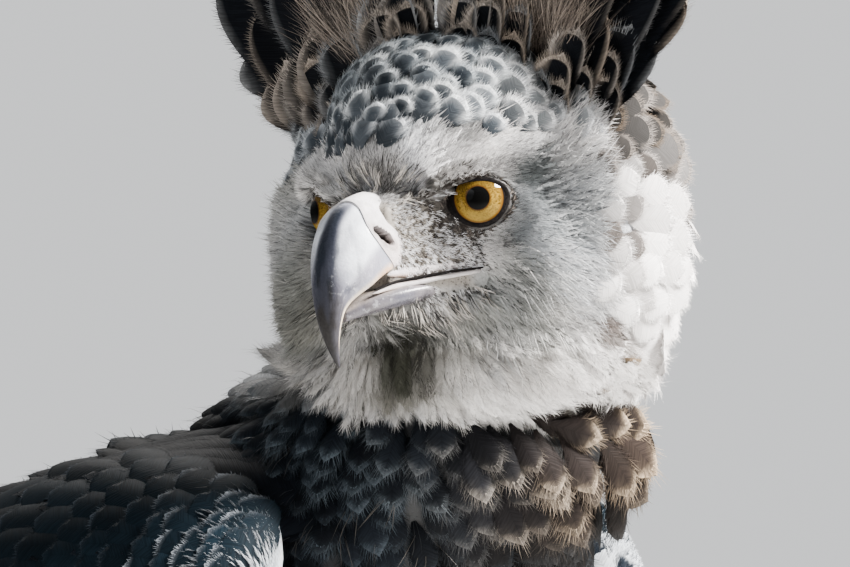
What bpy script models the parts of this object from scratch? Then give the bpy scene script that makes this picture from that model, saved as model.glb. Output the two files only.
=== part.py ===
"""Harpy eagle, adult, standing on both feet: a still, life-size model.

The trunk faces -Y, +X is the bird's left and +Z is up. The head is turned to the bird's right.
Every flesh, feather and horn piece is a closed solid of its own, and neighbours keep a gap of GAP.
"""

import math
from collections import namedtuple

import bmesh
import bpy
import numpy as np
from mathutils import Matrix, Vector
from mathutils.bvhtree import BVHTree

MM = 0.001
GAP = 0.0004  # clear space between two solids that meet
SIDES = {"left": 1, "right": -1}
ACROSS, UP = Vector((1, 0, 0)), Vector((0, 0, 1))

# ---- the head: its own frame has the eyes' mid-point as origin, +X left, -Y forward, +Z up ----
EYE_MIDPOINT = Vector((-0.0475, -0.1017, 0.575))
HEAD_YAW = math.radians(-82.0)  # turned to the bird's right
HEAD_ROLL = math.radians(-3.5)  # left eye a little higher
HEAD = (
    Matrix.Translation(EYE_MIDPOINT)
    @ Matrix.Rotation(HEAD_YAW, 4, "Z")
    @ Matrix.Rotation(HEAD_ROLL, 4, "Y")
)
HEAD_VOXEL = 0.0028
HEAD_SMOOTHING = 5
HEAD_TRIANGLES = 1500

EYE_RADIUS = 0.0125
IRIS_MIDDLE = Vector((0.0340, 0.0, 0.0))  # of the left eye
IRIS_RADIUS = 0.0082
EYE_SPLAY = math.radians(31.0)  # how far each eye looks out from straight ahead
EYE_SEGMENTS, EYE_RINGS = 12, 8

# Lumps of the feathered head, in millimetres: (x, y, z) and radii. Paired ones are mirrored.
HEAD_MIDDLE_LUMPS = {
    "core": ((0, 42, 0), (55, 54, 56)),
    "bib": ((0, 34, -46), (54, 48, 28)),
    "bib_edge": ((0, 40, -58), (67, 58, 22)),
    "nape": ((0, 66, -12), (66, 44, 62)),
    "crown": ((0, 36, 28), (48, 46, 34)),
    "forehead": ((0, 5, 11), (23, 22, 22)),
    "muzzle": ((0, -4, -11), (16, 20, 18)),
}
HEAD_PAIRED_LUMPS = {
    "cheek": ((32, 30, -30), (36, 36, 36)),
    "ruff_rim": ((55, 48, -12), (28, 30, 62)),
    "malar": ((24, 8, -19), (15, 20, 12)),
}
BROW_FRONT, BROW_BACK = Vector((22, -12, 5)) * MM, Vector((47, 16, 12)) * MM
BROW_RADIUS, BROW_BREADTH = 6.0 * MM, 7.5 * MM

# ---- the bill, in the head's frame: (forward, up) control points of cubic curves ----
CULMEN = [(27.5, 1.5), (42.0, -4.0), (50.0, -38.0), (34.8, -57.5)]
TOMIUM = [(16.0, -25.0), (34.0, -27.5), (38.5, -37.0), (34.3, -56.8)]
BILL_HALF_WIDTHS = (13.0 * MM, 0.4 * MM)
BILL_TAPER = 1.6  # the higher, the later the sides close in
CERE_TOP = [(6.0, 9.0), (14.0, 9.0), (22.0, 5.5), (27.1, 2.2)]
CERE_BOTTOM = [(-6.0, -23.0), (2.0, -24.0), (8.0, -24.5), (15.6, -24.6)]
CERE_HALF_WIDTHS = (15.0 * MM, 13.6 * MM)
MANDIBLE_TOP = [(-11.0, -23.5), (8.0, -26.0), (24.0, -29.5), (33.0, -37.3)]
MANDIBLE_BOTTOM = [(-11.0, -33.0), (6.0, -37.5), (22.0, -38.5), (32.0, -39.8)]
MANDIBLE_HALF_WIDTHS = (21.0 * MM, 3.5 * MM)
MANDIBLE_TAPER = 1.3
BILL_STEPS, BILL_SIDES = 10, 12
BILL_SQUARENESS = 2.3  # power of the superellipse of its sections

# ---- the crest: two fans of broad feathers raised from the crown; each row runs inner to outer ----
CREST_FEATHERS = 5
CREST_ROOTS = Vector((7, 34, 44)) * MM, Vector((58, 46, 22)) * MM
CREST_TIPS = Vector((24, 52, 140)) * MM, Vector((122, 58, 98)) * MM
CREST_RISE = 0.016  # how far the middle feathers stand above the line from first tip to last
CREST_NOTCH = 0.10  # share of the length that lies free between two tips
CREST_THICKNESS = 0.0042, 0.0018
CREST_BOW = 0.010  # how far the middle of each feather bows forward
CREST_CUP = 0.012  # how far the fan's middle stands before its two edges, at the tips
CREST_ACROSS, CREST_ALONG = 15, 4

# ---- trunk and neck: one loft, stations from the rump to inside the head ----
Station = namedtuple("Station", "y z half_width above below")
TORSO = [
    Station(0.252, 0.334, 0.026, 0.016, 0.020),
    Station(0.215, 0.354, 0.056, 0.040, 0.048),
    Station(0.160, 0.374, 0.086, 0.080, 0.090),
    Station(0.090, 0.382, 0.105, 0.106, 0.112),
    Station(0.020, 0.390, 0.112, 0.112, 0.118),
    Station(-0.028, 0.412, 0.102, 0.106, 0.110),
    Station(-0.058, 0.450, 0.080, 0.096, 0.058),
    Station(-0.078, 0.482, 0.066, 0.084, 0.048),
    Station(-0.088, 0.504, 0.061, 0.067, 0.052),
    Station(-0.092, 0.526, 0.046, 0.050, 0.044),
]
TORSO_RINGS, TORSO_SIDES = 19, 22
TORSO_SQUARENESS = 2.15
NECK_CUT = Vector((0, -0.066, 0.442)), Vector((0, -0.34, 0.94))  # a point and the cut's normal

# ---- wings, folded: stations from the bend to the tip, of the left wing ----
Fold = namedtuple("Fold", "y top bottom outer thickness lean")
WING = [
    Fold(-0.078, 0.446, 0.404, 0.098, 0.016, 0.000),
    Fold(-0.066, 0.472, 0.368, 0.116, 0.044, 0.006),
    Fold(-0.032, 0.487, 0.328, 0.132, 0.056, 0.014),
    Fold(0.020, 0.489, 0.296, 0.142, 0.056, 0.024),
    Fold(0.096, 0.468, 0.270, 0.142, 0.050, 0.034),
    Fold(0.184, 0.416, 0.248, 0.125, 0.036, 0.034),
    Fold(0.284, 0.348, 0.222, 0.092, 0.018, 0.024),
    Fold(0.374, 0.284, 0.210, 0.066, 0.010, 0.014),
    Fold(0.428, 0.240, 0.216, 0.052, 0.006, 0.004),
]
WING_RINGS, WING_SIDES = 14, 12
WING_CURL = 0.20  # how far the upper and lower edges wrap round the body, of half the height
WING_LEAN_SHIFT = 0.4  # puts most of the lean in the upper half

# ---- tail: a plate of overlapping feathers ----
TAIL_ROOT = Vector((0, 0.222, 0.344))
TAIL_LENGTH = 0.375
TAIL_DROP = math.radians(36.0)
TAIL_HALF_WIDTHS = (0.030, 0.074)
TAIL_THICKNESSES = (0.030, 0.007)
TAIL_ROUNDING = 0.34  # share of the length that the rounded end takes
TAIL_THINNING = 0.55  # share of the length along which it gets thin
TAIL_SQUARENESS = 2.6
TAIL_RINGS, TAIL_SIDES = 11, 12
TAIL_CAMBER = 0.012

# ---- legs ----
HIP = Vector((0.056, 0.006, 0.326))
HEEL = Vector((0.068, 0.082, 0.158))
TOE_JOINT = Vector((0.072, 0.038, 0.028))
TROUSER_LENGTH = 0.88  # where along hip to heel the feathered part ends
TROUSER_RADII = [(0.062, 0.044), (0.066, 0.052), (0.056, 0.045), (0.040, 0.034), (0.024, 0.022)]
TROUSER_RINGS, TROUSER_SIDES = 9, 14
SHANK_START = 0.82  # of hip to heel, inside the trouser
SHANK_RADII = (0.0140, 0.0165, 0.0170, 0.0138, 0.0165)
SHANK_FLATNESS = 0.92
SHANK_RINGS, SHANK_SIDES = 10, 10

Toe = namedtuple("Toe", "name heading length radius claw_length claw_radius")
TOES = [
    Toe("inner", -26.0, 0.060, 0.0130, 0.066, 0.0078),
    Toe("middle", 6.0, 0.084, 0.0130, 0.052, 0.0064),
    Toe("outer", 40.0, 0.062, 0.0115, 0.042, 0.0056),
    Toe("hind", 176.0, 0.050, 0.0140, 0.080, 0.0088),
]
TOE_STEPS, TOE_SIDES = 7, 7
TOE_TAPER = 0.22
TOE_PADS, PAD_SWELL = 3, 0.13  # how many pads a toe has, and how far they swell it
TOE_HEIGHT, TOE_ARCH = 0.72, 0.10  # of the toe's radius; under 1, so that its sole is cut flat
INSTEP = 0.012  # how much higher a toe runs at its root
PALM_RADII = (0.021, 0.022, 0.021)
PALM_DROP = 0.0082
PALM_SEGMENTS, PALM_RINGS = 10, 7
CLAW_LIFT = math.radians(42.0)  # how steeply a claw leaves its toe
CLAW_TURN = math.radians(118.0)
CLAW_SINK = 0.004  # how deep its root sits in the toe
CLAW_TAPER, CLAW_TIP = 0.72, 0.0005
CLAW_FLATNESS = 0.78
CLAW_CLEARANCE = 0.0006  # of its lowest point over the floor
CLAW_STEPS, CLAW_SIDES = 6, 6

# ---- colours: linear red, green, blue; roughness ----
FINISHES = {
    "grey_plumage": ((0.34, 0.33, 0.32), 0.80),
    "black_plumage": ((0.020, 0.022, 0.026), 0.65),
    "slate_plumage": ((0.045, 0.050, 0.058), 0.62),
    "white_plumage": ((0.62, 0.60, 0.56), 0.80),
    "barred_plumage": ((0.16, 0.15, 0.14), 0.70),
    "bill_horn": ((0.075, 0.080, 0.090), 0.32),
    "cere_skin": ((0.22, 0.21, 0.22), 0.50),
    "eye": ((0.42, 0.22, 0.035), 0.06),
    "leg_skin": ((0.62, 0.44, 0.09), 0.55),
    "claw_horn": ((0.012, 0.012, 0.014), 0.25),
}


# ---------------------------------------------------------------- helpers


def finish(name):
    """The material of that name, made once."""
    material = bpy.data.materials.get(name)
    if material is None:
        colour, roughness = FINISHES[name]
        material = bpy.data.materials.new(name)
        material.use_nodes = True
        shader = material.node_tree.nodes["Principled BSDF"]
        shader.inputs["Base Color"].default_value = (*colour, 1.0)
        shader.inputs["Roughness"].default_value = roughness
        shader.inputs["Metallic"].default_value = 0.0
        material.diffuse_color = (*colour, 1.0)
    return material


def object_of(name, bm):
    """A new object from a bmesh, with normals outwards and round shading."""
    bmesh.ops.recalc_face_normals(bm, faces=bm.faces)
    mesh = bpy.data.meshes.new(name)
    bm.to_mesh(mesh)
    bm.free()
    obj = bpy.data.objects.new(name, mesh)
    bpy.context.scene.collection.objects.link(obj)
    return obj


def loft(name, rings):
    """A closed skin through rings of equally many points, with a flat cap at each end."""
    bm = bmesh.new()
    rows = [[bm.verts.new(p) for p in ring] for ring in rings]
    count = len(rows[0])
    for here, there in zip(rows, rows[1:]):
        for i in range(count):
            j = (i + 1) % count
            bm.faces.new((here[i], here[j], there[j], there[i]))
    bm.faces.new(reversed(rows[0]))
    bm.faces.new(rows[-1])
    bmesh.ops.triangulate(bm, faces=bm.faces)  # so that a cutter has the same diagonals
    return object_of(name, bm)


def plate(name, front, back):
    """A closed thin solid between two equal grids of points, with a strip of quads round its rim."""
    bm = bmesh.new()
    grids = [[[bm.verts.new(p) for p in row] for row in grid] for grid in (front, back)]
    last, end = len(front) - 1, len(front[0]) - 1
    for grid in grids:
        for i in range(last):
            for j in range(end):
                bm.faces.new((grid[i][j], grid[i + 1][j], grid[i + 1][j + 1], grid[i][j + 1]))
    rim = [(i, 0) for i in range(last)] + [(last, j) for j in range(end)]
    rim += [(i, end) for i in range(last, 0, -1)] + [(0, j) for j in range(end, 0, -1)]
    for (i, j), (k, m) in zip(rim, rim[1:] + rim[:1]):
        bm.faces.new((grids[0][i][j], grids[0][k][m], grids[1][k][m], grids[1][i][j]))
    bmesh.ops.triangulate(bm, faces=bm.faces)
    return object_of(name, bm)


def oval(middle, side, up, half_width, above, below, count, power=2.0):
    """A ring of points: a superellipse with its own height above and below the middle."""
    points = []
    for i in range(count):
        turn = 2 * math.pi * i / count
        across = math.copysign(abs(math.cos(turn)) ** (2 / power), math.cos(turn))
        rise = math.copysign(abs(math.sin(turn)) ** (2 / power), math.sin(turn))
        points.append(middle + side * across * half_width + up * rise * (above if rise > 0 else below))
    return points


def through(stations, count):
    """Smooth rows of values through the stations (Catmull-Rom), evenly spaced in station number."""
    table = np.array(stations, float)
    padded = np.vstack([2 * table[0] - table[1], table, 2 * table[-1] - table[-2]])
    rows = []
    for place in np.linspace(0, len(table) - 1, count):
        i = min(int(place), len(table) - 2)
        t = place - i
        a, b, c, d = padded[i : i + 4]
        rows.append(
            0.5 * (2 * b + (c - a) * t + (2 * a - 5 * b + 4 * c - d) * t**2 + (3 * b - a - 3 * c + d) * t**3)
        )
    return rows


def cubic(points, t):
    """A point on a cubic curve given by four (forward, up) millimetre points, in the head's frame."""
    u = 1 - t
    weights = (u**3, 3 * u * u * t, 3 * u * t * t, t**3)
    forward = sum(w * p[0] for w, p in zip(weights, points))
    up = sum(w * p[1] for w, p in zip(weights, points))
    return Vector((0, -forward * MM, up * MM))


def applied(obj):
    """Puts the evaluated mesh, with its modifiers and placing, into the object itself."""
    bpy.context.view_layer.update()
    evaluated = obj.evaluated_get(bpy.context.evaluated_depsgraph_get())
    mesh = bpy.data.meshes.new_from_object(evaluated)
    mesh.transform(obj.matrix_world)
    obj.modifiers.clear()
    obj.parent = None
    obj.matrix_world = Matrix.Identity(4)
    obj.data = mesh
    return obj


def triangles_of(obj):
    """How many triangles the object's mesh has."""
    obj.data.calc_loop_triangles()
    return len(obj.data.loop_triangles)


def grown(obj, by):
    """A hidden copy of a piece, its surface moved out, to cut its neighbour with."""
    bm = bmesh.new()
    bm.from_mesh(obj.data)
    bm.normal_update()
    moves = [(v, v.normal.copy()) for v in bm.verts]
    for vertex, normal in moves:
        vertex.co += normal * by * vertex.calc_shell_factor()
    copy = object_of(obj.name + "_cutter", bm)
    copy.hide_render = True
    copy.display_type = "WIRE"
    return copy


def boolean(obj, other, operation):
    """Applies one exact Boolean."""
    modifier = obj.modifiers.new(operation.lower(), "BOOLEAN")
    modifier.operation = operation
    modifier.solver = "EXACT"
    modifier.object = other
    for modifier.use_self in (False, True):  # the slower way only where the plain one finds nothing
        bpy.context.view_layer.update()
        if obj.evaluated_get(bpy.context.evaluated_depsgraph_get()).data.polygons:
            break
    return applied(obj)


def skins_cross(one, other):
    """Whether the surfaces of two pieces cut through each other."""
    trees = []
    for obj in (one, other):
        bm = bmesh.new()
        bm.from_mesh(obj.data)
        trees.append(BVHTree.FromBMesh(bm))
        bm.free()
    return bool(trees[0].overlap(trees[1]))


def carve(obj, *neighbours, gap=GAP):
    """Cuts the neighbours' room out of a piece, with a gap, and keeps the largest body left."""
    for neighbour in neighbours:
        cutter = grown(neighbour, gap)
        if skins_cross(obj, cutter):
            boolean(obj, cutter, "DIFFERENCE")
        bpy.data.objects.remove(cutter)
    return largest_body(obj)


def largest_body(obj):
    """Deletes every loose body of a mesh but the one with the most volume."""
    bm = bmesh.new()
    bm.from_mesh(obj.data)
    bmesh.ops.remove_doubles(bm, verts=bm.verts, dist=0.00001)
    left, bodies = set(bm.verts), []
    while left:
        body, todo = set(), [left.pop()]
        while todo:
            vertex = todo.pop()
            body.add(vertex)
            for edge in vertex.link_edges:
                other = edge.other_vert(vertex)
                if other in left:
                    left.remove(other)
                    todo.append(other)
        bodies.append(body)

    def volume(body):
        faces = {f for v in body for f in v.link_faces}
        total = 0.0
        for face in faces:
            first, *rest = [v.co for v in face.verts]
            total += sum(first.dot(b.cross(c)) for b, c in zip(rest, rest[1:])) / 6
        return total

    keep = max(bodies, key=volume)
    bmesh.ops.delete(bm, geom=[v for v in bm.verts if v not in keep], context="VERTS")
    bm.to_mesh(obj.data)
    bm.free()
    return obj


def half(obj, point, normal):
    """Keeps what lies on the normal's side of a plane, with a flat face there."""
    bm = bmesh.new()
    bm.from_mesh(obj.data)
    cut = bmesh.ops.bisect_plane(
        bm, geom=[*bm.verts, *bm.edges, *bm.faces], plane_co=point, plane_no=normal, clear_inner=True
    )
    edges = [e for e in cut["geom_cut"] if isinstance(e, bmesh.types.BMEdge)]
    bmesh.ops.contextual_create(bm, geom=edges)
    bmesh.ops.recalc_face_normals(bm, faces=bm.faces)
    bm.to_mesh(obj.data)
    bm.free()
    return obj


def sphere(name, middle, radii, turn=None, segments=24, rings=16):
    """An ellipsoid, turned about its own middle."""
    bpy.ops.mesh.primitive_uv_sphere_add(segments=segments, ring_count=rings, radius=1.0)
    obj = bpy.context.object
    obj.name = name
    size = Matrix.Diagonal((*radii, 1.0))
    obj.matrix_world = Matrix.Translation(middle) @ (turn or Matrix.Identity(4)) @ size
    return applied(obj)


def grown_together(name, pieces, voxel, rounds, triangles):
    """One smooth closed body from overlapping pieces: remeshed, smoothed and thinned."""
    bpy.ops.object.select_all(action="DESELECT")
    for piece in pieces:
        piece.select_set(True)
    bpy.context.view_layer.objects.active = pieces[0]
    bpy.ops.object.join()
    obj = bpy.context.object
    obj.name = name
    remesh = obj.modifiers.new("remesh", "REMESH")
    remesh.mode = "VOXEL"
    remesh.voxel_size = voxel
    smooth = obj.modifiers.new("smooth", "SMOOTH")
    smooth.factor, smooth.iterations = 0.5, rounds
    applied(obj)
    thin = obj.modifiers.new("thin", "DECIMATE")
    thin.ratio = min(1.0, triangles / triangles_of(obj))
    return largest_body(applied(obj))


def placed_in_head(obj):
    """Moves a piece built in the head's frame to its place."""
    obj.data.transform(HEAD)
    return obj


# ---------------------------------------------------------------- head


def build_head():
    """The feathered head with its ruff, brows and cheeks, in the head's frame."""
    lumps = [
        sphere(n, Vector(middle) * MM, [r * MM for r in radii])
        for n, (middle, radii) in HEAD_MIDDLE_LUMPS.items()
    ]
    for side in SIDES.values():
        for n, (middle, radii) in HEAD_PAIRED_LUMPS.items():
            x, y, z = middle
            lumps.append(sphere(n, Vector((side * x, y, z)) * MM, [r * MM for r in radii]))
        front, back = (Vector((side * p.x, p.y, p.z)) for p in (BROW_FRONT, BROW_BACK))
        along = back - front
        turn = along.to_track_quat("Y", "Z").to_matrix().to_4x4()
        radii = (BROW_BREADTH, along.length / 2 + BROW_RADIUS, BROW_RADIUS)
        lumps.append(sphere("brow", (front + back) / 2, radii, turn))
    return grown_together("head", lumps, HEAD_VOXEL, HEAD_SMOOTHING, HEAD_TRIANGLES)


def build_eye(name, side):
    """One eyeball, in the head's frame."""
    outwards = Vector((side * math.sin(EYE_SPLAY), -math.cos(EYE_SPLAY), 0))
    depth = math.sqrt(EYE_RADIUS**2 - IRIS_RADIUS**2)
    middle = Vector((side * IRIS_MIDDLE.x, IRIS_MIDDLE.y, IRIS_MIDDLE.z)) - outwards * depth
    return sphere(name, middle, [EYE_RADIUS] * 3, segments=EYE_SEGMENTS, rings=EYE_RINGS)


def build_horn(name, top, bottom, half_widths, taper):
    """A bill piece between two profile curves: each ring spans from the one to the other."""
    wide, narrow = half_widths
    rings = []
    for i in range(BILL_STEPS + 1):
        t = i / BILL_STEPS
        high, low = cubic(top, t), cubic(bottom, t)
        middle, up = (high + low) / 2, (high - low).normalized()
        reach = (high - low).length / 2
        half_width = narrow + (wide - narrow) * (1 - t**taper)
        rings.append(oval(middle, ACROSS, up, half_width, reach, reach, BILL_SIDES, BILL_SQUARENESS))
    return loft(name, rings)


def build_bill():
    """The upper bill, the cere behind it and the lower bill, in the head's frame."""
    upper = build_horn("bill_upper", CULMEN, TOMIUM, BILL_HALF_WIDTHS, BILL_TAPER)
    cere = build_horn("cere", CERE_TOP, CERE_BOTTOM, CERE_HALF_WIDTHS, 1.0)
    lower = build_horn("bill_lower", MANDIBLE_TOP, MANDIBLE_BOTTOM, MANDIBLE_HALF_WIDTHS, MANDIBLE_TAPER)
    return upper, cere, lower


def build_crest(name, side):
    """A fan of overlapping crest feathers as one plate with a lobed edge, in the head's frame."""
    roots, tips = CREST_ROOTS, CREST_TIPS
    thick, thin = CREST_THICKNESS
    facing = (tips[0] - roots[0]).cross(tips[1] - roots[1]).normalized()
    facing = -facing if facing.y > 0 else facing
    front, back = [], []
    for i in range(CREST_ACROSS + 1):
        share = i / CREST_ACROSS
        root = roots[0].lerp(roots[1], share)
        tip = tips[0].lerp(tips[1], share)
        tip.z += CREST_RISE * math.sin(math.pi * share)
        lobe = abs(math.sin(math.pi * share * CREST_FEATHERS))
        reach = 1 - CREST_NOTCH * (1 - math.sqrt(lobe))
        rows = [], []
        for j in range(CREST_ALONG + 1):
            t = reach * j / CREST_ALONG
            bow = CREST_BOW * math.sin(math.pi * t) + CREST_CUP * (math.sin(math.pi * share) - 0.5) * t
            middle = root.lerp(tip, t) + facing * bow
            for row, turn in zip(rows, (1, -1)):
                point = middle + facing * turn * (thick + (thin - thick) * t) / 2
                row.append(Vector((side * point.x, point.y, point.z)))
        front.append(rows[0])
        back.append(rows[1])
    return plate(name, front, back)


# ---------------------------------------------------------------- body


def build_torso():
    """Trunk and neck as one loft from the rump to inside the head."""
    rows = through(TORSO, TORSO_RINGS)
    rings = []
    for i, (y, z, half_width, above, below) in enumerate(rows):
        before, after = rows[max(0, i - 1)], rows[min(len(rows) - 1, i + 1)]
        along = Vector((0, after[0] - before[0], after[1] - before[1])).normalized()
        up = along.cross(ACROSS)
        middle = Vector((0, y, z))
        rings.append(oval(middle, ACROSS, up, half_width, above, below, TORSO_SIDES, TORSO_SQUARENESS))
    return loft("torso", rings)


def build_wing(name, side):
    """A folded wing: upright sections from the bend back to the tip, wrapped round the body."""
    rings = []
    for y, top, bottom, outer, thickness, lean in through(WING, WING_RINGS):
        middle, high = (top + bottom) / 2, (top - bottom) / 2
        ring = []
        for i in range(WING_SIDES):
            turn = 2 * math.pi * i / WING_SIDES
            rise = math.sin(turn)
            depth = thickness * (1 - math.cos(turn)) / 2
            curl = WING_CURL * high * rise**4
            tilt = lean * (rise + WING_LEAN_SHIFT) / (1 + WING_LEAN_SHIFT)
            ring.append(Vector((side * (outer - depth - curl - tilt), y, middle + high * rise)))
        rings.append(ring)
    return loft(name, rings)


def build_tail():
    """The tail: a cambered plate with a rounded end."""
    along = Vector((0, math.cos(TAIL_DROP), -math.sin(TAIL_DROP)))
    up = Vector((0, math.sin(TAIL_DROP), math.cos(TAIL_DROP)))
    (slim, broad), (thick, thin) = TAIL_HALF_WIDTHS, TAIL_THICKNESSES
    rings = []
    for i in range(TAIL_RINGS + 1):
        t = i / TAIL_RINGS
        past = max(0.0, 1 - (1 - t) / TAIL_ROUNDING)
        width = (slim + (broad - slim) * t) * math.sqrt(max(0.02, 1 - past**2.4))
        deep = (thick + (thin - thick) * min(1.0, t / TAIL_THINNING)) / 2
        middle = TAIL_ROOT + along * TAIL_LENGTH * t
        ring = oval(middle, ACROSS, up, width, deep, deep, TAIL_SIDES, TAIL_SQUARENESS)
        rings.append([p - up * TAIL_CAMBER * (p.x / broad) ** 2 for p in ring])
    return loft("tail", rings)


# ---------------------------------------------------------------- legs


def mirrored(point, side):
    """The point itself for the left side, its mirror image for the right."""
    return Vector((side * point.x, point.y, point.z))


def build_thigh(name, side):
    """The feathered trouser from the flank to just above the heel."""
    hip, heel = mirrored(HIP, side), mirrored(HEEL, side)
    along = (heel - hip) * TROUSER_LENGTH
    fore = along.cross(ACROSS).normalized()
    rings = []
    for i, (deep, wide) in enumerate(through(TROUSER_RADII, TROUSER_RINGS)):
        middle = hip + along * i / (TROUSER_RINGS - 1)
        rings.append(oval(middle, ACROSS, fore, wide, deep, deep, TROUSER_SIDES))
    return loft(name, rings)


def build_tarsus(name, side):
    """The bare shank from inside the trouser, round the heel, to the toe joint."""
    hip, heel, toe_joint = (mirrored(p, side) for p in (HIP, HEEL, TOE_JOINT))
    joints = [hip.lerp(heel, SHANK_START), hip.lerp(heel, 0.97)]
    joints += [heel.lerp(toe_joint, share) for share in (0.1, 0.5, 1.0)]
    rows = through([(*p, r) for p, r in zip(joints, SHANK_RADII)], SHANK_RINGS)
    rings = []
    for i, (x, y, z, radius) in enumerate(rows):
        before, after = rows[max(0, i - 1)], rows[min(len(rows) - 1, i + 1)]
        fore = (Vector(after[:3]) - Vector(before[:3])).cross(ACROSS).normalized()
        wide = radius * SHANK_FLATNESS
        rings.append(oval(Vector((x, y, z)), ACROSS, fore, wide, radius, radius, SHANK_SIDES))
    return loft(name, rings)


def toe_frame(toe, side):
    """A toe's root on the floor, the way it points and the way across it."""
    turn = math.radians(toe.heading)
    heading = Vector((side * math.sin(turn), -math.cos(turn), 0))
    return Vector((side * TOE_JOINT.x, TOE_JOINT.y, 0)), heading, UP.cross(heading)


def build_toe(toe, side):
    """One toe with its pads, from the toe joint out to the claw's root."""
    start, heading, across = toe_frame(toe, side)
    rings = []
    for i in range(TOE_STEPS + 1):
        t = i / TOE_STEPS
        pad = 1 + PAD_SWELL * math.cos(2 * math.pi * TOE_PADS * t)
        radius = toe.radius * (1 - TOE_TAPER * t) * pad
        height = INSTEP * (1 - t) ** 2 + toe.radius * (TOE_HEIGHT + TOE_ARCH * math.sin(math.pi * t))
        middle = start + heading * toe.length * t + UP * height
        rings.append(oval(middle, across, UP, radius, radius, radius, TOE_SIDES))
    return loft("toe", rings)


def build_claw(name, toe, side):
    """A claw: a tapered arc that rises from the toe's end and comes down to near the floor."""
    start, heading, across = toe_frame(toe, side)
    start += heading * (toe.length - CLAW_SINK) + UP * toe.radius
    bend = toe.claw_length / CLAW_TURN
    rings = []
    for i in range(CLAW_STEPS + 1):
        t = i / CLAW_STEPS
        turn = CLAW_LIFT - CLAW_TURN * t
        ahead = bend * (math.sin(CLAW_LIFT) - math.sin(turn))
        rise = bend * (math.cos(turn) - math.cos(CLAW_LIFT))
        outwards = UP * math.cos(turn) - heading * math.sin(turn)
        radius = toe.claw_radius * (1 - t) ** CLAW_TAPER + CLAW_TIP
        middle = start + heading * ahead + UP * rise
        rings.append(oval(middle, across, outwards, radius * CLAW_FLATNESS, radius, radius, CLAW_SIDES))
    claw = loft(name, rings)
    lowest = min(v.co.z for v in claw.data.vertices)
    claw.data.transform(Matrix.Translation(UP * max(0.0, CLAW_CLEARANCE - lowest)))
    return claw


def build_foot(side_name, side, tarsus):
    """The toes of one foot as one solid with flat soles, and its claws."""
    toes = [build_toe(toe, side) for toe in TOES]
    claws = [build_claw(f"claw_{toe.name}_{side_name}", toe, side) for toe in TOES]
    middle = mirrored(TOE_JOINT, side) - UP * PALM_DROP
    foot = sphere(f"foot_{side_name}", middle, PALM_RADII, None, PALM_SEGMENTS, PALM_RINGS)
    for toe in toes:
        boolean(foot, toe, "UNION")
        bpy.data.objects.remove(toe)
    half(foot, Vector((0, 0, 0)), UP)
    carve(foot, tarsus, *claws)
    return foot, claws


# ---------------------------------------------------------------- the whole bird


def dress(obj, material, sharp=40.0):
    """Gives a piece its material, and round shading up to that many degrees between faces."""
    obj.data.materials.clear()
    obj.data.materials.append(finish(material))
    obj.data.shade_smooth()
    obj.data.set_sharp_from_angle(angle=math.radians(sharp))
    return obj


def centre_on_floor(pieces):
    """Moves all pieces so that the whole box is centred over the origin, soles at z = 0."""
    corners = np.array([v.co for piece in pieces for v in piece.data.vertices])
    low, high = corners.min(0), corners.max(0)
    shift = Matrix.Translation((-(low[0] + high[0]) / 2, -(low[1] + high[1]) / 2, -low[2]))
    for piece in pieces:
        piece.data.transform(shift)


def main():
    for obj in list(bpy.data.objects):
        bpy.data.objects.remove(obj)

    head = build_head()
    eyes = [build_eye(f"eye_{n}", s) for n, s in SIDES.items()]
    upper, cere, lower = build_bill()
    crests = [build_crest(f"crest_{n}", s) for n, s in SIDES.items()]
    for piece in (head, *eyes, upper, cere, lower, *crests):
        placed_in_head(piece)

    torso = build_torso()
    carve(cere, upper)
    carve(lower, upper, cere)
    carve(crests[0], head)
    carve(crests[1], head, crests[0])

    thighs = {n: build_thigh(f"thigh_{n}", s) for n, s in SIDES.items()}
    tarsi = {n: build_tarsus(f"tarsus_{n}", s) for n, s in SIDES.items()}
    wings = {n: build_wing(f"wing_{n}", s) for n, s in SIDES.items()}
    tail = carve(build_tail(), torso)
    claws, feet = [], []
    for n, s in SIDES.items():
        carve(thighs[n], torso, tarsi[n])
        carve(wings[n], torso, thighs[n], tail, head)
        foot, foot_claws = build_foot(n, s, tarsi[n])
        feet.append(foot)
        claws += foot_claws
    carve(head, upper, cere, lower, *eyes, torso)

    neck = torso.copy()
    neck.data = torso.data.copy()
    bpy.context.scene.collection.objects.link(neck)
    neck.name, trunk = "neck", torso
    trunk.name = "trunk"
    point, normal = NECK_CUT
    normal = normal.normalized()
    half(neck, point + normal * GAP / 2, normal)
    half(trunk, point - normal * GAP / 2, -normal)

    dress(head, "grey_plumage")
    dress(neck, "black_plumage")
    dress(trunk, "white_plumage")
    for piece in (*wings.values(), tail):
        dress(piece, "slate_plumage")
    for piece in crests:
        dress(piece, "black_plumage")
    for piece in thighs.values():
        dress(piece, "barred_plumage")
    for piece in (*tarsi.values(), *feet):
        dress(piece, "leg_skin")
    for piece in claws:
        dress(piece, "claw_horn")
    for piece in (upper, lower):
        dress(piece, "bill_horn")
    dress(cere, "cere_skin")
    for piece in eyes:
        dress(piece, "eye")
    centre_on_floor([o for o in bpy.context.scene.objects if o.type == "MESH"])


main()
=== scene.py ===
"""Harpy eagle, adult, standing on both feet: the looks of a still, life-size model.

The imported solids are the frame. One skin stands for the flesh, and all plumage is mesh grown over it.
The trunk faces -Y, +X is the bird's left and +Z is up. The head is turned to the bird's right.
"""

from __future__ import annotations

import logging
import math
import sys
from collections.abc import Iterator
from contextlib import contextmanager
from dataclasses import dataclass, field
from enum import Enum

import bpy
import numpy as np
from mathutils import Matrix, Vector
from mathutils.bvhtree import BVHTree

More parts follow.
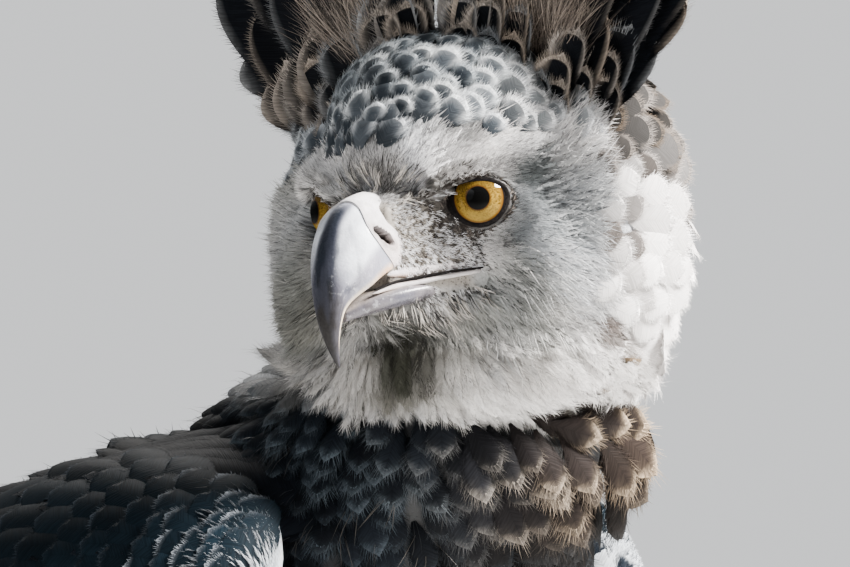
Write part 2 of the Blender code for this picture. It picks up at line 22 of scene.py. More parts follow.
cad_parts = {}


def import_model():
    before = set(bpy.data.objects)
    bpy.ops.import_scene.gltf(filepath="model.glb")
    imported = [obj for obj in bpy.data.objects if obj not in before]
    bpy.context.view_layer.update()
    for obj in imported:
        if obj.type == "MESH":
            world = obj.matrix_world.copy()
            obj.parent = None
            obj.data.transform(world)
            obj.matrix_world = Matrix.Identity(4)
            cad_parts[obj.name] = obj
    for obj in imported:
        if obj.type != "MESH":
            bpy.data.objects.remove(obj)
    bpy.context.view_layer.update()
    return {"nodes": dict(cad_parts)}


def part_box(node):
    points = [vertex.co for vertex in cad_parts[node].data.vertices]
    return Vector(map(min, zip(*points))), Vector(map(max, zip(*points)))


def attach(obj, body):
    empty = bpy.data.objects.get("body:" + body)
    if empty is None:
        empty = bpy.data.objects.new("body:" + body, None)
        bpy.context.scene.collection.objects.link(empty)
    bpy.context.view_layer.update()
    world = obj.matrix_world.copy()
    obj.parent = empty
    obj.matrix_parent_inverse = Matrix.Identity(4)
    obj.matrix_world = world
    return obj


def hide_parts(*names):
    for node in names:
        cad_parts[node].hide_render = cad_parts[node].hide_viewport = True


LOG = logging.getLogger("harpy_eagle")
MM = 0.001
BODY = "root"
BAKE_MAP = "OFBake"
BAKE_PATCH = 0.003  # width of one tuft's patch on the skin's unwrap
MOST_TRIANGLES = 190_000  # of one piece
UP = (0.0, 0.0, 1.0)
MERGE = 1e-6  # metres within which vertices become one
FLOOR_GAP = 0.0004  # metres that skin and claws keep above the floor
TOE_JOINT = (0.072, -0.1245)  # metres: where the toes of the left foot meet, to the left and in front

Array = np.ndarray


class Side(Enum):
    """A side of the bird; the value is the sign of X there."""

    LEFT = 1
    RIGHT = -1

    @property
    def label(self) -> str:
        """How its pieces are named."""
        return self.name.lower()


# ---------------------------------------------------------------- small mathematics


def unit(vectors: Array) -> Array:
    """Vectors scaled to length one, along the last axis."""
    return vectors / np.maximum(np.linalg.norm(vectors, axis=-1, keepdims=True), 1e-12)


def dot(a: Array, b: Array) -> Array:
    """Row by row dot product, kept as a column."""
    return np.sum(a * b, axis=-1, keepdims=True)


def smooth(low: float, high: float, value: Array) -> Array:
    """Smooth step from 0 at low to 1 at high; low may be the larger."""
    t = np.clip((value - low) / (high - low), 0.0, 1.0)
    return t * t * (3.0 - 2.0 * t)


def mix(a: Array, b: Array, share: Array) -> Array:
    """Linear blend of two arrays of rows by a share per row.

    Args:
        a: rows at share 0.
        b: rows at share 1.
        share: shares of the second, 0 to 1.

    Returns:
        The blended rows.
    """
    share = np.asarray(share)
    if np.ndim(a) > share.ndim or np.ndim(b) > share.ndim:
        share = share[..., None]
    return a + (b - a) * share


def bump(value: Array, middle: float, spread: float) -> Array:
    """A bell of height one at middle."""
    return np.exp(-(((value - middle) / spread) ** 2))


def rgb(red: int, green: int, blue: int) -> Array:
    """A colour given in display values of 0 to 255, as linear light."""
    c = np.array([red, green, blue], float) / 255.0
    return np.where(c <= 0.04045, c / 12.92, ((c + 0.055) / 1.055) ** 2.4)


def cubic(points: tuple[tuple[float, float], ...], t: Array) -> Array:
    """Points on the cubic curve with four control points.

    Args:
        points: the four control points.
        t: shares of the way, 0 to 1.

    Returns:
        A row for each share.
    """
    a, b, c, d = (np.array(p, float) for p in points)
    t = np.asarray(t, float)[..., None]
    s = 1 - t
    return a * s**3 + 3 * b * s * s * t + 3 * c * s * t * t + d * t**3


def through(stations: tuple[tuple[float, ...], ...], places: Array) -> Array:
    """Rows of values on the smooth curve through the stations (Catmull-Rom).

    Args:
        stations: the rows of values to pass through.
        places: where to read the curve, counted in stations from 0.

    Returns:
        A row of values for each place.
    """
    table = np.array(stations, float)
    padded = np.vstack([2 * table[0] - table[1], table, 2 * table[-1] - table[-2]])
    places = np.clip(np.asarray(places, float), 0, len(table) - 1)
    i = np.minimum(places.astype(int), len(table) - 2)
    t = (places - i)[..., None]
    a, b, c, d = padded[i], padded[i + 1], padded[i + 2], padded[i + 3]
    return 0.5 * (
        2 * b + (c - a) * t + (2 * a - 5 * b + 4 * c - d) * t**2 + (3 * b - a - 3 * c + d) * t**3
    )


def rows_of(row: Array | tuple[float, ...], count: int) -> Array:
    """The same row, such as a colour or a direction, count times over."""
    return np.tile(row, (count, 1))


def laid_flat(way: Array, normals: Array) -> Array:
    """Directions turned into the surface that has these normals."""
    return unit(way - dot(way, normals) * normals)


def sideways(values: Array) -> Array:
    """Vectors that lead along X by some values."""
    return np.asarray(values, float)[..., None] * [1.0, 0.0, 0.0]


def full_turn(count: int) -> Array:
    """Angles evenly spread over a full turn, from 0."""
    return np.arange(count) / count * 2 * math.pi


def between(ends: tuple[float, float], share: Array) -> Array:
    """The numbers from the first of two ends to the second, at shares of the way."""
    return ends[0] + (ends[1] - ends[0]) * share


def rounded_ends(share: Array, first: float, last: float, least: float) -> Array:
    """A size of 1 that dwindles towards both ends of a length.

    Args:
        share: places along the length, 0 to 1.
        first: share of the length over which it grows.
        last: share over which it dwindles.
        least: the square of the size at the very ends.

    Returns:
        A size for each place, 0 to 1.
    """
    return np.minimum(1, np.sqrt(np.minimum(share / first, (1 - share) / last) + least))


class Noise:
    """Smooth random fields in space, the same on every run."""

    PRIMES = (374761393, 668265263, 2246822519)

    @classmethod
    def _corner(cls, cell: Array, seed: int) -> Array:
        """A random number of 0 to 1 for each lattice corner.

        Args:
            cell: whole numbers of the lattice.
            seed: which field.

        Returns:
            Numbers of 0 to 1.
        """
        mixed = np.full(cell.shape[:-1], seed * 3266489917 & 0xFFFFFFFF, np.uint64)
        for axis, prime in enumerate(cls.PRIMES):
            mixed = mixed ^ ((cell[..., axis].astype(np.int64).astype(np.uint64) * prime) & 0xFFFFFFFF)
            mixed = (mixed * 2654435761) & 0xFFFFFFFF
            mixed = mixed ^ (mixed >> np.uint64(15))
        return mixed.astype(float) / 0xFFFFFFFF

    @classmethod
    def value(cls, points: Array, size: float, seed: int) -> Array:
        """Smooth noise of 0 to 1.

        Args:
            points: rows of positions.
            size: the width of one blob, in the unit of the positions.
            seed: which field.

        Returns:
            A number for each row.
        """
        place = np.asarray(points, float) / size + 1000.0
        cell = np.floor(place)
        t = place - cell
        t = t * t * (3 - 2 * t)
        total = np.zeros(len(place))
        for corner in np.ndindex(2, 2, 2):
            share = np.prod(np.where(np.array(corner) == 1, t, 1 - t), axis=-1)
            total += share * cls._corner(cell + np.array(corner), seed)
        return total

    @classmethod
    def cloud(cls, points: Array, size: float, seed: int) -> Array:
        """Noise of three sizes together, 0 to 1."""
        parts = [cls.value(points, size / 2**i, seed + 17 * i) / 2**i for i in range(3)]
        return np.clip((sum(parts) / 1.75 - 0.5) * 1.5 + 0.5, 0, 1)


# ---------------------------------------------------------------- mesh helpers


def select_only(obj: bpy.types.Object) -> None:
    """Makes one object the only selected and the active one.

    Args:
        obj: the piece.
    """
    bpy.ops.object.select_all(action="DESELECT")
    obj.select_set(True)
    bpy.context.view_layer.objects.active = obj


@contextmanager
def editing(obj: bpy.types.Object) -> Iterator[None]:
    """Edit mode on one object with everything selected, left again at the end.

    Args:
        obj: the piece.

    Yields:
        Nothing, while the block inside runs in edit mode.
    """
    select_only(obj)
    bpy.ops.object.mode_set(mode="EDIT")
    bpy.ops.mesh.select_all(action="SELECT")
    yield
    bpy.ops.object.mode_set(mode="OBJECT")


def coordinates(mesh: bpy.types.Mesh) -> Array:
    """The vertices of a mesh as rows.

    Args:
        mesh: the mesh.

    Returns:
        Rows of three, in metres.
    """
    flat = np.empty(len(mesh.vertices) * 3, np.float32)
    mesh.vertices.foreach_get("co", flat)
    return flat.reshape(-1, 3).astype(float)


def vertex_normals(mesh: bpy.types.Mesh) -> Array:
    """The vertex normals of a mesh as rows.

    Args:
        mesh: the mesh.

    Returns:
        Rows of length one.
    """
    flat = np.empty(len(mesh.vertices) * 3, np.float32)
    mesh.vertex_normals.foreach_get("vector", flat)
    return flat.reshape(-1, 3).astype(float)


def move_vertices(mesh: bpy.types.Mesh, points: Array) -> None:
    """Writes new places for all vertices."""
    mesh.vertices.foreach_set("co", np.ascontiguousarray(points, np.float32).ravel())
    mesh.update()


def edge_pairs(mesh: bpy.types.Mesh) -> Array:
    """The two vertices of each edge as rows.

    Args:
        mesh: the mesh.

    Returns:
        Rows of two vertex numbers.
    """
    flat = np.empty(len(mesh.edges) * 2, np.int32)
    mesh.edges.foreach_get("vertices", flat)
    return flat.reshape(-1, 2)


def spread_over(values: Array, pairs: Array, rounds: int) -> Array:
    """Blurs values at vertices along the edges.

    Args:
        values: one value or row for each vertex.
        pairs: the vertices of each edge.
        rounds: how often they are blurred.

    Returns:
        The blurred values.
    """
    values = np.array(values, float)
    column = values.ndim == 1
    values = values[:, None] if column else values
    count = np.bincount(pairs.ravel(), minlength=len(values))[:, None]
    for _ in range(rounds):
        total = np.stack(
            [
                np.bincount(pairs[:, 0], values[pairs[:, 1], k], len(values))
                + np.bincount(pairs[:, 1], values[pairs[:, 0], k], len(values))
                for k in range(values.shape[1])
            ],
            axis=1,
        )
        values = 0.5 * values + 0.5 * total / np.maximum(count, 1)
    return values[:, 0] if column else values


def mesh_object(name: str, points: Array, faces: list[Array]) -> bpy.types.Object:
    """A new smooth object from arrays.

    Args:
        name: the piece's name.
        points: its vertices, in metres.
        faces: arrays of vertex numbers, one array for each number of corners.

    Returns:
        The object, linked to the scene.
    """
    mesh = bpy.data.meshes.new(name)
    faces = [np.asarray(f, np.int32) for f in faces if len(f)]
    corners = np.concatenate([f.ravel() for f in faces])
    totals = np.concatenate([np.full(len(f), f.shape[1], np.int32) for f in faces])
    mesh.vertices.add(len(points))
    mesh.vertices.foreach_set("co", np.ascontiguousarray(points, np.float32).ravel())
    mesh.loops.add(len(corners))
    mesh.loops.foreach_set("vertex_index", corners)
    mesh.polygons.add(len(totals))
    mesh.polygons.foreach_set("loop_start", np.concatenate([[0], np.cumsum(totals)[:-1]]).astype(np.int32))
    mesh.update(calc_edges=True)
    mesh.shade_smooth()
    obj = bpy.data.objects.new(name, mesh)
    bpy.context.scene.collection.objects.link(obj)
    return obj


def put_vectors(mesh: bpy.types.Mesh, name: str, values: Array) -> None:
    """Stores a vector at each vertex."""
    layer = mesh.attributes.new(name, "FLOAT_VECTOR", "POINT")
    layer.data.foreach_set("vector", np.ascontiguousarray(values, np.float32).ravel())


def put_colours(mesh: bpy.types.Mesh, name: str, values: Array) -> None:
    """Stores a colour at each vertex.

    Args:
        mesh: the mesh.
        name: of the attribute.
        values: rows of linear light.
    """
    layer = mesh.attributes.new(name, "FLOAT_COLOR", "POINT")
    full = np.concatenate([np.clip(values, 0, 1), np.ones((len(values), 1))], axis=1)
    layer.data.foreach_set("color", np.ascontiguousarray(full, np.float32).ravel())


def put_bake_map(mesh: bpy.types.Mesh, places: Array) -> None:
    """Stores the unwrap that colours are baked through, one place per vertex.

    Args:
        mesh: the mesh.
        places: where each vertex lies on the unwrap.
    """
    corners = np.empty(len(mesh.loops), np.int32)
    mesh.loops.foreach_get("vertex_index", corners)
    layer = mesh.uv_layers.new(name=BAKE_MAP)
    layer.uv.foreach_set("vector", np.ascontiguousarray(places[corners], np.float32).ravel())


def grid_faces(rows: int, columns: int, closed: bool = False) -> Array:
    """Quads between rows of points; closed joins the last column to the first.

    Args:
        rows: how many rows of points.
        columns: how many points in each.
        closed: whether the last joins the first.

    Returns:
        Rows of four vertex numbers.
    """
    wide = columns if closed else columns - 1
    i, j = np.meshgrid(np.arange(rows - 1), np.arange(wide), indexing="ij")
    a = i * columns + j
    b = i * columns + (j + 1) % columns
    return np.stack([a, b, b + columns, a + columns], axis=-1).reshape(-1, 4)


@dataclass
class HeadFrame:
    """Positions on the head in millimetres: forward of the eyes, to the bird's left, and up."""

    yaw: float = math.radians(-82.0)
    roll: float = math.radians(-3.5)
    iris_behind: float = 8.1  # how far the eyeballs' middles lie behind the origin
    origin: Array = field(init=False)
    axes: Array = field(init=False)  # columns: forward, left, up

    def __post_init__(self) -> None:
        """Finds the origin between the two eyeballs."""
        turn = np.array(Matrix.Rotation(self.yaw, 3, "Z") @ Matrix.Rotation(self.roll, 3, "Y"))
        self.axes = np.stack([-turn[:, 1], turn[:, 0], turn[:, 2]], axis=1)
        middles = [(low + high) / 2 for low, high in (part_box("eye_left"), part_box("eye_right"))]
        middle = np.array((middles[0] + middles[1]) / 2)
        self.origin = middle + self.axes[:, 0] * self.iris_behind * MM

    def out(self, places: Array) -> Array:
        """From head millimetres to the model's metres."""
        return self.origin + np.asarray(places, float) * MM @ self.axes.T

    def inn(self, points: Array) -> Array:
        """From the model's metres to head millimetres."""
        return (np.asarray(points, float) - self.origin) @ self.axes / MM

    def turn_out(self, directions: Array) -> Array:
        """Directions from the head's axes to the model's."""
        return np.asarray(directions, float) @ self.axes.T

    def turn_in(self, directions: Array) -> Array:
        """Directions from the model's axes to the head's."""
        return np.asarray(directions, float) @ self.axes


# ---------------------------------------------------------------- finishes

Link = "bpy.types.NodeSocket | float | tuple[float, ...]"


class Tree:
    """Builds a node tree in few words."""

    def __init__(self, tree: bpy.types.NodeTree) -> None:
        """Wraps an empty tree."""
        self.tree = tree

    def node(self, kind: str, **settings: object) -> bpy.types.Node:
        """Adds a node and sets its properties.

        Args:
            kind: of node.
            settings: its properties.

        Returns:
            The node.
        """
        node = self.tree.nodes.new(kind)
        for key, value in settings.items():
            setattr(node, key, value)
        return node

    def feed(self, socket: bpy.types.NodeSocket, value: Link) -> None:
        """Links a socket to another, or sets it to a constant.

        Args:
            socket: an input.
            value: an output, a number or a row of numbers.
        """
        if isinstance(value, bpy.types.NodeSocket):
            self.tree.links.new(value, socket)
        elif isinstance(value, (tuple, np.ndarray)):
            value = tuple(float(v) for v in value)
            socket.default_value = (*value, 1.0) if socket.type == "RGBA" and len(value) == 3 else value
        else:
            socket.default_value = value

    def sum(self, operation: str, *values: Link, clamp: bool = False) -> bpy.types.NodeSocket:
        """A Math node.

        Args:
            operation: what it does.
            values: its inputs.
            clamp: whether it stays in 0 to 1.

        Returns:
            Its output.
        """
        node = self.node("ShaderNodeMath", operation=operation, use_clamp=clamp)
        for socket, value in zip(node.inputs, values):
            self.feed(socket, value)
        return node.outputs[0]

    def vector(self, x: Link, y: Link, z: Link) -> bpy.types.NodeSocket:
        """A vector from its three parts.

        Args:
            x: first part.
            y: second part.
            z: third part.

        Returns:
            The vector.
        """
        node = self.node("ShaderNodeCombineXYZ")
        for socket, value in zip(node.inputs, (x, y, z)):
            self.feed(socket, value)
        return node.outputs[0]

    def parts(self, vector: Link) -> list[bpy.types.NodeSocket]:
        """The three parts of a vector.

        Args:
            vector: what is taken apart.

        Returns:
            Its three outputs.
        """
        node = self.node("ShaderNodeSeparateXYZ")
        self.feed(node.inputs[0], vector)
        return list(node.outputs)

    def blend(self, share: Link, a: Link, b: Link, mode: str = "MIX") -> bpy.types.NodeSocket:
        """Mixes two colours.

        Args:
            share: of the second.
            a: the first.
            b: the second.
            mode: how they mix.

        Returns:
            The mixed colour.
        """
        node = self.node("ShaderNodeMix", data_type="RGBA", blend_type=mode, clamp_factor=True)
        self.feed(node.inputs[0], share)
        self.feed(node.inputs[6], a)
        self.feed(node.inputs[7], b)
        return node.outputs[2]

    def shaded(self, colour: Link, tone: Link) -> bpy.types.NodeSocket:
        """A colour times a grey tone."""
        return self.blend(1.0, colour, self.vector(tone, tone, tone), "MULTIPLY")

    def ramp(
        self, value: Link, low: float, high: float, to_low: float = 0.0, to_high: float = 1.0
    ) -> bpy.types.NodeSocket:
        """A smooth step from one value to another.

        Args:
            value: what is read.
            low: where the step begins.
            high: where it ends.
            to_low: the result before it.
            to_high: the result after it.

        Returns:
            The result.
        """
        node = self.node("ShaderNodeMapRange", interpolation_type="SMOOTHSTEP")
        for socket, number in zip(node.inputs, (value, low, high, to_low, to_high)):
            self.feed(socket, number)
        return node.outputs[0]

    def noise(
        self, vector: Link, scale: float, detail: float = 3.0, roughness: float = 0.55
    ) -> bpy.types.NodeSocket:
        """Noise of about 0.3 to 0.7.

        Args:
            vector: the place that is read.
            scale: how many to the metre.
            detail: how many finer sizes join in.
            roughness: how strongly they do.

        Returns:
            A value for each place.
        """
        node = self.node("ShaderNodeTexNoise", noise_dimensions="3D")
        self.feed(node.inputs["Vector"], vector)
        self.feed(node.inputs["Scale"], scale)
        self.feed(node.inputs["Detail"], detail)
        self.feed(node.inputs["Roughness"], roughness)
        return node.outputs["Fac"]

    def cells(self, vector: Link, scale: float, feature: str = "F1") -> bpy.types.NodeSocket:
        """Distance to the nearest cell point, or to the cell's edge.

        Args:
            vector: the place that is read.
            scale: how many to the metre.
            feature: which distance.

        Returns:
            The distance.
        """
        node = self.node("ShaderNodeTexVoronoi", feature=feature)
        self.feed(node.inputs["Vector"], vector)
        self.feed(node.inputs["Scale"], scale)
        return node.outputs["Distance"]

    def attribute(self, name: str, output: str) -> bpy.types.NodeSocket:
        """What a vertex attribute holds."""
        return self.node("ShaderNodeAttribute", attribute_name=name).outputs[output]

    def place(self) -> bpy.types.NodeSocket:
        """Position on the object, in metres."""
        return self.node("ShaderNodeTexCoord").outputs["Object"]

    def bump(self, height: Link, strength: float, depth: float) -> bpy.types.NodeSocket:
        """A normal that a height tilts; depth is in metres.

        Args:
            height: what raises the surface.
            strength: share of the effect.
            depth: how far 1 raises it.

        Returns:
            The tilted normal.
        """
        node = self.node("ShaderNodeBump")
        self.feed(node.inputs["Height"], height)
        self.feed(node.inputs["Strength"], strength)
        self.feed(node.inputs["Distance"], depth)
        return node.outputs[0]


class Shaders:
    """The node groups that several finishes share, each built once."""

    @staticmethod
    def _group(
        name: str, inputs: dict[str, str], outputs: dict[str, str]
    ) -> tuple[Tree, bpy.types.Node, bpy.types.Node]:
        """An empty group with its sockets and its two end nodes.

        Args:
            name: of the group.
            inputs: names and kinds of its inputs.
            outputs: names and kinds of its outputs.

        Returns:
            Its tree, its input node and its output node.
        """
        tree = bpy.data.node_groups.new(name, "ShaderNodeTree")
        for where, sockets in (("INPUT", inputs), ("OUTPUT", outputs)):
            for label, kind in sockets.items():
                tree.interface.new_socket(label, in_out=where, socket_type=f"NodeSocket{kind}")
        build = Tree(tree)
        return build, build.node("NodeGroupInput"), build.node("NodeGroupOutput")

    @classmethod
    def barbs(cls) -> bpy.types.NodeTree:
        """Fine lines that leave a feather's shaft slantwise, and the shaft itself.

        The vane vector holds millimetres along and across, and a number of the feather's own.

        Returns:
            The group, with the outputs Lines and Shaft.
        """
        name = "feather_barbs"
        if name in bpy.data.node_groups:
            return bpy.data.node_groups[name]
        inputs = {"Vane": "Vector", "Spacing": "Float", "Slant": "Float"}
        build, given, result = cls._group(name, inputs, {"Lines": "Float", "Shaft": "Float"})
        along, across, own = build.parts(given.outputs["Vane"])
        out = build.sum("ABSOLUTE", across)
        phase = build.sum("SUBTRACT", along, build.sum("MULTIPLY", out, given.outputs["Slant"]))
        fine = build.sum("DIVIDE", phase, given.outputs["Spacing"])
        where = build.vector(fine, build.sum("MULTIPLY", out, 0.16), build.sum("MULTIPLY", own, 91.0))
        lines = build.ramp(build.noise(where, 1.0, 1.0, 0.4), 0.34, 0.66)
        build.feed(result.inputs["Lines"], lines)
        build.feed(result.inputs["Shaft"], build.ramp(out, 0.42, 0.12))
        return build.tree

    @classmethod
    def mottle(cls) -> bpy.types.NodeTree:
        """Clouded patches with finer grain inside, on object coordinates.

        Returns:
            The group, with the outputs Patches and Grain.
        """
        name = "mottling"
        if name in bpy.data.node_groups:
            return bpy.data.node_groups[name]
        inputs = {"Size": "Float", "Seed": "Float"}
        build, given, result = cls._group(name, inputs, {"Patches": "Float", "Grain": "Float"})
        scale = build.sum("DIVIDE", 1.0, given.outputs["Size"])
        node = build.node("ShaderNodeVectorMath", operation="ADD")
        build.feed(node.inputs[0], build.place())
        build.feed(node.inputs[1], build.vector(given.outputs["Seed"], 0.0, 0.0))
        warped = node.outputs[0]
        build.feed(result.inputs["Patches"], build.ramp(build.noise(warped, scale, 4.0, 0.6), 0.36, 0.64))
        grain = build.noise(warped, build.sum("MULTIPLY", scale, 7.0), 3.0, 0.6)
        build.feed(result.inputs["Grain"], build.ramp(grain, 0.3, 0.7))
        return build.tree


@dataclass(frozen=True)
class Finish:
    """What every finish shares: a name and a Principled surface."""

    name: str

    def material(self) -> bpy.types.Material:
        """The material, made the first time it is asked for.

        Returns:
            The finished material.
        """
        label = f"finish_{self.name}"
        if label in bpy.data.materials:
            return bpy.data.materials[label]
        made = bpy.data.materials.new(label)
        made.use_nodes = True
        made.node_tree.nodes.clear()
        build = Tree(made.node_tree)
        shader = build.node("ShaderNodeBsdfPrincipled")
        end = build.node("ShaderNodeOutputMaterial")
        build.feed(end.inputs["Surface"], shader.outputs[0])
        self.paint(build, shader)
        return made

    def paint(self, build: Tree, shader: bpy.types.Node) -> None:
        """Fills in the surface; each finish has its own."""
        raise NotImplementedError

    def dress(self, obj: bpy.types.Object) -> bpy.types.Object:
        """Gives a piece this finish alone.

        Args:
            obj: the piece.

        Returns:
            The same piece.
        """
        obj.data.materials.clear()
        obj.data.materials.append(self.material())
        return obj

    @staticmethod
    def use(build: Tree, group: bpy.types.NodeTree, **values: Link) -> bpy.types.Node:
        """Places a shared group and feeds its inputs.

        Args:
            build: the material's tree.
            group: the shared group.
            values: its inputs.

        Returns:
            The group's node.
        """
        node = build.node("ShaderNodeGroup", node_tree=group)
        for key, value in values.items():
            build.feed(node.inputs[key], value)
        return node


@dataclass(frozen=True)
class PlumeFinish(Finish):
    """Feathers: the colour comes with each vertex, barb lines and shaft are added."""

    spacing: float = 0.55  # millimetres between barb lines
    slant: float = 0.9
    contrast: float = 0.45
    shaft: float = 0.25  # how much darker the shaft is
    roughness: float = 0.62
    sheen: float = 0.12
    relief: float = 0.35
    gloss: float = 0.30

    def paint(self, build: Tree, shader: bpy.types.Node) -> None:
        """Lines darken and lighten the colour and raise the surface a little.

        Args:
            build: the material's tree.
            shader: its Principled surface.
        """
        vane = build.attribute("vane", "Vector")
        lines = self.use(build, Shaders.barbs(), Vane=vane, Spacing=self.spacing, Slant=self.slant)
        colour = build.attribute("plume", "Color")
        low, high = 1.0 - self.contrast, 1.0 + self.contrast * 0.8
        tone = build.ramp(lines.outputs["Lines"], 0.0, 1.0, low, high)
        shaft = build.ramp(lines.outputs["Shaft"], 0.0, 1.0, 1.0, 1.0 - self.shaft)
        tone = build.sum("MULTIPLY", tone, shaft)
        build.feed(shader.inputs["Base Color"], build.shaded(colour, tone))
        build.feed(shader.inputs["Roughness"], self.roughness)
        build.feed(shader.inputs["Specular IOR Level"], self.gloss)
        build.feed(shader.inputs["Sheen Weight"], self.sheen)
        build.feed(shader.inputs["Sheen Roughness"], 0.5)
        build.feed(shader.inputs["Normal"], build.bump(lines.outputs["Lines"], self.relief, 0.0003))


@dataclass(frozen=True)
class SkinFinish(Finish):
    """The bird's skin: markings as the coat's, pores, and scales where the legs are bare."""

    def paint(self, build: Tree, shader: bpy.types.Node) -> None:
        """Markings from the vertices, pores on the body and plates on the legs.

        Args:
            build: the material's tree.
            shader: its Principled surface.
        """
        place = build.place()
        bare = build.parts(build.attribute("zones", "Vector"))
        mottles = self.use(build, Shaders.mottle(), Size=0.006, Seed=3.0)
        colour = build.attribute("marking", "Color")
        tone = build.ramp(mottles.outputs["Grain"], 0.0, 1.0, 0.82, 1.12)
        colour = build.shaded(colour, tone)
        pores = build.ramp(build.cells(place, 900.0), 0.12, 0.3)
        pits = build.sum("MULTIPLY", build.sum("SUBTRACT", 1.0, pores), bare[1])
        colour = build.blend(pits, colour, (0.05, 0.045, 0.04))
        plates = build.ramp(build.cells(place, 260.0, "DISTANCE_TO_EDGE"), 0.0, 0.12)
        seams = build.sum("MULTIPLY", build.sum("SUBTRACT", 1.0, plates), bare[0])
        colour = build.blend(build.sum("MULTIPLY", seams, 0.7), colour, rgb(96, 74, 28))
        height = build.sum("ADD", build.sum("MULTIPLY", plates, bare[0]), build.sum("MULTIPLY", pores, 0.3))
        build.feed(shader.inputs["Base Color"], colour)
        build.feed(shader.inputs["Roughness"], 0.55)
        build.feed(shader.inputs["Specular IOR Level"], 0.4)
        build.feed(shader.inputs["Normal"], build.bump(height, 0.6, 0.0006))


@dataclass(frozen=True)
class HornFinish(Finish):
    """Bill and cere: painted tones from the vertices, with flaky patches, scratches and pores."""

    patch: float = 0.007
    pale: tuple[float, float, float] = (0.55, 0.56, 0.6)
    dark: tuple[float, float, float] = (0.10, 0.10, 0.13)
    strength: float = 0.35
    roughness: float = 0.32
    coat: float = 0.3
    relief: float = 0.2

    def paint(self, build: Tree, shader: bpy.types.Node) -> None:
        """Patches break the painted tones up, scratches run down the horn.

        Args:
            build: the material's tree.
            shader: its Principled surface.
        """
        colour = build.attribute("paint", "Color")
        wear = build.parts(build.attribute("wear", "Vector"))
        mottles = self.use(build, Shaders.mottle(), Size=self.patch, Seed=11.0)
        patches, grain = mottles.outputs["Patches"], mottles.outputs["Grain"]
        share = build.sum("MULTIPLY", build.sum("MULTIPLY", patches, wear[0]), self.strength)
        colour = build.blend(share, colour, self.dark)
        flakes = build.ramp(build.noise(build.place(), 420.0, 5.0, 0.7), 0.56, 0.66)
        share = build.sum("MULTIPLY", build.sum("MULTIPLY", flakes, wear[1]), self.strength)
        colour = build.blend(share, colour, self.pale)
        stretched = build.node("ShaderNodeMapping")
        build.feed(stretched.inputs["Vector"], build.place())
        build.feed(stretched.inputs["Scale"], (1500.0, 1500.0, 130.0))
        scratches = build.ramp(build.noise(stretched.outputs[0], 1.0, 2.0, 0.5), 0.62, 0.72)
        share = build.sum("MULTIPLY", build.sum("MULTIPLY", scratches, wear[1]), 0.3 * self.strength)
        colour = build.blend(share, colour, self.pale)
        build.feed(shader.inputs["Base Color"], colour)
        rough = build.ramp(grain, 0.0, 1.0, self.roughness - 0.06, self.roughness + 0.14)
        build.feed(shader.inputs["Roughness"], build.sum("ADD", rough, build.sum("MULTIPLY", wear[2], 0.26)))
        open_air = build.sum("SUBTRACT", 1.0, wear[2])
        build.feed(shader.inputs["Specular IOR Level"], 0.24)
        build.feed(shader.inputs["Coat Weight"], build.sum("MULTIPLY", open_air, self.coat))
        build.feed(shader.inputs["Coat Roughness"], 0.18)
        height = build.sum("ADD", grain, build.sum("MULTIPLY", flakes, 0.4))
        build.feed(shader.inputs["Normal"], build.bump(height, self.relief, 0.0003))


@dataclass(frozen=True)
class EyeFinish(Finish):
    """Amber iris with fibres round a black pupil, under a wet surface."""

    pupil: float = 0.475  # of the iris's radius
    gold: tuple[float, float, float] = (0.19, 0.112, 0.015)
    amber: tuple[float, float, float] = (0.052, 0.029, 0.004)
    straw: tuple[float, float, float] = (0.30, 0.20, 0.036)

    def paint(self, build: Tree, shader: bpy.types.Node) -> None:
        """The eye vector holds the distance from the axis in iris radii, and the place round it.

        Args:
            build: the material's tree.
            shader: its Principled surface.
        """
        out, right, up = build.parts(build.attribute("eye", "Vector"))
        spokes = build.vector(build.sum("MULTIPLY", right, 9.0), build.sum("MULTIPLY", up, 9.0), out)
        fibres = build.noise(spokes, 1.6, 4.0, 0.6)
        rings = build.noise(build.vector(build.sum("MULTIPLY", out, 7.0), right, up), 1.2, 3.0, 0.6)
        colour = build.blend(build.ramp(fibres, 0.36, 0.64), self.amber, self.gold)
        colour = build.blend(build.sum("MULTIPLY", build.ramp(rings, 0.45, 0.7), 0.35), colour, self.straw)
        # painted shade: the iris darker at its top, under the brow
        colour = build.blend(build.sum("MULTIPLY", build.ramp(up, 0.1, 0.8), 0.75), colour, self.amber)
        # painted light: the iris paler towards its bottom
        colour = build.blend(build.sum("MULTIPLY", build.ramp(up, -0.3, -0.95), 0.5), colour, self.straw)
        colour = build.blend(build.ramp(out, self.pupil + 0.10, self.pupil), colour, (0.05, 0.02, 0.004))
        colour = build.blend(build.ramp(out, 0.90, 1.0), colour, (0.10, 0.045, 0.006))
        within = build.ramp(out, self.pupil + 0.012, self.pupil - 0.012)
        colour = build.blend(within, colour, (0.002, 0.002, 0.002))
        colour = build.blend(build.ramp(out, 1.0, 1.05), colour, (0.006, 0.005, 0.005))
        build.feed(shader.inputs["Base Color"], colour)
        build.feed(shader.inputs["Roughness"], 0.5)
        build.feed(shader.inputs["Specular IOR Level"], 0.0)
        wet = build.sum("ADD", build.sum("MULTIPLY", build.ramp(up, 0.10, 0.45), 0.82), 0.18)
        build.feed(shader.inputs["Coat Weight"], wet)
        build.feed(shader.inputs["Coat IOR"], 1.34)
        build.feed(shader.inputs["Coat Roughness"], 0.02)
        build.feed(shader.inputs["Normal"], build.bump(fibres, 0.12, 0.0002))


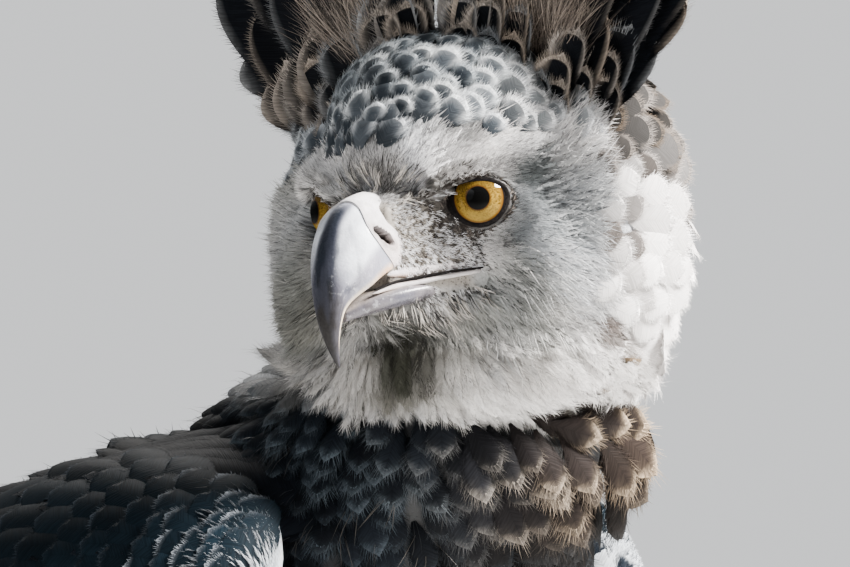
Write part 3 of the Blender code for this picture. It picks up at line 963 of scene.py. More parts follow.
@dataclass(frozen=True)
class LidFinish(Finish):
    """Moist black skin of the eyelids and the mouth's line."""

    colour: tuple[float, float, float] = (0.0035, 0.003, 0.003)

    def paint(self, build: Tree, shader: bpy.types.Node) -> None:
        """Nearly black with fine creases.

        Args:
            build: the material's tree.
            shader: its Principled surface.
        """
        creases = build.noise(build.place(), 1400.0, 3.0, 0.6)
        tone = build.ramp(creases, 0.35, 0.7)
        lighter = tuple(3.0 * part for part in self.colour)
        build.feed(shader.inputs["Base Color"], build.blend(tone, self.colour, lighter))
        build.feed(shader.inputs["Roughness"], 0.62)
        build.feed(shader.inputs["Specular IOR Level"], 0.04)
        build.feed(shader.inputs["Normal"], build.bump(creases, 0.5, 0.0003))


@dataclass(frozen=True)
class FloorFinish(Finish):
    """A plain pale floor."""

    def paint(self, build: Tree, shader: bpy.types.Node) -> None:
        """Matt, with the slightest unevenness.

        Args:
            build: the material's tree.
            shader: its Principled surface.
        """
        soft = build.noise(build.place(), 1.5, 2.0, 0.5)
        colour = build.blend(build.ramp(soft, 0.3, 0.7), (0.84, 0.84, 0.83), (0.87, 0.87, 0.86))
        build.feed(shader.inputs["Base Color"], colour)
        build.feed(shader.inputs["Roughness"], 0.8)


# ---------------------------------------------------------------- markings


class Tone:
    """The bird's colours, as linear light."""

    WHITE = rgb(236, 233, 232)
    CREAM = rgb(222, 215, 206)
    PALE = rgb(196, 199, 205)
    BLUE_GREY = rgb(132, 142, 153)
    GREY = rgb(104, 109, 115)
    OLIVE = rgb(112, 106, 92)
    UMBER = rgb(84, 68, 58)
    SLATE = rgb(30, 37, 44)
    BLACK = rgb(11, 13, 17)
    SOOT = rgb(26, 27, 30)
    LEG = rgb(196, 160, 62)
    LORE = rgb(128, 122, 114)


@dataclass
class Markings:
    """Which colour the plumage and the skin under it have at any place."""

    head: HeadFrame
    collar_top: float = -60.0  # mm under the eyes, where the pale head ends in front
    chest_end: float = 0.365  # height at which the dark breast turns white
    blotches: tuple = (  # brown marks on the ruff: middle in head mm, and reach
        ((-40.0, 68.0, -13.0), 4.5), ((-52.0, 70.0, -20.0), 5.5), ((-27.0, 60.0, -42.0), 7.0),
        ((-58.0, 66.0, 8.0), 6.0), ((-36.0, -60.0, -30.0), 6.0), ((-20.0, 46.0, -55.0), 6.0),
    )

    patches_and_painted_shade: tuple = (  # darker patches: middle in head mm, reach, tone, share
        ((-11.0, 49.0, 8.0), 12.5, (15, 18, 18), 0.99), ((-12.0, 50.0, -8.0), 22.0, (112, 118, 120), 0.75),
        ((3.0, 27.0, 26.0), 10.5, (84, 86, 86), 0.85),
        ((-2.0, 40.0, -32.0), 17.0, (112, 114, 106), 0.65),
        # (14, 6, -48) and (12, -4, -58) below: the throat's own olive, and painted shadow of the bill over it
        ((5.0, 24.0, -42.0), 13.0, (104, 102, 90), 0.7), ((14.0, 6.0, -48.0), 18.0, (26, 26, 18), 0.97),
        ((12.0, -4.0, -58.0), 11.0, (60, 60, 48), 0.75), ((8.0, 15.0, -64.0), 12.0, (128, 126, 114), 0.5),
        # (0, -45, -30) and (-20, -58, 16) below: painted shade on the bird's right side, away from the key
        # lamp
        ((-4.0, 46.0, -50.0), 12.0, (132, 132, 126), 0.6), ((0.0, -45.0, -30.0), 24.0, (84, 86, 74), 0.7),
        ((-20.0, -58.0, 16.0), 20.0, (92, 96, 86), 0.7), ((12.0, -16.0, -72.0), 12.0, (92, 96, 82), 0.5),
        ((10.0, 5.0, 6.0), 9.0, (120, 118, 112), 0.6),
        # (11.5, 25, 5) below: painted shade under the inner end of the brow
        ((11.5, 25.0, 5.0), 7.0, (52, 48, 42), 0.92), ((18.0, 19.0, -6.0), 13.0, (112, 108, 100), 0.6),
    )

    def pale_head(self, points: Array) -> Array:
        """How far a place belongs to the pale head, 0 to 1.

        Args:
            points: rows of positions, in the model's metres.

        Returns:
            A share for each place.
        """
        f, l, u = self.head.inn(points).T
        low = self.collar_top + 30.0 * smooth(-60, -100, f) + 10.0 * smooth(-12, -48, l)
        low = low - 5.0 * smooth(5, 26, l) * smooth(48, 30, l)
        low = low + 2.0 * smooth(30, 52, l) * smooth(-20, -40, f)
        near = smooth(135, 110, np.sqrt((f + 42) ** 2 + l**2 + u**2))
        return smooth(low - 8, low + 2, u) * near

    def on_head(self, places: Array) -> Array:
        """Colour of the fine head plumage, with painted shade on the bird's right side and under the bill.

        Args:
            places: head millimetres, one row each.

        Returns:
            Rows of linear light.
        """
        f, l, u = places.T
        a = np.abs(l)
        cloud = Noise.cloud(places, 17.0, 5)
        fine = Noise.cloud(places, 6.0, 9)
        colour = mix(rows_of(Tone.PALE, len(places)), Tone.WHITE, smooth(0.35, 0.75, cloud))
        brow = smooth(2, 8, u) * smooth(30, 20, u) * smooth(-42, -20, f) * smooth(8, 22, a)
        colour = mix(colour, Tone.WHITE, 0.8 * brow)
        middle = smooth(14, 4, a) * smooth(-5, 4, u)
        colour = mix(colour, Tone.GREY, 0.35 * middle)
        temple = smooth(-4, -16, f) * smooth(-26, -12, f) * smooth(-34, -14, u) * smooth(24, 8, u)
        colour = mix(colour, Tone.BLUE_GREY, 0.70 * temple * (0.6 + 0.4 * cloud))
        behind_brow = smooth(-24, -34, f) * smooth(-62, -48, f) * smooth(6, 18, u) * smooth(44, 30, u)
        colour = mix(colour, Tone.GREY, 0.7 * behind_brow)
        under_gape = bump(u, -40, 12) * smooth(-14, -2, -np.abs(f + 20) + 16) * smooth(6, 18, a)
        colour = mix(colour, Tone.OLIVE, 0.4 * under_gape * (0.4 + fine))
        throat = smooth(26, 10, a) * smooth(-66, -50, u) * smooth(-30, -36, u) * smooth(-40, -20, f)
        colour = mix(colour, Tone.OLIVE, 0.75 * throat * (0.6 + 0.4 * fine))
        # painted shade: the bird's right cheek, turned away from the key lamp, is darkened
        shaded_far_cheek = smooth(-6, -26, l) * smooth(-48, -30, f) * smooth(16, 4, u)
        colour = mix(colour, rgb(128, 126, 116), 0.55 * shaded_far_cheek * (0.5 + 0.5 * fine))
        for middle, reach, tone, share in self.patches_and_painted_shade:
            far = np.linalg.norm(places - np.array(middle), axis=1)
            edge = smooth(reach * 1.25, reach * 0.35, far + 6.0 * (fine - 0.5))
            colour = mix(colour, rgb(*tone), share * edge)
        for middle, reach in self.blotches:
            far = np.linalg.norm((places - np.array(middle)) * [0.6, 1.0, 1.0], axis=1)
            edge = smooth(reach * 1.2, reach * 0.6, far + 3.0 * (fine - 0.5))
            colour = mix(colour, Tone.UMBER, 0.85 * edge)
        nape = smooth(-70, -92, f)
        return mix(colour, Tone.GREY, 0.6 * nape)

    def at(self, points: Array) -> Array:
        """Colour of coat and skin anywhere on the bird, in the model's metres.

        Args:
            points: rows of positions, in the model's metres.

        Returns:
            Rows of linear light.
        """
        y, z = points[:, 1], points[:, 2]
        dark = mix(rows_of(Tone.BLACK, len(points)), Tone.SLATE, 0.5 * Noise.cloud(points, 0.02, 3))
        edge = self.chest_end + 0.012 * (Noise.value(points, 0.012, 21) - 0.5)
        below = smooth(edge + 0.008, edge - 0.008, z + 0.25 * np.maximum(0, y))
        colour = mix(dark, Tone.WHITE, below)
        bars = smooth(0.25, 0.6, np.sin(z / 0.0021 + 2.5 * Noise.value(points, 0.01, 33)))
        thigh = smooth(0.315, 0.29, z)
        colour = mix(colour, Tone.SOOT, 0.75 * bars * thigh)
        colour = mix(colour, Tone.LEG, smooth(0.185, 0.165, z))
        return mix(colour, self.on_head(self.head.inn(points)), self.pale_head(points))


# ---------------------------------------------------------------- the skin


@dataclass
class Spots:
    """Places on the skin: where, which way out, where on the unwrap, how deep, and on which triangle."""

    points: Array
    normals: Array
    unwrap: Array
    depth: Array
    which: Array

    def __len__(self) -> int:
        """How many places there are."""
        return len(self.points)

    def pick(self, chosen: Array) -> "Spots":
        """Only the chosen places."""
        parts = (self.points, self.normals, self.unwrap, self.depth, self.which)
        return Spots(*(part[chosen] for part in parts))


@dataclass(frozen=True)
class EyeOpening:
    """The outline between a bird's lids, as a distance from the eye's axis in each direction."""

    radius: float = 12.5  # of the eyeball, mm
    iris: float = 8.2
    splay: float = math.radians(31.0)
    gape: float = 8.75  # the opening's usual reach, mm
    front_corner: float = 2.1
    rear_corner: float = 0.7
    brow_cut: float = 2.8

    def reach(self, turn: Array) -> Array:
        """Reach of the opening, in mm; turn is 0 towards the rear and a quarter towards the brow.

        Args:
            turn: angles round the axis.

        Returns:
            A reach for each angle.
        """
        front = np.maximum(0, -np.cos(turn + 0.12)) ** 7
        rear = np.maximum(0, np.cos(turn - 0.1)) ** 8
        top = np.maximum(0, np.sin(turn)) ** 2
        return self.gape + self.front_corner * front + self.rear_corner * rear - self.brow_cut * top


@dataclass
class Orbit:
    """One eye's own frame: its middle and the directions to the rear, up and out along its axis."""

    head: HeadFrame
    side: Side
    opening: EyeOpening
    brow_path: tuple = (
        (13.5, 17.0, 0.6), (9.8, 24.0, 4.0), (5.4, 30.8, 6.9),
        (-1.6, 37.2, 8.5), (-10.0, 42.4, 8.0), (-18.0, 46.0, 5.0),
    )
    middle: Array = field(init=False)  # head mm
    axes: Array = field(init=False)  # columns: rear, up, out

    def __post_init__(self) -> None:
        """Places the orbit on the CAD eyeball."""
        low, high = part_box(f"eye_{self.side.label}")
        self.middle = self.head.inn(np.array([(low + high) / 2]))[0]
        out = np.array([math.cos(self.opening.splay), self.side.value * math.sin(self.opening.splay), 0.0])
        rear = np.array([-math.sin(self.opening.splay), self.side.value * math.cos(self.opening.splay), 0.0])
        self.axes = np.stack([rear, np.array(UP), out], axis=1)

    def brow(self, count: int) -> Array:
        """The ridge over the eye, from the bill to behind the eye, as a line of points."""
        return curve_through(self.brow_path, count) * [1, self.side.value, 1]

    def polar(self, places: Array) -> tuple[Array, Array, Array]:
        """Distance from the eyeball's middle, arc reach from its axis in mm, and turn round the axis.

        Args:
            places: rows of head millimetres.

        Returns:
            The three numbers for each place.
        """
        local = (places - self.middle) @ self.axes
        far = np.linalg.norm(local, axis=1)
        angle = np.arccos(np.clip(local[:, 2] / np.maximum(far, 1e-9), -1, 1))
        return far, angle, np.arctan2(local[:, 1], local[:, 0])

    def place(self, far: Array, angle: Array, turn: Array) -> Array:
        """Head millimetres from the orbit's polar numbers.

        Args:
            far: millimetres from the ball's middle.
            angle: angles from the eye's axis.
            turn: angles round the eye's axis.

        Returns:
            Rows of head millimetres.
        """
        way = [np.sin(angle) * np.cos(turn), np.sin(angle) * np.sin(turn), np.cos(angle)]
        local = np.stack(way, axis=-1) * np.asarray(far)[..., None]
        return self.middle + local @ self.axes.T

    def opening_angle(self, turn: Array) -> Array:
        """The opening's edge as an angle from the axis."""
        return np.arcsin(np.clip(self.opening.reach(turn) / self.opening.radius, 0, 0.97))

    def beyond(self, angle: Array, turn: Array) -> Array:
        """How far over the ball a place lies outside the opening's edge, in mm."""
        return (angle - self.opening_angle(turn)) * self.opening.radius


@dataclass
class Skin:
    """The one skin over head, neck, trunk, wing arms and legs, under the plumage."""

    head: HeadFrame
    marks: Markings
    nodes: dict[str, bpy.types.Object]
    orbits: tuple[Orbit, Orbit]
    voxel: float = 0.0026
    swell: float = 0.0015  # the copies overlap by this before they grow together
    wing_cut: float = 0.02  # y behind which a wing has no flesh
    depths: dict[str, float] = field(
        default_factory=lambda: {
            "head": 4.0, "neck": 8.0, "trunk": 9.0, "wing": 7.0, "thigh": 8.0, "tarsus": 0.4, "foot": 0.3,
        }
    )
    stands_for: tuple[str, ...] = (
        "head", "neck", "trunk", "thigh_left", "thigh_right",
        "tarsus_left", "tarsus_right", "foot_left", "foot_right",
    )
    fillings: tuple = (  # head mm: forward, left, up of a lump's middle, and its reach each way
        ((-42.0, 0.0, 0.0), (54.0, 55.0, 56.0)),
        ((-5.0, 0.0, 11.0), (22.0, 23.0, 22.0)),
        ((4.0, 0.0, -11.0), (20.0, 16.0, 18.0)),
        ((2.0, 0.0, -38.0), (27.0, 17.0, 11.5)),
        ((-30.0, 32.0, -30.0), (36.0, 36.0, 36.0)),
        ((-30.0, -32.0, -30.0), (36.0, 36.0, 36.0)),
    )
    muzzle_axis: float = -20.0  # head mm forward: the upright axis from which the muzzle's reach counts
    muzzle: tuple = (  # degrees from straight ahead, reach in mm
        (0, 45.0), (10, 45.0), (15, 44.6), (18.4, 41.6), (25.2, 37.2), (35.5, 34.0), (45.6, 34.0),
        (57.2, 37.2), (67.0, 43.0), (75.0, 49.5), (82.0, 55.0), (92.0, 61.0),
    )
    object: bpy.types.Object = field(init=False)

    def build(self) -> bpy.types.Object:
        """Grows the copies together, sinks the surface under the coat and shapes the face.

        Returns:
            The skin.
        """
        self.object = self._grown_together()
        self._refine(np.array([6.0, 0.0, -8.0]), 50.0)
        for orbit in self.orbits:
            self._refine(orbit.middle + orbit.axes[:, 2] * 8.0, 17.0)
        self._sink()
        self._shape_face()
        self._unwrap()
        self._mark()
        self._index()
        return self.object

    def _copy(self, name: str) -> bpy.types.Object:
        """A merged and slightly swollen copy of a CAD node.

        Args:
            name: of the CAD node.

        Returns:
            The copy.
        """
        copy = bpy.data.objects.new(f"flesh_{name}", self.nodes[name].data.copy())
        bpy.context.scene.collection.objects.link(copy)
        with editing(copy):
            bpy.ops.mesh.remove_doubles(threshold=MERGE)
            if name.startswith("wing"):
                plane = {"plane_co": (0, self.wing_cut, 0), "plane_no": (0, 1, 0)}
                bpy.ops.mesh.bisect(**plane, use_fill=True, clear_outer=True)
                bpy.ops.mesh.select_all(action="SELECT")
            bpy.ops.mesh.normals_make_consistent(inside=False)
        move_vertices(copy.data, coordinates(copy.data) + vertex_normals(copy.data) * self.swell)
        return copy

    def _filling(self, middle: tuple, reach: tuple) -> bpy.types.Object:
        """A lump of flesh that closes the sockets of bill and eyes from within.

        Args:
            middle: of the lump, in head millimetres.
            reach: millimetres each way.

        Returns:
            The lump.
        """
        bpy.ops.object.select_all(action="DESELECT")
        bpy.ops.mesh.primitive_uv_sphere_add(segments=48, ring_count=32, radius=1.0)
        lump = bpy.context.view_layer.objects.active
        for layer in list(lump.data.uv_layers):
            lump.data.uv_layers.remove(layer)
        places = coordinates(lump.data) * (np.array(reach) + (self.swell / MM - 0.7)) + np.array(middle)
        move_vertices(lump.data, self.head.out(places))
        return lump

    def _grown_together(self) -> bpy.types.Object:
        """One closed surface round all the flesh.

        Returns:
            The skin, before it is sunk.
        """
        copies = [self._copy(name) for name in (*self.stands_for, "wing_left", "wing_right")]
        copies += [self._filling(middle, reach) for middle, reach in self.fillings]
        select_only(copies[0])
        for copy in copies:
            copy.select_set(True)
        bpy.ops.object.join()
        skin = bpy.context.view_layer.objects.active
        skin.name = skin.data.name = "skin"
        skin.data.remesh_voxel_size = self.voxel
        bpy.ops.object.voxel_remesh()
        relax = skin.modifiers.new("relax", "SMOOTH")
        relax.factor, relax.iterations = 0.5, 7
        bpy.ops.object.modifier_apply(modifier=relax.name)
        return skin

    def _refine(self, middle: Array, reach: float) -> None:
        """Cuts the faces round a place on the head into quarters.

        Args:
            middle: in head millimetres.
            reach: millimetres round it.
        """
        mesh = self.object.data
        far = np.linalg.norm(self.head.inn(coordinates(mesh)) - middle, axis=1)
        select_only(self.object)
        bpy.ops.object.mode_set(mode="EDIT")
        bpy.ops.mesh.select_all(action="DESELECT")
        bpy.ops.mesh.select_mode(type="VERT")
        bpy.ops.object.mode_set(mode="OBJECT")
        mesh.vertices.foreach_set("select", far < reach)
        bpy.ops.object.mode_set(mode="EDIT")
        bpy.ops.mesh.select_mode(type="FACE")
        bpy.ops.mesh.subdivide(number_cuts=1, smoothness=0.6)
        bpy.ops.object.mode_set(mode="OBJECT")

    def _depth_at(self, points: Array) -> Array:
        """How deep the skin lies under the coat's surface, in mm.

        Args:
            points: rows of positions, in the model's metres.

        Returns:
            A depth for each position.
        """
        labels, names, corners, triangles = [], [], [], []
        for name in (*self.stands_for, "wing_left", "wing_right"):
            mesh = self.nodes[name].data
            mesh.calc_loop_triangles()
            flat = np.empty(len(mesh.loop_triangles) * 3, np.int32)
            mesh.loop_triangles.foreach_get("vertices", flat)
            triangles.append(flat.reshape(-1, 3) + sum(len(c) for c in corners))
            corners.append(coordinates(mesh))
            labels += [self.depths[name.split("_")[0]]] * len(triangles[-1])
            names += [name.split("_")[0]] * len(triangles[-1])
        tree = BVHTree.FromPolygons(np.concatenate(corners).tolist(), np.concatenate(triangles).tolist())
        nearest = [tree.find_nearest(p)[2] for p in points.tolist()]
        found = np.array([labels[i] for i in nearest])
        self.vertex_node = np.array([names[i] for i in nearest])
        f, l, u = self.head.inn(points).T
        to_bill = np.sqrt((f - 8) ** 2 + (0.8 * l) ** 2 + (u + 8) ** 2)
        on_head = found == self.depths["head"]
        face = 1.0 + 3.0 * smooth(24, 52, to_bill)
        face = face + 3.5 * smooth(30, 48, np.abs(l)) * smooth(-22, -42, f)
        face = face + 4.0 * smooth(-34, -50, u)
        return np.where(on_head, face, found)

    def _sink(self) -> None:
        """Moves the surface inwards by the coat's depth."""
        mesh = self.object.data
        points, pairs = coordinates(mesh), edge_pairs(mesh)
        self.vertex_depth = spread_over(self._depth_at(points), pairs, 6)
        normals = spread_over(vertex_normals(mesh), pairs, 3)
        points = points - unit(normals) * (self.vertex_depth[:, None] * MM + self.swell)
        points[:, 2] = np.maximum(points[:, 2], FLOOR_GAP)
        move_vertices(mesh, points)

    def _shape_face(self) -> None:
        """Fits the skin round the eyeballs, under the lids."""
        mesh = self.object.data
        places = self._shape_muzzle(self.head.inn(coordinates(mesh)))
        for orbit in self.orbits:
            ball = orbit.opening.radius
            far, angle, turn = orbit.polar(places)
            beyond = orbit.beyond(angle, turn)
            near = (far < ball + 9) & (angle < 1.9)
            inside = near & (beyond < 0.4)
            ring = near & ~inside
            share = smooth(0.4, 7.0, beyond) + smooth(1.5, 1.9, angle)
            target = mix(np.full(len(far), ball + 0.55), np.maximum(far, ball + 0.3), np.clip(share, 0, 1))
            far = np.where(inside, ball - 1.6, np.where(ring, target, far))
            places = np.where(near[:, None], orbit.place(far, angle, turn), places)
            places = self._raise_brow(places, orbit, beyond)
        move_vertices(mesh, self.head.out(places))

    def _shape_muzzle(self, places: Array) -> Array:
        """Draws the sides of the muzzle in a smooth sweep from the bill to the cheeks.

        Args:
            places: rows of head millimetres.

        Returns:
            The places, moved.
        """
        f, l, u = places.T
        ahead = f - self.muzzle_axis
        turn = np.degrees(np.abs(np.arctan2(l, ahead)))
        degrees, reaches = np.array(self.muzzle).T
        target = np.interp(turn, degrees, reaches)
        target = target - 1.2 * bump(u, -11, 8) * bump(turn, 38, 18)
        target = target - 0.10 * np.maximum(0, -25 - u) ** 1.5
        share = smooth(5, -3, u) * smooth(-40, -30, u) * smooth(92, 66, turn) * (ahead > -5)
        reach = np.maximum(np.hypot(ahead, l), 1e-6)
        scale = 1 + (target / reach - 1) * share
        return np.stack([self.muzzle_axis + ahead * scale, l * scale, u], axis=1)

    def _raise_brow(self, places: Array, orbit: Orbit, beyond: Array) -> Array:
        """Draws the skin out to the ridge over the eye, steep below it and sloping above.

        Args:
            places: rows of head millimetres.
            orbit: the eye's own frame.
            beyond: millimetres outside the eye's opening.

        Returns:
            The places, moved.
        """
        line = orbit.brow(60)
        gap = np.linalg.norm(places[:, None, :] - line[None, ::3], axis=2).min(axis=1)
        close = np.flatnonzero(gap < 20)
        away = places[close][:, None, :] - line[None]
        far = np.linalg.norm(away, axis=2)
        nearest = far.argmin(axis=1)
        step = -away[np.arange(len(close)), nearest]
        reach = np.where(step[:, 2] > 0, 3.2, 9.5)
        share = np.exp(-((far.min(axis=1) / reach) ** 2)) * smooth(0.5, 3.0, beyond[close])
        share = share * np.interp(nearest, [0, 10, 45, 59], [0.0, 1.0, 1.0, 0.0])
        normals = self.head.turn_in(vertex_normals(self.object.data)[close])
        lift = np.clip(np.sum(step * normals, axis=1) + 0.6, 0, 12)
        places = places.copy()
        places[close] += normals * (lift * share)[:, None]
        return places

    def _unwrap(self) -> None:
        """Unfolds the skin by its own shape."""
        for layer in list(self.object.data.uv_layers):
            self.object.data.uv_layers.remove(layer)
        self.object.data.uv_layers.new(name=BAKE_MAP)
        with editing(self.object):
            bpy.ops.uv.smart_project(angle_limit=math.radians(72), island_margin=0.003)

    def _mark(self) -> None:
        """Stores the markings, and where the skin is bare."""
        mesh = self.object.data
        points = coordinates(mesh)
        f, l, u = self.head.inn(points).T
        leg = smooth(0.19, 0.17, points[:, 2])
        lore = smooth(-6, 2, f) * smooth(4, -2, u) * smooth(-33, -28, u) * smooth(33, 28, np.abs(l))
        colour = mix(self.marks.at(points) * 0.8, Tone.LORE, lore)
        for orbit in self.orbits:
            far, angle, turn = orbit.polar(self.head.inn(points))
            beyond = orbit.beyond(angle, turn)
            front = np.maximum(0, -np.cos(turn)) ** 2
            shadow = smooth(4.0 + 5.0 * front, 1.0, beyond) * (far < orbit.opening.radius + 7)
            colour = mix(colour, rgb(30, 26, 24), shadow)
        put_colours(mesh, "marking", colour)
        put_vectors(mesh, "zones", np.stack([leg, lore, np.zeros(len(leg))], axis=1))
        mesh.shade_smooth()

    def _index(self) -> None:
        """Prepares to find and draw places on the skin."""
        mesh = self.object.data
        mesh.calc_loop_triangles()
        count = len(mesh.loop_triangles)
        self.triangles = np.empty(count * 3, np.int32)
        mesh.loop_triangles.foreach_get("vertices", self.triangles)
        self.triangles = self.triangles.reshape(-1, 3)
        loops = np.empty(count * 3, np.int32)
        mesh.loop_triangles.foreach_get("loops", loops)
        unwrap = np.empty(len(mesh.loops) * 2, np.float32)
        mesh.uv_layers[BAKE_MAP].uv.foreach_get("vector", unwrap)
        self.corner_unwrap = unwrap.reshape(-1, 2).astype(float)[loops].reshape(-1, 3, 2)
        self.corners = coordinates(mesh)
        self.corner_normals = unit(spread_over(vertex_normals(mesh), edge_pairs(mesh), 4))
        a, b, c = (self.corners[self.triangles[:, k]] for k in range(3))
        self.areas = 0.5 * np.linalg.norm(np.cross(b - a, c - a), axis=1)
        self.tree = BVHTree.FromPolygons(self.corners.tolist(), self.triangles.tolist())

    def _spots(self, which: Array, weights: Array) -> Spots:
        """Places from triangle numbers and the weights of their corners.

        Args:
            which: numbers of triangles.
            weights: a row of three for each.

        Returns:
            The places.
        """
        corners = self.triangles[which]
        points = np.einsum("nk,nkc->nc", weights, self.corners[corners])
        normals = unit(np.einsum("nk,nkc->nc", weights, self.corner_normals[corners]))
        unwrap = np.einsum("nk,nkc->nc", weights, self.corner_unwrap[which])
        depth = np.einsum("nk,nk->n", weights, self.vertex_depth[corners]) * MM
        return Spots(points, normals, unwrap, depth, which)

    def nearest(self, points: Array) -> Spots:
        """The skin's closest places to some points.

        Args:
            points: rows of positions, in the model's metres.

        Returns:
            A place for each point.
        """
        hits = [self.tree.find_nearest(p) for p in points.tolist()]
        which = np.array([h[2] for h in hits])
        places = np.array([h[0] for h in hits])
        a, b, c = (self.corners[self.triangles[which, k]] for k in range(3))
        normal = np.cross(b - a, c - a)
        size = np.maximum(np.sum(normal * normal, axis=1), 1e-20)
        second = np.sum(np.cross(places - a, c - a) * normal, axis=1) / size
        third = np.sum(np.cross(b - a, places - a) * normal, axis=1) / size
        weights = np.clip(np.stack([1 - second - third, second, third], axis=1), 0, 1)
        return self._spots(which, weights / weights.sum(axis=1, keepdims=True))

    def sown(self, count: int, density: Array, rng: np.random.Generator) -> Spots:
        """Random places on the skin.

        Args:
            count: how many.
            density: how dense they lie at each vertex, 0 for none.
            rng: the source of chance.

        Returns:
            The places.
        """
        weight = self.areas * density[self.triangles].mean(axis=1)
        total = np.cumsum(weight)
        steps = (np.arange(count) + rng.random(count)) / count * total[-1]
        which = np.minimum(np.searchsorted(total, steps), len(total) - 1)
        root = np.sqrt(rng.random(count))
        second = rng.random(count)
        return self._spots(which, np.stack([1 - root, root * (1 - second), root * second], axis=1))

    def spaced(self, gap: Array, allowed: Array, rng: np.random.Generator, tries: float = 9.0) -> Spots:
        """Places that keep their distance from each other, as feather follicles do.

        Args:
            gap: the least distance at each vertex, in metres.
            allowed: 1 at the vertices where places may lie, 0 elsewhere.
            rng: the source of chance.
            tries: how many places are tried for each that fits.

        Returns:
            The places that are kept.
        """
        area = self.areas * allowed[self.triangles].mean(axis=1) / gap[self.triangles].mean(axis=1) ** 2
        count = int(area.sum() * tries)
        spots = self.sown(count, allowed / gap**2, rng)
        gaps = gap[self.triangles[spots.which]].mean(axis=1)
        order = rng.permutation(count)
        widest = gaps.max() if count else 1.0
        kept: list[int] = []
        cells: dict[tuple[int, int, int], list[int]] = {}
        keys = np.floor(spots.points / widest).astype(int)
        points = spots.points.tolist()
        around = [(a - 1, b - 1, c - 1) for a, b, c in np.ndindex(3, 3, 3)]
        for i in order.tolist():
            x, y, z = points[i]
            kx, ky, kz = keys[i].tolist()
            least = gaps[i] ** 2
            mates = (points[j] for a, b, c in around for j in cells.get((kx + a, ky + b, kz + c), ()))
            if all((x - ox) ** 2 + (y - oy) ** 2 + (z - oz) ** 2 >= least for ox, oy, oz in mates):
                cells.setdefault((kx, ky, kz), []).append(i)
                kept.append(i)
        return spots.pick(np.array(sorted(kept), int))


# ---------------------------------------------------------------- feathers


@dataclass
class Pattern:
    """One cut feather, flat: millimetres along, across and out of its plane, and how near its edge."""

    along: Array
    across: Array
    lift: Array
    edge: Array  # 1 on the outline, more on the free barbs
    strand: Array  # a number of 0 to 1 for each barb
    quads: Array
    threes: Array

    def triangles(self) -> int:
        """How many triangles it has."""
        return 2 * len(self.quads) + len(self.threes)


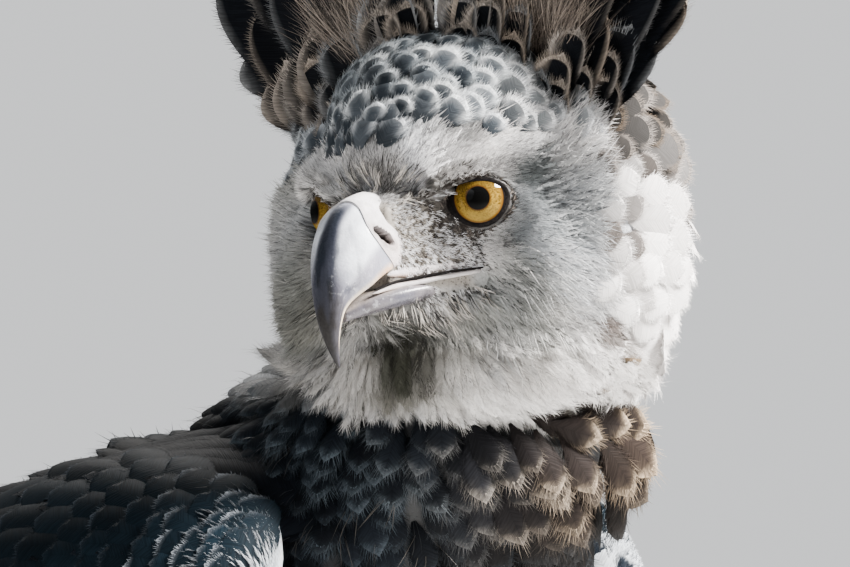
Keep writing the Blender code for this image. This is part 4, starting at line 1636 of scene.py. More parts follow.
@dataclass(frozen=True)
class Vane:
    """A contour feather: a cupped vane with free barbs round its outer edge."""

    length: float
    half_width: float
    rows: int = 5
    columns: int = 4
    widest: float = 0.62  # where along it the vane is broadest
    fullness: float = 0.6  # the smaller, the squarer the outline
    cup: float = 0.22  # how far the edges turn down, of the half width
    barbs: int = 40
    barb: float = 2.2
    barb_width: float = 0.35
    fringe_from: float = 0.35
    splay: float = 0.7  # how far the barbs point outwards rather than along
    ruffle: float = 0.15  # how far barbs leave the vane's plane

    def outline(self, s: Array) -> Array:
        """Half width at a share of the length."""
        power = math.log(0.5) / math.log(self.widest)
        return self.half_width * np.sin(np.pi * np.clip(s, 0, 1) ** power) ** self.fullness

    def cut(self, rng: np.random.Generator) -> Pattern:
        """One feather of this form, with its own frayed edge.

        Args:
            rng: the source of chance.

        Returns:
            The cut feather.
        """
        j = np.linspace(0, 1, self.rows + 1)
        s = 1 - (1 - j) ** 1.5
        x = np.linspace(-1, 1, self.columns + 1)
        wide = self.outline(s)
        wide[0], wide[-1] = self.half_width * 0.12, self.half_width * 0.10
        grid_s, grid_x = np.meshgrid(s, x, indexing="ij")
        across = grid_x * wide[:, None]
        along = grid_s * self.length * (1 - 0.06 * grid_x**2 * grid_s)
        lift = -self.cup * across**2 / self.half_width
        inner = np.minimum((1 - np.abs(grid_x)) * wide[:, None], (1 - grid_s) * self.length)
        edge = 1 - np.clip(inner / self.half_width, 0, 1)
        parts = [v.ravel() for v in (along, across, lift, edge)]
        strand = np.full(len(parts[0]), 0.5)
        quads = grid_faces(self.rows + 1, self.columns + 1)
        threes = np.zeros((0, 3), int)
        if self.barbs:
            more, free_strand, threes = self._fringe(rng, len(parts[0]))
            parts = [np.concatenate([a, b]) for a, b in zip(parts, more)]
            strand = np.concatenate([strand, free_strand])
        return Pattern(*parts, strand, quads, threes)

    def _fringe(self, rng: np.random.Generator, first: int) -> tuple[list[Array], Array, Array]:
        """The free barbs: slim triangles rooted just inside the outline.

        Args:
            rng: the source of chance.
            first: the number of the first vertex.

        Returns:
            Along, across, lift and edge of the barbs, their strands, and their triangles.
        """
        s = np.linspace(self.fringe_from, 1.0, 60)
        side = np.stack([s * self.length * (1 - 0.06 * s), self.outline(s)], axis=1)
        line = np.concatenate([side * [1, -1], side[::-1]])
        run = np.concatenate([[0], np.cumsum(np.linalg.norm(np.diff(line, axis=0), axis=1))])
        where = (np.arange(self.barbs) + 0.5 + rng.uniform(-0.3, 0.3, self.barbs)) / self.barbs * run[-1]
        base = np.stack([np.interp(where, run, line[:, k]) for k in (0, 1)], axis=1)
        ahead = np.stack([np.interp(where + 0.3, run, line[:, k]) for k in (0, 1)], axis=1)
        tangent = unit(ahead - base + 1e-9)
        outward = np.stack([tangent[:, 1], -tangent[:, 0]], axis=1)
        inward = np.sum(outward * (base - [0.6 * self.length, 0]), axis=1) < 0
        outward = outward * np.where(inward, -1, 1)[:, None]
        way = outward * self.splay + np.array([1.0, 0.0]) * (1 - self.splay)
        way = unit(way + rng.normal(0, 0.14, (self.barbs, 2)))
        reach = self.barb * rng.uniform(0.55, 1.2, self.barbs)
        root = base - way * 0.45 * self.barb
        tip = base + way * reach[:, None]
        wide = np.stack([-way[:, 1], way[:, 0]], axis=1) * self.barb_width * 0.5
        points = np.stack([root - wide, root + wide, tip], axis=1).reshape(-1, 2)
        at_tip = np.tile([0, 0, 1], self.barbs)
        out = np.repeat(rng.normal(0, self.ruffle, self.barbs), 3) * at_tip * self.barb
        lift = -self.cup * points[:, 1] ** 2 / self.half_width + out + 0.05
        edge = np.tile([1.0, 1.0, 1.35], self.barbs)
        strand = np.repeat(rng.random(self.barbs), 3)
        faces = first + np.arange(3 * self.barbs).reshape(-1, 3)
        return [points[:, 0], points[:, 1], lift, edge], strand, self._outward(points, faces, first)

    @staticmethod
    def _outward(points: Array, faces: Array, first: int) -> Array:
        """Turns triangles so that they face the way the vane does.

        Args:
            points: rows of along and across.
            faces: rows of vertex numbers.
            first: the number of the first vertex.

        Returns:
            The triangles, turned where needed.
        """
        a, b, c = (points[faces[:, k] - first] for k in range(3))
        turned = (b[:, 1] - a[:, 1]) * (c[:, 0] - a[:, 0]) - (b[:, 0] - a[:, 0]) * (c[:, 1] - a[:, 1])
        return np.where((turned < 0)[:, None], faces[:, [0, 2, 1]], faces)


@dataclass(frozen=True)
class Tuft:
    """A tuft of hair-like barbs from one follicle."""

    length: float
    blades: int = 5
    blade_width: float = 0.45
    fan: float = 0.22  # radians to each side
    scatter: float = 0.8  # mm between the outer blades' roots and the middle
    segments: int = 3
    ruffle: float = 0.10
    curl: float = 0.05

    def cut(self, rng: np.random.Generator) -> Pattern:
        """One tuft of this form.

        Args:
            rng: the source of chance.

        Returns:
            The cut tuft.
        """
        parts: list[list[Array]] = [[], [], [], [], []]
        quads, threes, first = [], [], 0
        for _ in range(self.blades):
            t = np.arange(self.segments + 1) / self.segments
            long = self.length * rng.uniform(0.72, 1.08)
            lean = rng.normal(0, self.fan)
            start = rng.uniform(-self.scatter, self.scatter)
            back = rng.uniform(-0.1, 0.12) * self.length
            bend = rng.normal(0, 0.10) * self.length
            taper = np.array([0.7, *([1.0] * (self.segments - 1)), 0.0])
            wide = self.blade_width * 0.5 * taper * rng.uniform(0.8, 1.2)
            middle = start + math.sin(lean) * long * t + bend * t**2
            run = back + math.cos(lean) * long * t
            out = (rng.normal(0, self.ruffle) * t + self.curl * t * (1 - t)) * self.length
            strand = rng.random()
            for k in range(self.segments):
                for sign in (-1, 1):
                    values = (run[k], middle[k] + sign * wide[k], out[k], t[k], strand)
                    for part, value in zip(parts, values):
                        part.append(value)
            for part, value in zip(parts, (run[-1], middle[-1], out[-1], 1.0, strand)):
                part.append(value)
            for k in range(self.segments - 1):
                a = first + 2 * k
                quads.append([a, a + 1, a + 3, a + 2])
            a = first + 2 * (self.segments - 1)
            threes.append([a, a + 1, a + 2])
            first += 2 * self.segments + 1
        arrays = [np.array(part, float) for part in parts]
        return Pattern(*arrays, np.array(quads).reshape(-1, 4), np.array(threes))


@dataclass
class Batch:
    """Many feathers of one form, each laid along its own curve.

    root and tip are points, root_out and tip_out the ways out there, unwrap the place on the unwrap.
    rise is the height of the curve's middle over the straight line, and broad scales the width.
    base, fringe and streak are the colours of the middle, the edge and the odd dark barb.
    """

    root: Array
    tip: Array
    root_out: Array
    tip_out: Array
    unwrap: Array
    base: Array
    fringe: Array
    rise: Array | float = 0.0
    broad: Array | float = 1.0
    fringe_low: float = 0.55
    fringe_high: float = 0.95
    streak: Array | None = None
    streak_share: Array | float = 0.0
    # painted shade: share by which each feather darkens towards its root, where the feathers over it shade it
    root_dark: float = 0.25
    strand_play: float = 0.22
    tip_from: float = 0.0  # share of the length at which the edge's colour begins
    bar: Array | None = None  # colour of the cross bars
    bar_gap: float = 12.0  # millimetres from bar to bar, counted from the tip
    bar_wide: float = 0.5  # share of the gap
    patch: float = BAKE_PATCH

    def __len__(self) -> int:
        """How many feathers."""
        return len(self.root)


@dataclass
class Heap:
    """The arrays of one piece, gathered feather by feather."""

    points: list[Array] = field(default_factory=list)
    colours: list[Array] = field(default_factory=list)
    vanes: list[Array] = field(default_factory=list)
    places: list[Array] = field(default_factory=list)
    quads: list[Array] = field(default_factory=list)
    threes: list[Array] = field(default_factory=list)
    vertices: int = 0
    triangles: int = 0

    def add(self, pattern: Pattern, feathers: int, laid: tuple[Array, Array, Array, Array]) -> None:
        """Adds feathers of one pattern.

        Args:
            pattern: how each is cut.
            feathers: how many.
            laid: their points, colours, vane vectors and places on the unwrap.
        """
        step = self.vertices + np.arange(feathers)[:, None, None] * len(pattern.along)
        for faces, heap in ((pattern.quads, self.quads), (pattern.threes, self.threes)):
            if len(faces):
                heap.append((faces[None] + step).reshape(-1, faces.shape[1]))
        for values, heap in zip(laid, (self.points, self.colours, self.vanes, self.places)):
            heap.append(values)
        self.vertices += len(laid[0])
        self.triangles += feathers * pattern.triangles()


@dataclass
class Coat:
    """Lays feathers and keeps the pieces they make."""

    rng: np.random.Generator
    triangles: int = 0
    pieces: list[bpy.types.Object] = field(default_factory=list)

    def lay(
        self, name: str, form: Vane | Tuft, batch: Batch, finish: Finish, slot: str, variants: int = 6
    ) -> None:
        """Makes the feathers of a batch as one or more pieces.

        Args:
            name: what the piece is called; further pieces get a number.
            form: the feather's pattern.
            batch: where the feathers lie and how they are coloured.
            finish: their surface.
            slot: the record's material slot; not used.
            variants: how many different cuts of the form are used.
        """
        patterns = [form.cut(self.rng) for _ in range(variants)]
        kind = self.rng.integers(0, variants, len(batch))
        heap, part = Heap(), 1
        for i, pattern in enumerate(patterns):
            chosen = np.flatnonzero(kind == i)
            room = max(1, MOST_TRIANGLES // max(1, pattern.triangles()))
            for start in range(0, len(chosen), room):
                some = chosen[start : start + room]
                if heap.triangles + len(some) * pattern.triangles() > MOST_TRIANGLES:
                    self._finish_piece(f"{name}_{part}", heap, finish)
                    heap, part = Heap(), part + 1
                heap.add(pattern, len(some), self._curve(pattern, form.length, batch, some))
        if heap.points:
            self._finish_piece(name if part == 1 else f"{name}_{part}", heap, finish)

    def _finish_piece(self, name: str, heap: Heap, finish: Finish) -> None:
        """Turns gathered arrays into one piece of the model.

        Args:
            name: what it is called.
            heap: its arrays.
            finish: its surface.
        """
        faces = [np.concatenate(kind) for kind in (heap.quads, heap.threes) if kind]
        obj = mesh_object(name, np.concatenate(heap.points), faces)
        put_colours(obj.data, "plume", np.concatenate(heap.colours))
        put_vectors(obj.data, "vane", np.concatenate(heap.vanes))
        put_bake_map(obj.data, np.concatenate(heap.places))
        finish.dress(obj)
        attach(obj, BODY)
        self.triangles += heap.triangles
        self.pieces.append(obj)
        LOG.info("%s: %d triangles", name, heap.triangles)

    def _curve(
        self, pattern: Pattern, length: float, batch: Batch, some: Array
    ) -> tuple[Array, Array, Array, Array]:
        """Bends one pattern along the curves of some feathers.

        Args:
            pattern: one cut feather.
            length: its length, in mm.
            batch: all feathers of the form.
            some: numbers of the feathers that are laid.

        Returns:
            Points, colours, vane vectors and places on the unwrap, all flattened.
        """

        def own_value(value: Array | float) -> Array:
            """What each of the feathers has of a value of the batch."""
            return np.broadcast_to(value, (len(batch),))[some][:, None, None]

        root, tip = batch.root[some][:, None], batch.tip[some][:, None]
        out0, out1 = batch.root_out[some][:, None], batch.tip_out[some][:, None]
        along_vane, across_vane = pattern.along[None, :, None], pattern.across[None, :, None]
        s = (pattern.along / length)[None, :, None]
        scale = np.linalg.norm(tip - root, axis=-1, keepdims=True) / (length * MM)
        knee = (root + tip) / 2 + unit(out0 + out1) * own_value(batch.rise) * 2
        line = root * (1 - s) ** 2 + knee * 2 * s * (1 - s) + tip * s * s
        along = unit((knee - root) * 2 * (1 - s) + (tip - knee) * 2 * s)
        out = unit(out0 * (1 - s) + out1 * s)
        side = unit(np.cross(along, out))
        out = np.cross(side, along)
        wide = scale * own_value(batch.broad)
        points = line + side * (across_vane * MM * wide)
        points = points + out * (pattern.lift[None, :, None] * MM * scale)
        base, fringe = batch.base[some][:, None], batch.fringe[some][:, None]
        share = smooth(batch.fringe_low, batch.fringe_high, pattern.edge)[None, :, None]
        own = self.rng.random((len(some), 1, 1))
        if batch.bar is not None:
            run = (length - along_vane) * scale - 0.25 * np.abs(across_vane)
            turn = np.abs((run / batch.bar_gap + 0.12 * own) % 1.0 - 0.5) * 2
            barred = smooth(1 - batch.bar_wide - 0.12, 1 - batch.bar_wide + 0.12, turn)
            base = base * (1 - barred) + batch.bar[some][:, None] * barred
        if batch.tip_from:
            share = share * smooth(batch.tip_from, min(1.0, batch.tip_from + 0.2), s)
        colour = base * (1 - share) + fringe * share
        strand = (pattern.strand[None, :, None] * 7.31 + own * 13.7) % 1.0
        if batch.streak is not None:
            dark = (strand < own_value(batch.streak_share)).astype(float)
            colour = colour * (1 - dark) + batch.streak[some][:, None] * dark
        colour = colour * (1 + batch.strand_play * (2 * ((strand * 3.77) % 1.0) - 1))
        # painted shade: each feather darker towards its root
        colour = colour * (1 - batch.root_dark * smooth(0.45, 0.0, np.clip(s, 0, 1)))
        each = (len(some), len(pattern.along), 1)
        parts = (along_vane * scale, across_vane * wide, own)
        vane = np.concatenate([np.broadcast_to(part, each) for part in parts], axis=2)
        reach = max(np.abs(pattern.across).max(), length / 2)
        patch = np.stack([pattern.across, pattern.along - length / 2], axis=1) / reach / 2 * batch.patch
        places = batch.unwrap[some][:, None] + patch[None]
        return points.reshape(-1, 3), colour.reshape(-1, 3), vane.reshape(-1, 3), places.reshape(-1, 2)


# ---------------------------------------------------------------- plumage of the head


class Finishes:
    """The finishes of this bird."""

    SKIN = SkinFinish("bird_skin")
    DOWN = PlumeFinish(
        "face_down", spacing=0.5, slant=0.3, contrast=0.10, shaft=0.0,
        roughness=0.74, sheen=0.08, relief=0.1, gloss=0.10,
    )
    RUFF = PlumeFinish(
        "ruff_feather", spacing=0.4, slant=0.8, contrast=0.10, shaft=0.05,
        roughness=0.72, sheen=0.06, relief=0.16, gloss=0.08,
    )
    CROWN = PlumeFinish(
        "crown_feather", spacing=0.5, slant=0.7, contrast=0.13, shaft=0.0,
        roughness=0.66, sheen=0.0, relief=0.16, gloss=0.10,
    )
    DARK = PlumeFinish(
        "dark_feather", spacing=0.6, slant=0.8, contrast=0.20, shaft=0.12,
        roughness=0.58, sheen=0.0, relief=0.20, gloss=0.045,
    )
    QUILL = PlumeFinish(
        "quill_feather", spacing=0.7, slant=0.9, contrast=0.35, shaft=0.25,
        roughness=0.46, sheen=0.0, gloss=0.12,
    )
    WHITE = PlumeFinish(
        "white_feather", spacing=0.6, slant=0.8, contrast=0.15, shaft=0.08, roughness=0.7, sheen=0.12
    )
    BRISTLE = PlumeFinish(
        "bristle", spacing=2.0, slant=0.0, contrast=0.05, shaft=0.0, roughness=0.4, sheen=0.0, relief=0.0
    )
    SCUTE = PlumeFinish(
        "leg_scute", spacing=6.0, slant=0.0, contrast=0.08, shaft=0.0, roughness=0.42, sheen=0.0, relief=0.1
    )
    BILL = HornFinish("bill_horn", roughness=0.30, coat=0.35)
    CERE = HornFinish(
        "cere_skin", patch=0.004, strength=0.30, roughness=0.48, coat=0.05, relief=0.35,
        dark=(0.16, 0.14, 0.14),
    )
    CLAW = HornFinish("claw_horn", patch=0.006, strength=0.25, roughness=0.26, coat=0.4)
    EYE = EyeFinish("eye")
    LID = LidFinish("eyelid")
    FLOOR = FloorFinish("floor")


@dataclass
class Plumage:
    """What all feather tracts share: how a feather is laid over the skin."""

    head: HeadFrame
    skin: Skin
    marks: Markings
    coat: Coat

    def _wander(self, spots: Spots, way: Array, amount: float, size: float, seed: int) -> Array:
        """Turns the lie a little to and fro, in smooth swirls.

        Args:
            spots: places on the skin.
            way: the way each feather lies.
            amount: the swing, in radians.
            size: of a swirl, in metres.
            seed: which field.

        Returns:
            The ways, turned.
        """
        swing = (Noise.cloud(spots.points, size, seed) - 0.5) * 2 * amount
        swing = swing + self.coat.rng.normal(0, amount * 0.35, len(swing))
        across = np.cross(spots.normals, way)
        return unit(way * np.cos(swing)[:, None] + across * np.sin(swing)[:, None])

    @staticmethod
    def lighter(base: Array, share: Array | float) -> Array:
        """The same colours paler, the dark ones least."""
        return mix(base, Tone.WHITE, share * smooth(0.02, 0.45, base.mean(axis=1)))

    def batch(
        self, spots: Spots, way: Array, length: Array, lift: Array, base: Array, fringe: Array, **more: object
    ) -> Batch:
        """Lays feathers over the skin from their roots along a direction.

        Args:
            spots: the roots.
            way: the direction of each, along the skin.
            length: in metres.
            lift: height of the tip over the skin, in metres.
            base: colours of the vanes.
            fringe: colours of their edges.
            more: further settings of the batch.

        Returns:
            The batch, ready to be laid.
        """
        length = np.broadcast_to(length, (len(spots),))[:, None]
        lift = np.broadcast_to(lift, (len(spots),))[:, None]
        under = self.skin.nearest(spots.points + way * length)
        tip = under.points + under.normals * lift
        root = spots.points - spots.normals * 0.0004
        return Batch(root, tip, spots.normals, under.normals, spots.unwrap, base, fringe, **more)


@dataclass
class HeadPlumage(Plumage):
    """Fine down of the face, scalloped crown, ruff, bib and the bristles round the bill."""

    orbits: tuple[Orbit, Orbit]
    bill_root: tuple[float, float, float] = (22.0, 0.0, -6.0)  # what the head's plumage streams away from
    face_tufts: int = 15000
    lore_bristles: int = 3600
    cheek_plumes: int = 2600
    brow_tufts: int = 1500
    bill_bristles: int = 360
    lash_tufts: int = 420

    def build(self) -> None:
        """Grows every tract of the head."""
        self._zones()
        self.face()
        self.lores()
        self.crown()
        self.rows()
        self.ruff()

    def _zones(self) -> None:
        """Decides for each vertex of the skin which tract it belongs to."""
        points = self.skin.corners
        f, l, u = self.head.inn(points).T
        a = np.abs(l)
        head = self.marks.pale_head(points) > 0.5
        clear = np.ones(len(points), bool)
        for orbit in self.orbits:
            far, angle, turn = orbit.polar(self.head.inn(points))
            beyond = orbit.beyond(angle, turn)
            clear &= ~((beyond < 2.2) & (far < 22))
        mouth = (f > -2) & (np.abs(u + 26.5 + 0.06 * (34 - a)) < 3.4) & (a < 35)
        horn = (f > 21) & (a < 15) & (u < 1) & (u > -37.5)
        jaw = (f > 9) & (u < -28) & (u > -36.5) & (a < 20)
        bill = mouth | horn | jaw
        blur = 5.0 * (self.coat.rng.random(len(f)) - 0.5)
        lore = (f + blur > -3) & (u + blur < 1) & (u - 0.6 * blur > -33) & (a + blur < 35)
        crown_edge = 16 + 7 * smooth(2, 20, l) - 14 * smooth(-44, -56, l)
        crown_edge = crown_edge + 7 * (self.coat.rng.random(len(f)) - 0.5) + 0.12 * np.maximum(0, f + 10)
        aside = 0.8 * l - 0.6 * f + 7 * (self.coat.rng.random(len(f)) - 0.5)
        self.row_zone = head & (aside > 61) & (f < -20) & (f > -104) & (u > -50)
        self.crown_zone = head & (u > crown_edge) & (f > -92) & ~self.row_zone
        behind = (f < -34 - 0.35 * np.maximum(0, u)) & (a > 30) | (f < -62) | (u < -44)
        self.ruff_zone = head & ~self.crown_zone & ~self.row_zone & behind
        self.face_zone = head & clear & ~bill & ~self.crown_zone & ~self.ruff_zone & ~self.row_zone
        self.lore_zone = self.face_zone & lore
        self.face_zone &= ~lore

    def stream(self, spots: Spots) -> Array:
        """The way the head's plumage lies: away from the bill, and down on the throat and ruff.

        Args:
            spots: places on the skin.

        Returns:
            A direction for each place.
        """
        places = self.head.inn(spots.points)
        f, u = places[:, 0], places[:, 2]
        way = unit(places - np.array(self.bill_root))
        fall = 0.55 * smooth(-18, -46, u) + 0.75 * smooth(-42, -66, f) * smooth(34, 8, u)
        way[:, 2] -= fall
        return laid_flat(self.head.turn_out(unit(way)), spots.normals)

    def face(self) -> None:
        """Hair-like down from the bill to the ruff."""
        places = self.head.inn(self.skin.corners)
        f, l, u = places.T
        near_eye = np.full(len(f), 60.0)
        for orbit in self.orbits:
            away = np.linalg.norm(places - orbit.middle - orbit.axes[:, 2] * 10, axis=1)
            near_eye = np.minimum(near_eye, away)
        to_bill = np.sqrt((f - 16) ** 2 + l**2 + (u + 8) ** 2)
        near = np.minimum(near_eye - 8, to_bill - 14)
        density = self.face_zone * (1.0 + 1.6 * smooth(22, 4, near))
        spots = self.skin.sown(self.face_tufts, density, self.coat.rng)
        place = self.head.inn(spots.points)
        gap = near[self.skin.triangles[spots.which, 0]]
        length = (2.6 + 8.0 * smooth(0, 34, gap)) * MM * self.coat.rng.uniform(0.8, 1.2, len(spots))
        way = self._wander(spots, self.stream(spots), 0.34, 0.012, 41)
        base = self.marks.on_head(place)
        forehead = smooth(-8, 0, place[:, 2]) * smooth(26, 14, np.abs(place[:, 1]))
        forehead = forehead * smooth(-30, -12, place[:, 0])
        locks = self.locks(place, 4.2, 83)
        base = base * (0.66 + 0.60 * locks)[:, None]
        dark = 0.05 + 0.20 * smooth(0.45, 0.2, locks) + 0.20 * smooth(10, 1, gap) + 0.30 * forehead
        lift = spots.depth * self.coat.rng.uniform(0.5, 1.05, len(spots)) + (0.0003 + self.bulk(place))
        batch = self.batch(
            spots, way, length, lift, base, self.lighter(base, 0.20),
            streak=base * 0.30, streak_share=dark, rise=0.0004, broad=0.55 + 0.4 * smooth(0, 20, gap),
            strand_play=0.14, root_dark=0.5,
        )
        form = Tuft(length=8.0, blades=5, blade_width=0.36, fan=0.16, scatter=0.9, ruffle=0.06, curl=0.04)
        self.coat.lay("face_down", form, batch, Finishes.DOWN, "face_plumage", variants=9)
        self.cheeks(near)
        self.brows()

    @staticmethod
    def locks(places: Array, size: float, seed: int) -> Array:
        """Soft streaks along the lie of the head's plumage, about 0 to 1."""
        return Noise.cloud(places * [0.26, 1.0, 0.85], size, seed)

    @staticmethod
    def bulk(places: Array) -> Array:
        """Extra depth of the plumage, in metres: the bird's right cheek stands out fuller."""
        f, l, u = places.T
        return 0.0045 * smooth(-22, -42, l) * smooth(30, 12, u) * smooth(20, -4, f)

    def cheeks(self, near: Array) -> None:
        """Longer loose plumes over temples, cheeks and jaw, lighter at their tips.

        Args:
            near: millimetres from eye or bill, at each vertex.
        """
        zone = self.face_zone * smooth(9, 20, near)
        spots = self.skin.sown(self.cheek_plumes, zone, self.coat.rng)
        place = self.head.inn(spots.points)
        own = self.coat.rng.random(len(spots))
        way = self._wander(spots, self.stream(spots), 0.36, 0.016, 141)
        locks = self.locks(place, 5.5, 143)
        base = self.marks.on_head(place) * (0.60 + 0.70 * locks)[:, None]
        base = self.lighter(base, 0.12 * own)
        lift = spots.depth * (0.8 + 0.4 * own) + self.bulk(place)
        batch = self.batch(
            spots, way, (9.5 + 5.0 * own) * MM, lift, base, self.lighter(base, 0.22),
            streak=base * 0.32, streak_share=0.06 + 0.16 * smooth(0.45, 0.25, locks),
            rise=0.0008, strand_play=0.16, root_dark=0.25,
        )
        form = Vane(
            length=12.0, half_width=0.5, rows=4, columns=1, widest=0.5, fullness=0.9, cup=0.15,
            barbs=26, barb=4.6, barb_width=0.22, fringe_from=0.02, splay=0.34, ruffle=0.2,
        )
        self.coat.lay("cheek_plumes", form, batch, Finishes.RUFF, "face_plumage", variants=9)

    def brows(self) -> None:
        """Short speckled down on the ledge over the eye, and streaked tufts that rise behind it; along the
        ledge's lower edge nearly all are dark, as painted shade.
        """
        rng, count = self.coat.rng, self.brow_tufts
        for orbit in self.orbits:
            line = orbit.brow(240)
            index = rng.integers(8, 232, count)
            up = rng.uniform(-1.2, 4.2, count)
            along = unit(np.gradient(line, axis=0))[index]
            out = orbit.axes[:, 2]
            sunk = 1.0 - np.sqrt(np.maximum(2.56 - up**2, 0)) + 0.45 * np.maximum(0, up - 1.4)
            root = line[index] + up[:, None] * UP - out * sunk[:, None]
            root = root + rng.normal(0, 0.25, (count, 3))
            way = unit(along * rng.uniform(0.5, 1.0, (count, 1)) + [0, 0, 0.25] + out * 0.25)
            way = unit(way + rng.normal(0, 0.18, way.shape))
            reach = (1.3 + 0.5 * up.clip(0) + rng.random(count))[:, None]
            roots, tips = self.head.out(root), self.head.out(root + way * reach)
            under = self.skin.nearest(roots)
            face = self.head.turn_out(unit(rows_of(out, count) + [0, 0, 0.3]))
            # dark speckles throughout, and painted shade: nearly all dark along the ledge's lower edge
            speckle_and_shade = rng.random((count, 1)) < 0.14 + 0.75 * smooth(1.2, -0.8, up)[:, None]
            pale = mix(rows_of(rgb(150, 148, 146), count), Tone.WHITE, rng.random((count, 1)))
            inner = smooth(90, 30, index)
            base = np.where(speckle_and_shade, rgb(44, 38, 34), mix(pale, rgb(124, 120, 114), 0.5 * inner))
            batch = Batch(
                roots, tips, face, face, under.unwrap, base, base, rise=0.0003, root_dark=0.3, strand_play=0.2
            )
            form = Tuft(length=4.0, blades=4, blade_width=0.30, fan=0.3, scatter=0.5, segments=2, ruffle=0.1)
            name = f"brow_down_{orbit.side.label}"
            self.coat.lay(name, form, batch, Finishes.DOWN, "face_plumage", variants=5)

    def lores(self) -> None:
        """Tiny bristles, dark and pale, on the skin between bill and eye."""
        spots = self.skin.sown(self.lore_bristles, self.lore_zone.astype(float), self.coat.rng)
        place = self.head.inn(spots.points)
        own = self.coat.rng.random(len(spots))
        far = np.clip(np.linalg.norm(place - [16, 12, -10], axis=1) / 22, 0, 1)
        socket = np.full(len(spots), 99.0)
        for orbit in self.orbits:
            reach, angle, turn = orbit.polar(place)
            socket = np.minimum(socket, np.where(reach < 22, orbit.beyond(angle, turn), 99.0))
        # painted shade: hardly any pale bristles next to the eye, in its front pocket
        pale = own > 0.64 + 0.26 * smooth(8, 1, socket)
        light = mix(Tone.PALE, Tone.WHITE, 0.5)
        base = mix(rows_of(rgb(44, 38, 35), len(spots)), light, pale.astype(float))
        way = self._wander(spots, self.stream(spots), 0.5, 0.008, 45)
        form = Tuft(length=3.0, blades=3, blade_width=0.24, fan=0.35, scatter=0.5, segments=2, ruffle=0.12)
        length, lift = (1.3 + 2.2 * far * own) * MM, (0.5 + 0.5 * own) * MM
        batch = self.batch(spots, way, length, lift, base, base, rise=0.0003)
        self.coat.lay("lore_bristles", form, batch, Finishes.BRISTLE, "face_plumage")
        self.lashes()
        self.bristles()

    def lashes(self) -> None:
        """Short dark bristles that ring the lids, thickest before the eye."""
        rng, count = self.coat.rng, self.lash_tufts
        for orbit in self.orbits:
            turn = rng.uniform(0, 2 * math.pi, count)
            front = np.maximum(0, -np.cos(turn)) ** 2
            reach = rng.uniform(1.4, 3.6 + 2.6 * front)
            edge, ball = orbit.opening_angle(turn), orbit.opening.radius
            root = orbit.place(np.full(count, ball + 1.2), edge + reach / ball, turn)
            aside = turn + rng.normal(0, 0.12, count)
            tip = orbit.place(np.full(count, ball + 1.9), edge + (reach + 2.4) / ball, aside)
            near = self.skin.nearest(self.head.out(root))
            root = near.points
            tip = self.skin.nearest(self.head.out(tip)).points + near.normals * (0.6 * MM)
            base = mix(rows_of(rgb(30, 26, 24), count), rgb(120, 110, 102), rng.random(count) ** 3)
            batch = Batch(
                root, tip, near.normals, near.normals, near.unwrap, base, base, rise=0.0003, root_dark=0.3
            )
            form = Tuft(length=3.0, blades=4, blade_width=0.24, fan=0.3, scatter=0.5, segments=2, ruffle=0.12)
            name = f"lashes_{orbit.side.label}"
            self.coat.lay(name, form, batch, Finishes.BRISTLE, "face_plumage", variants=4)

    def bristles(self) -> None:
        """Long thin bristles that fan out from behind the bill, over the forehead and under the jaw."""
        f, l, u = self.head.inn(self.skin.corners).T
        a = np.abs(l)
        over = (u > -3) & (u < 9) & (f > 2) & (f < 20) & (a < 24)
        under = (u < -33) & (u > -44) & (f > 2) & (a < 24)
        corner = (u > -34) & (u < -29) & (f > -4) & (f < 14) & (a < 36)
        density = 0.8 * over * (a < 15) + 0.9 * under + 0.8 * corner
        spots = self.skin.sown(self.bill_bristles, density, self.coat.rng)
        place = self.head.inn(spots.points)
        own = self.coat.rng.random(len(spots))
        way = self.stream(spots)
        fan = self.head.turn_out(unit(place * [0.2, 1.0, 0.0] + [0, 0, 12] * np.sign(place[:, 2:] + 15)))
        way = laid_flat(unit(way + 0.7 * fan), spots.normals)
        way = self._wander(spots, way, 0.5, 0.006, 147)
        base = mix(rows_of(rgb(30, 27, 26), len(spots)), rgb(190, 184, 176), (own > 0.62).astype(float))
        length = (5.0 + 7.0 * self.coat.rng.random(len(spots))) * MM
        form = Tuft(
            length=9.0, blades=3, blade_width=0.17, fan=0.2, scatter=0.6, segments=4, ruffle=0.05, curl=0.12
        )
        batch = self.batch(spots, way, length, (1.6 + 2.4 * own) * MM, base, base, rise=0.0010)
        self.coat.lay("bill_bristles", form, batch, Finishes.BRISTLE, "face_plumage")

    def crown(self) -> None:
        """Rounded dark feathers with pale combed edges, in tiers over the crown; painted light makes them
        paler on the bird's left side.
        """
        spots = self.in_rows(self.crown_zone, 4.9, 6.4, 6.0, 131)
        place = self.head.inn(spots.points)
        own, other = self.coat.rng.random(len(spots)), self.coat.rng.random(len(spots))
        scale = 0.78 + 0.48 * other
        way = self._wander(spots, self.stream(spots), 0.62, 0.020, 43)
        cloud = Noise.cloud(place, 13.0, 51)
        light = smooth(0.30, 0.70, cloud) * smooth(68, 56, place[:, 2])
        base = mix(Tone.SLATE, Tone.GREY, (0.02 + 0.30 * light * other)[:, None])
        base = mix(base, Tone.BLACK, 0.45 * smooth(50, 62, place[:, 2]))
        fringe = mix(rgb(140, 148, 154), rgb(228, 232, 234), (0.10 + 0.90 * own * light)[:, None])
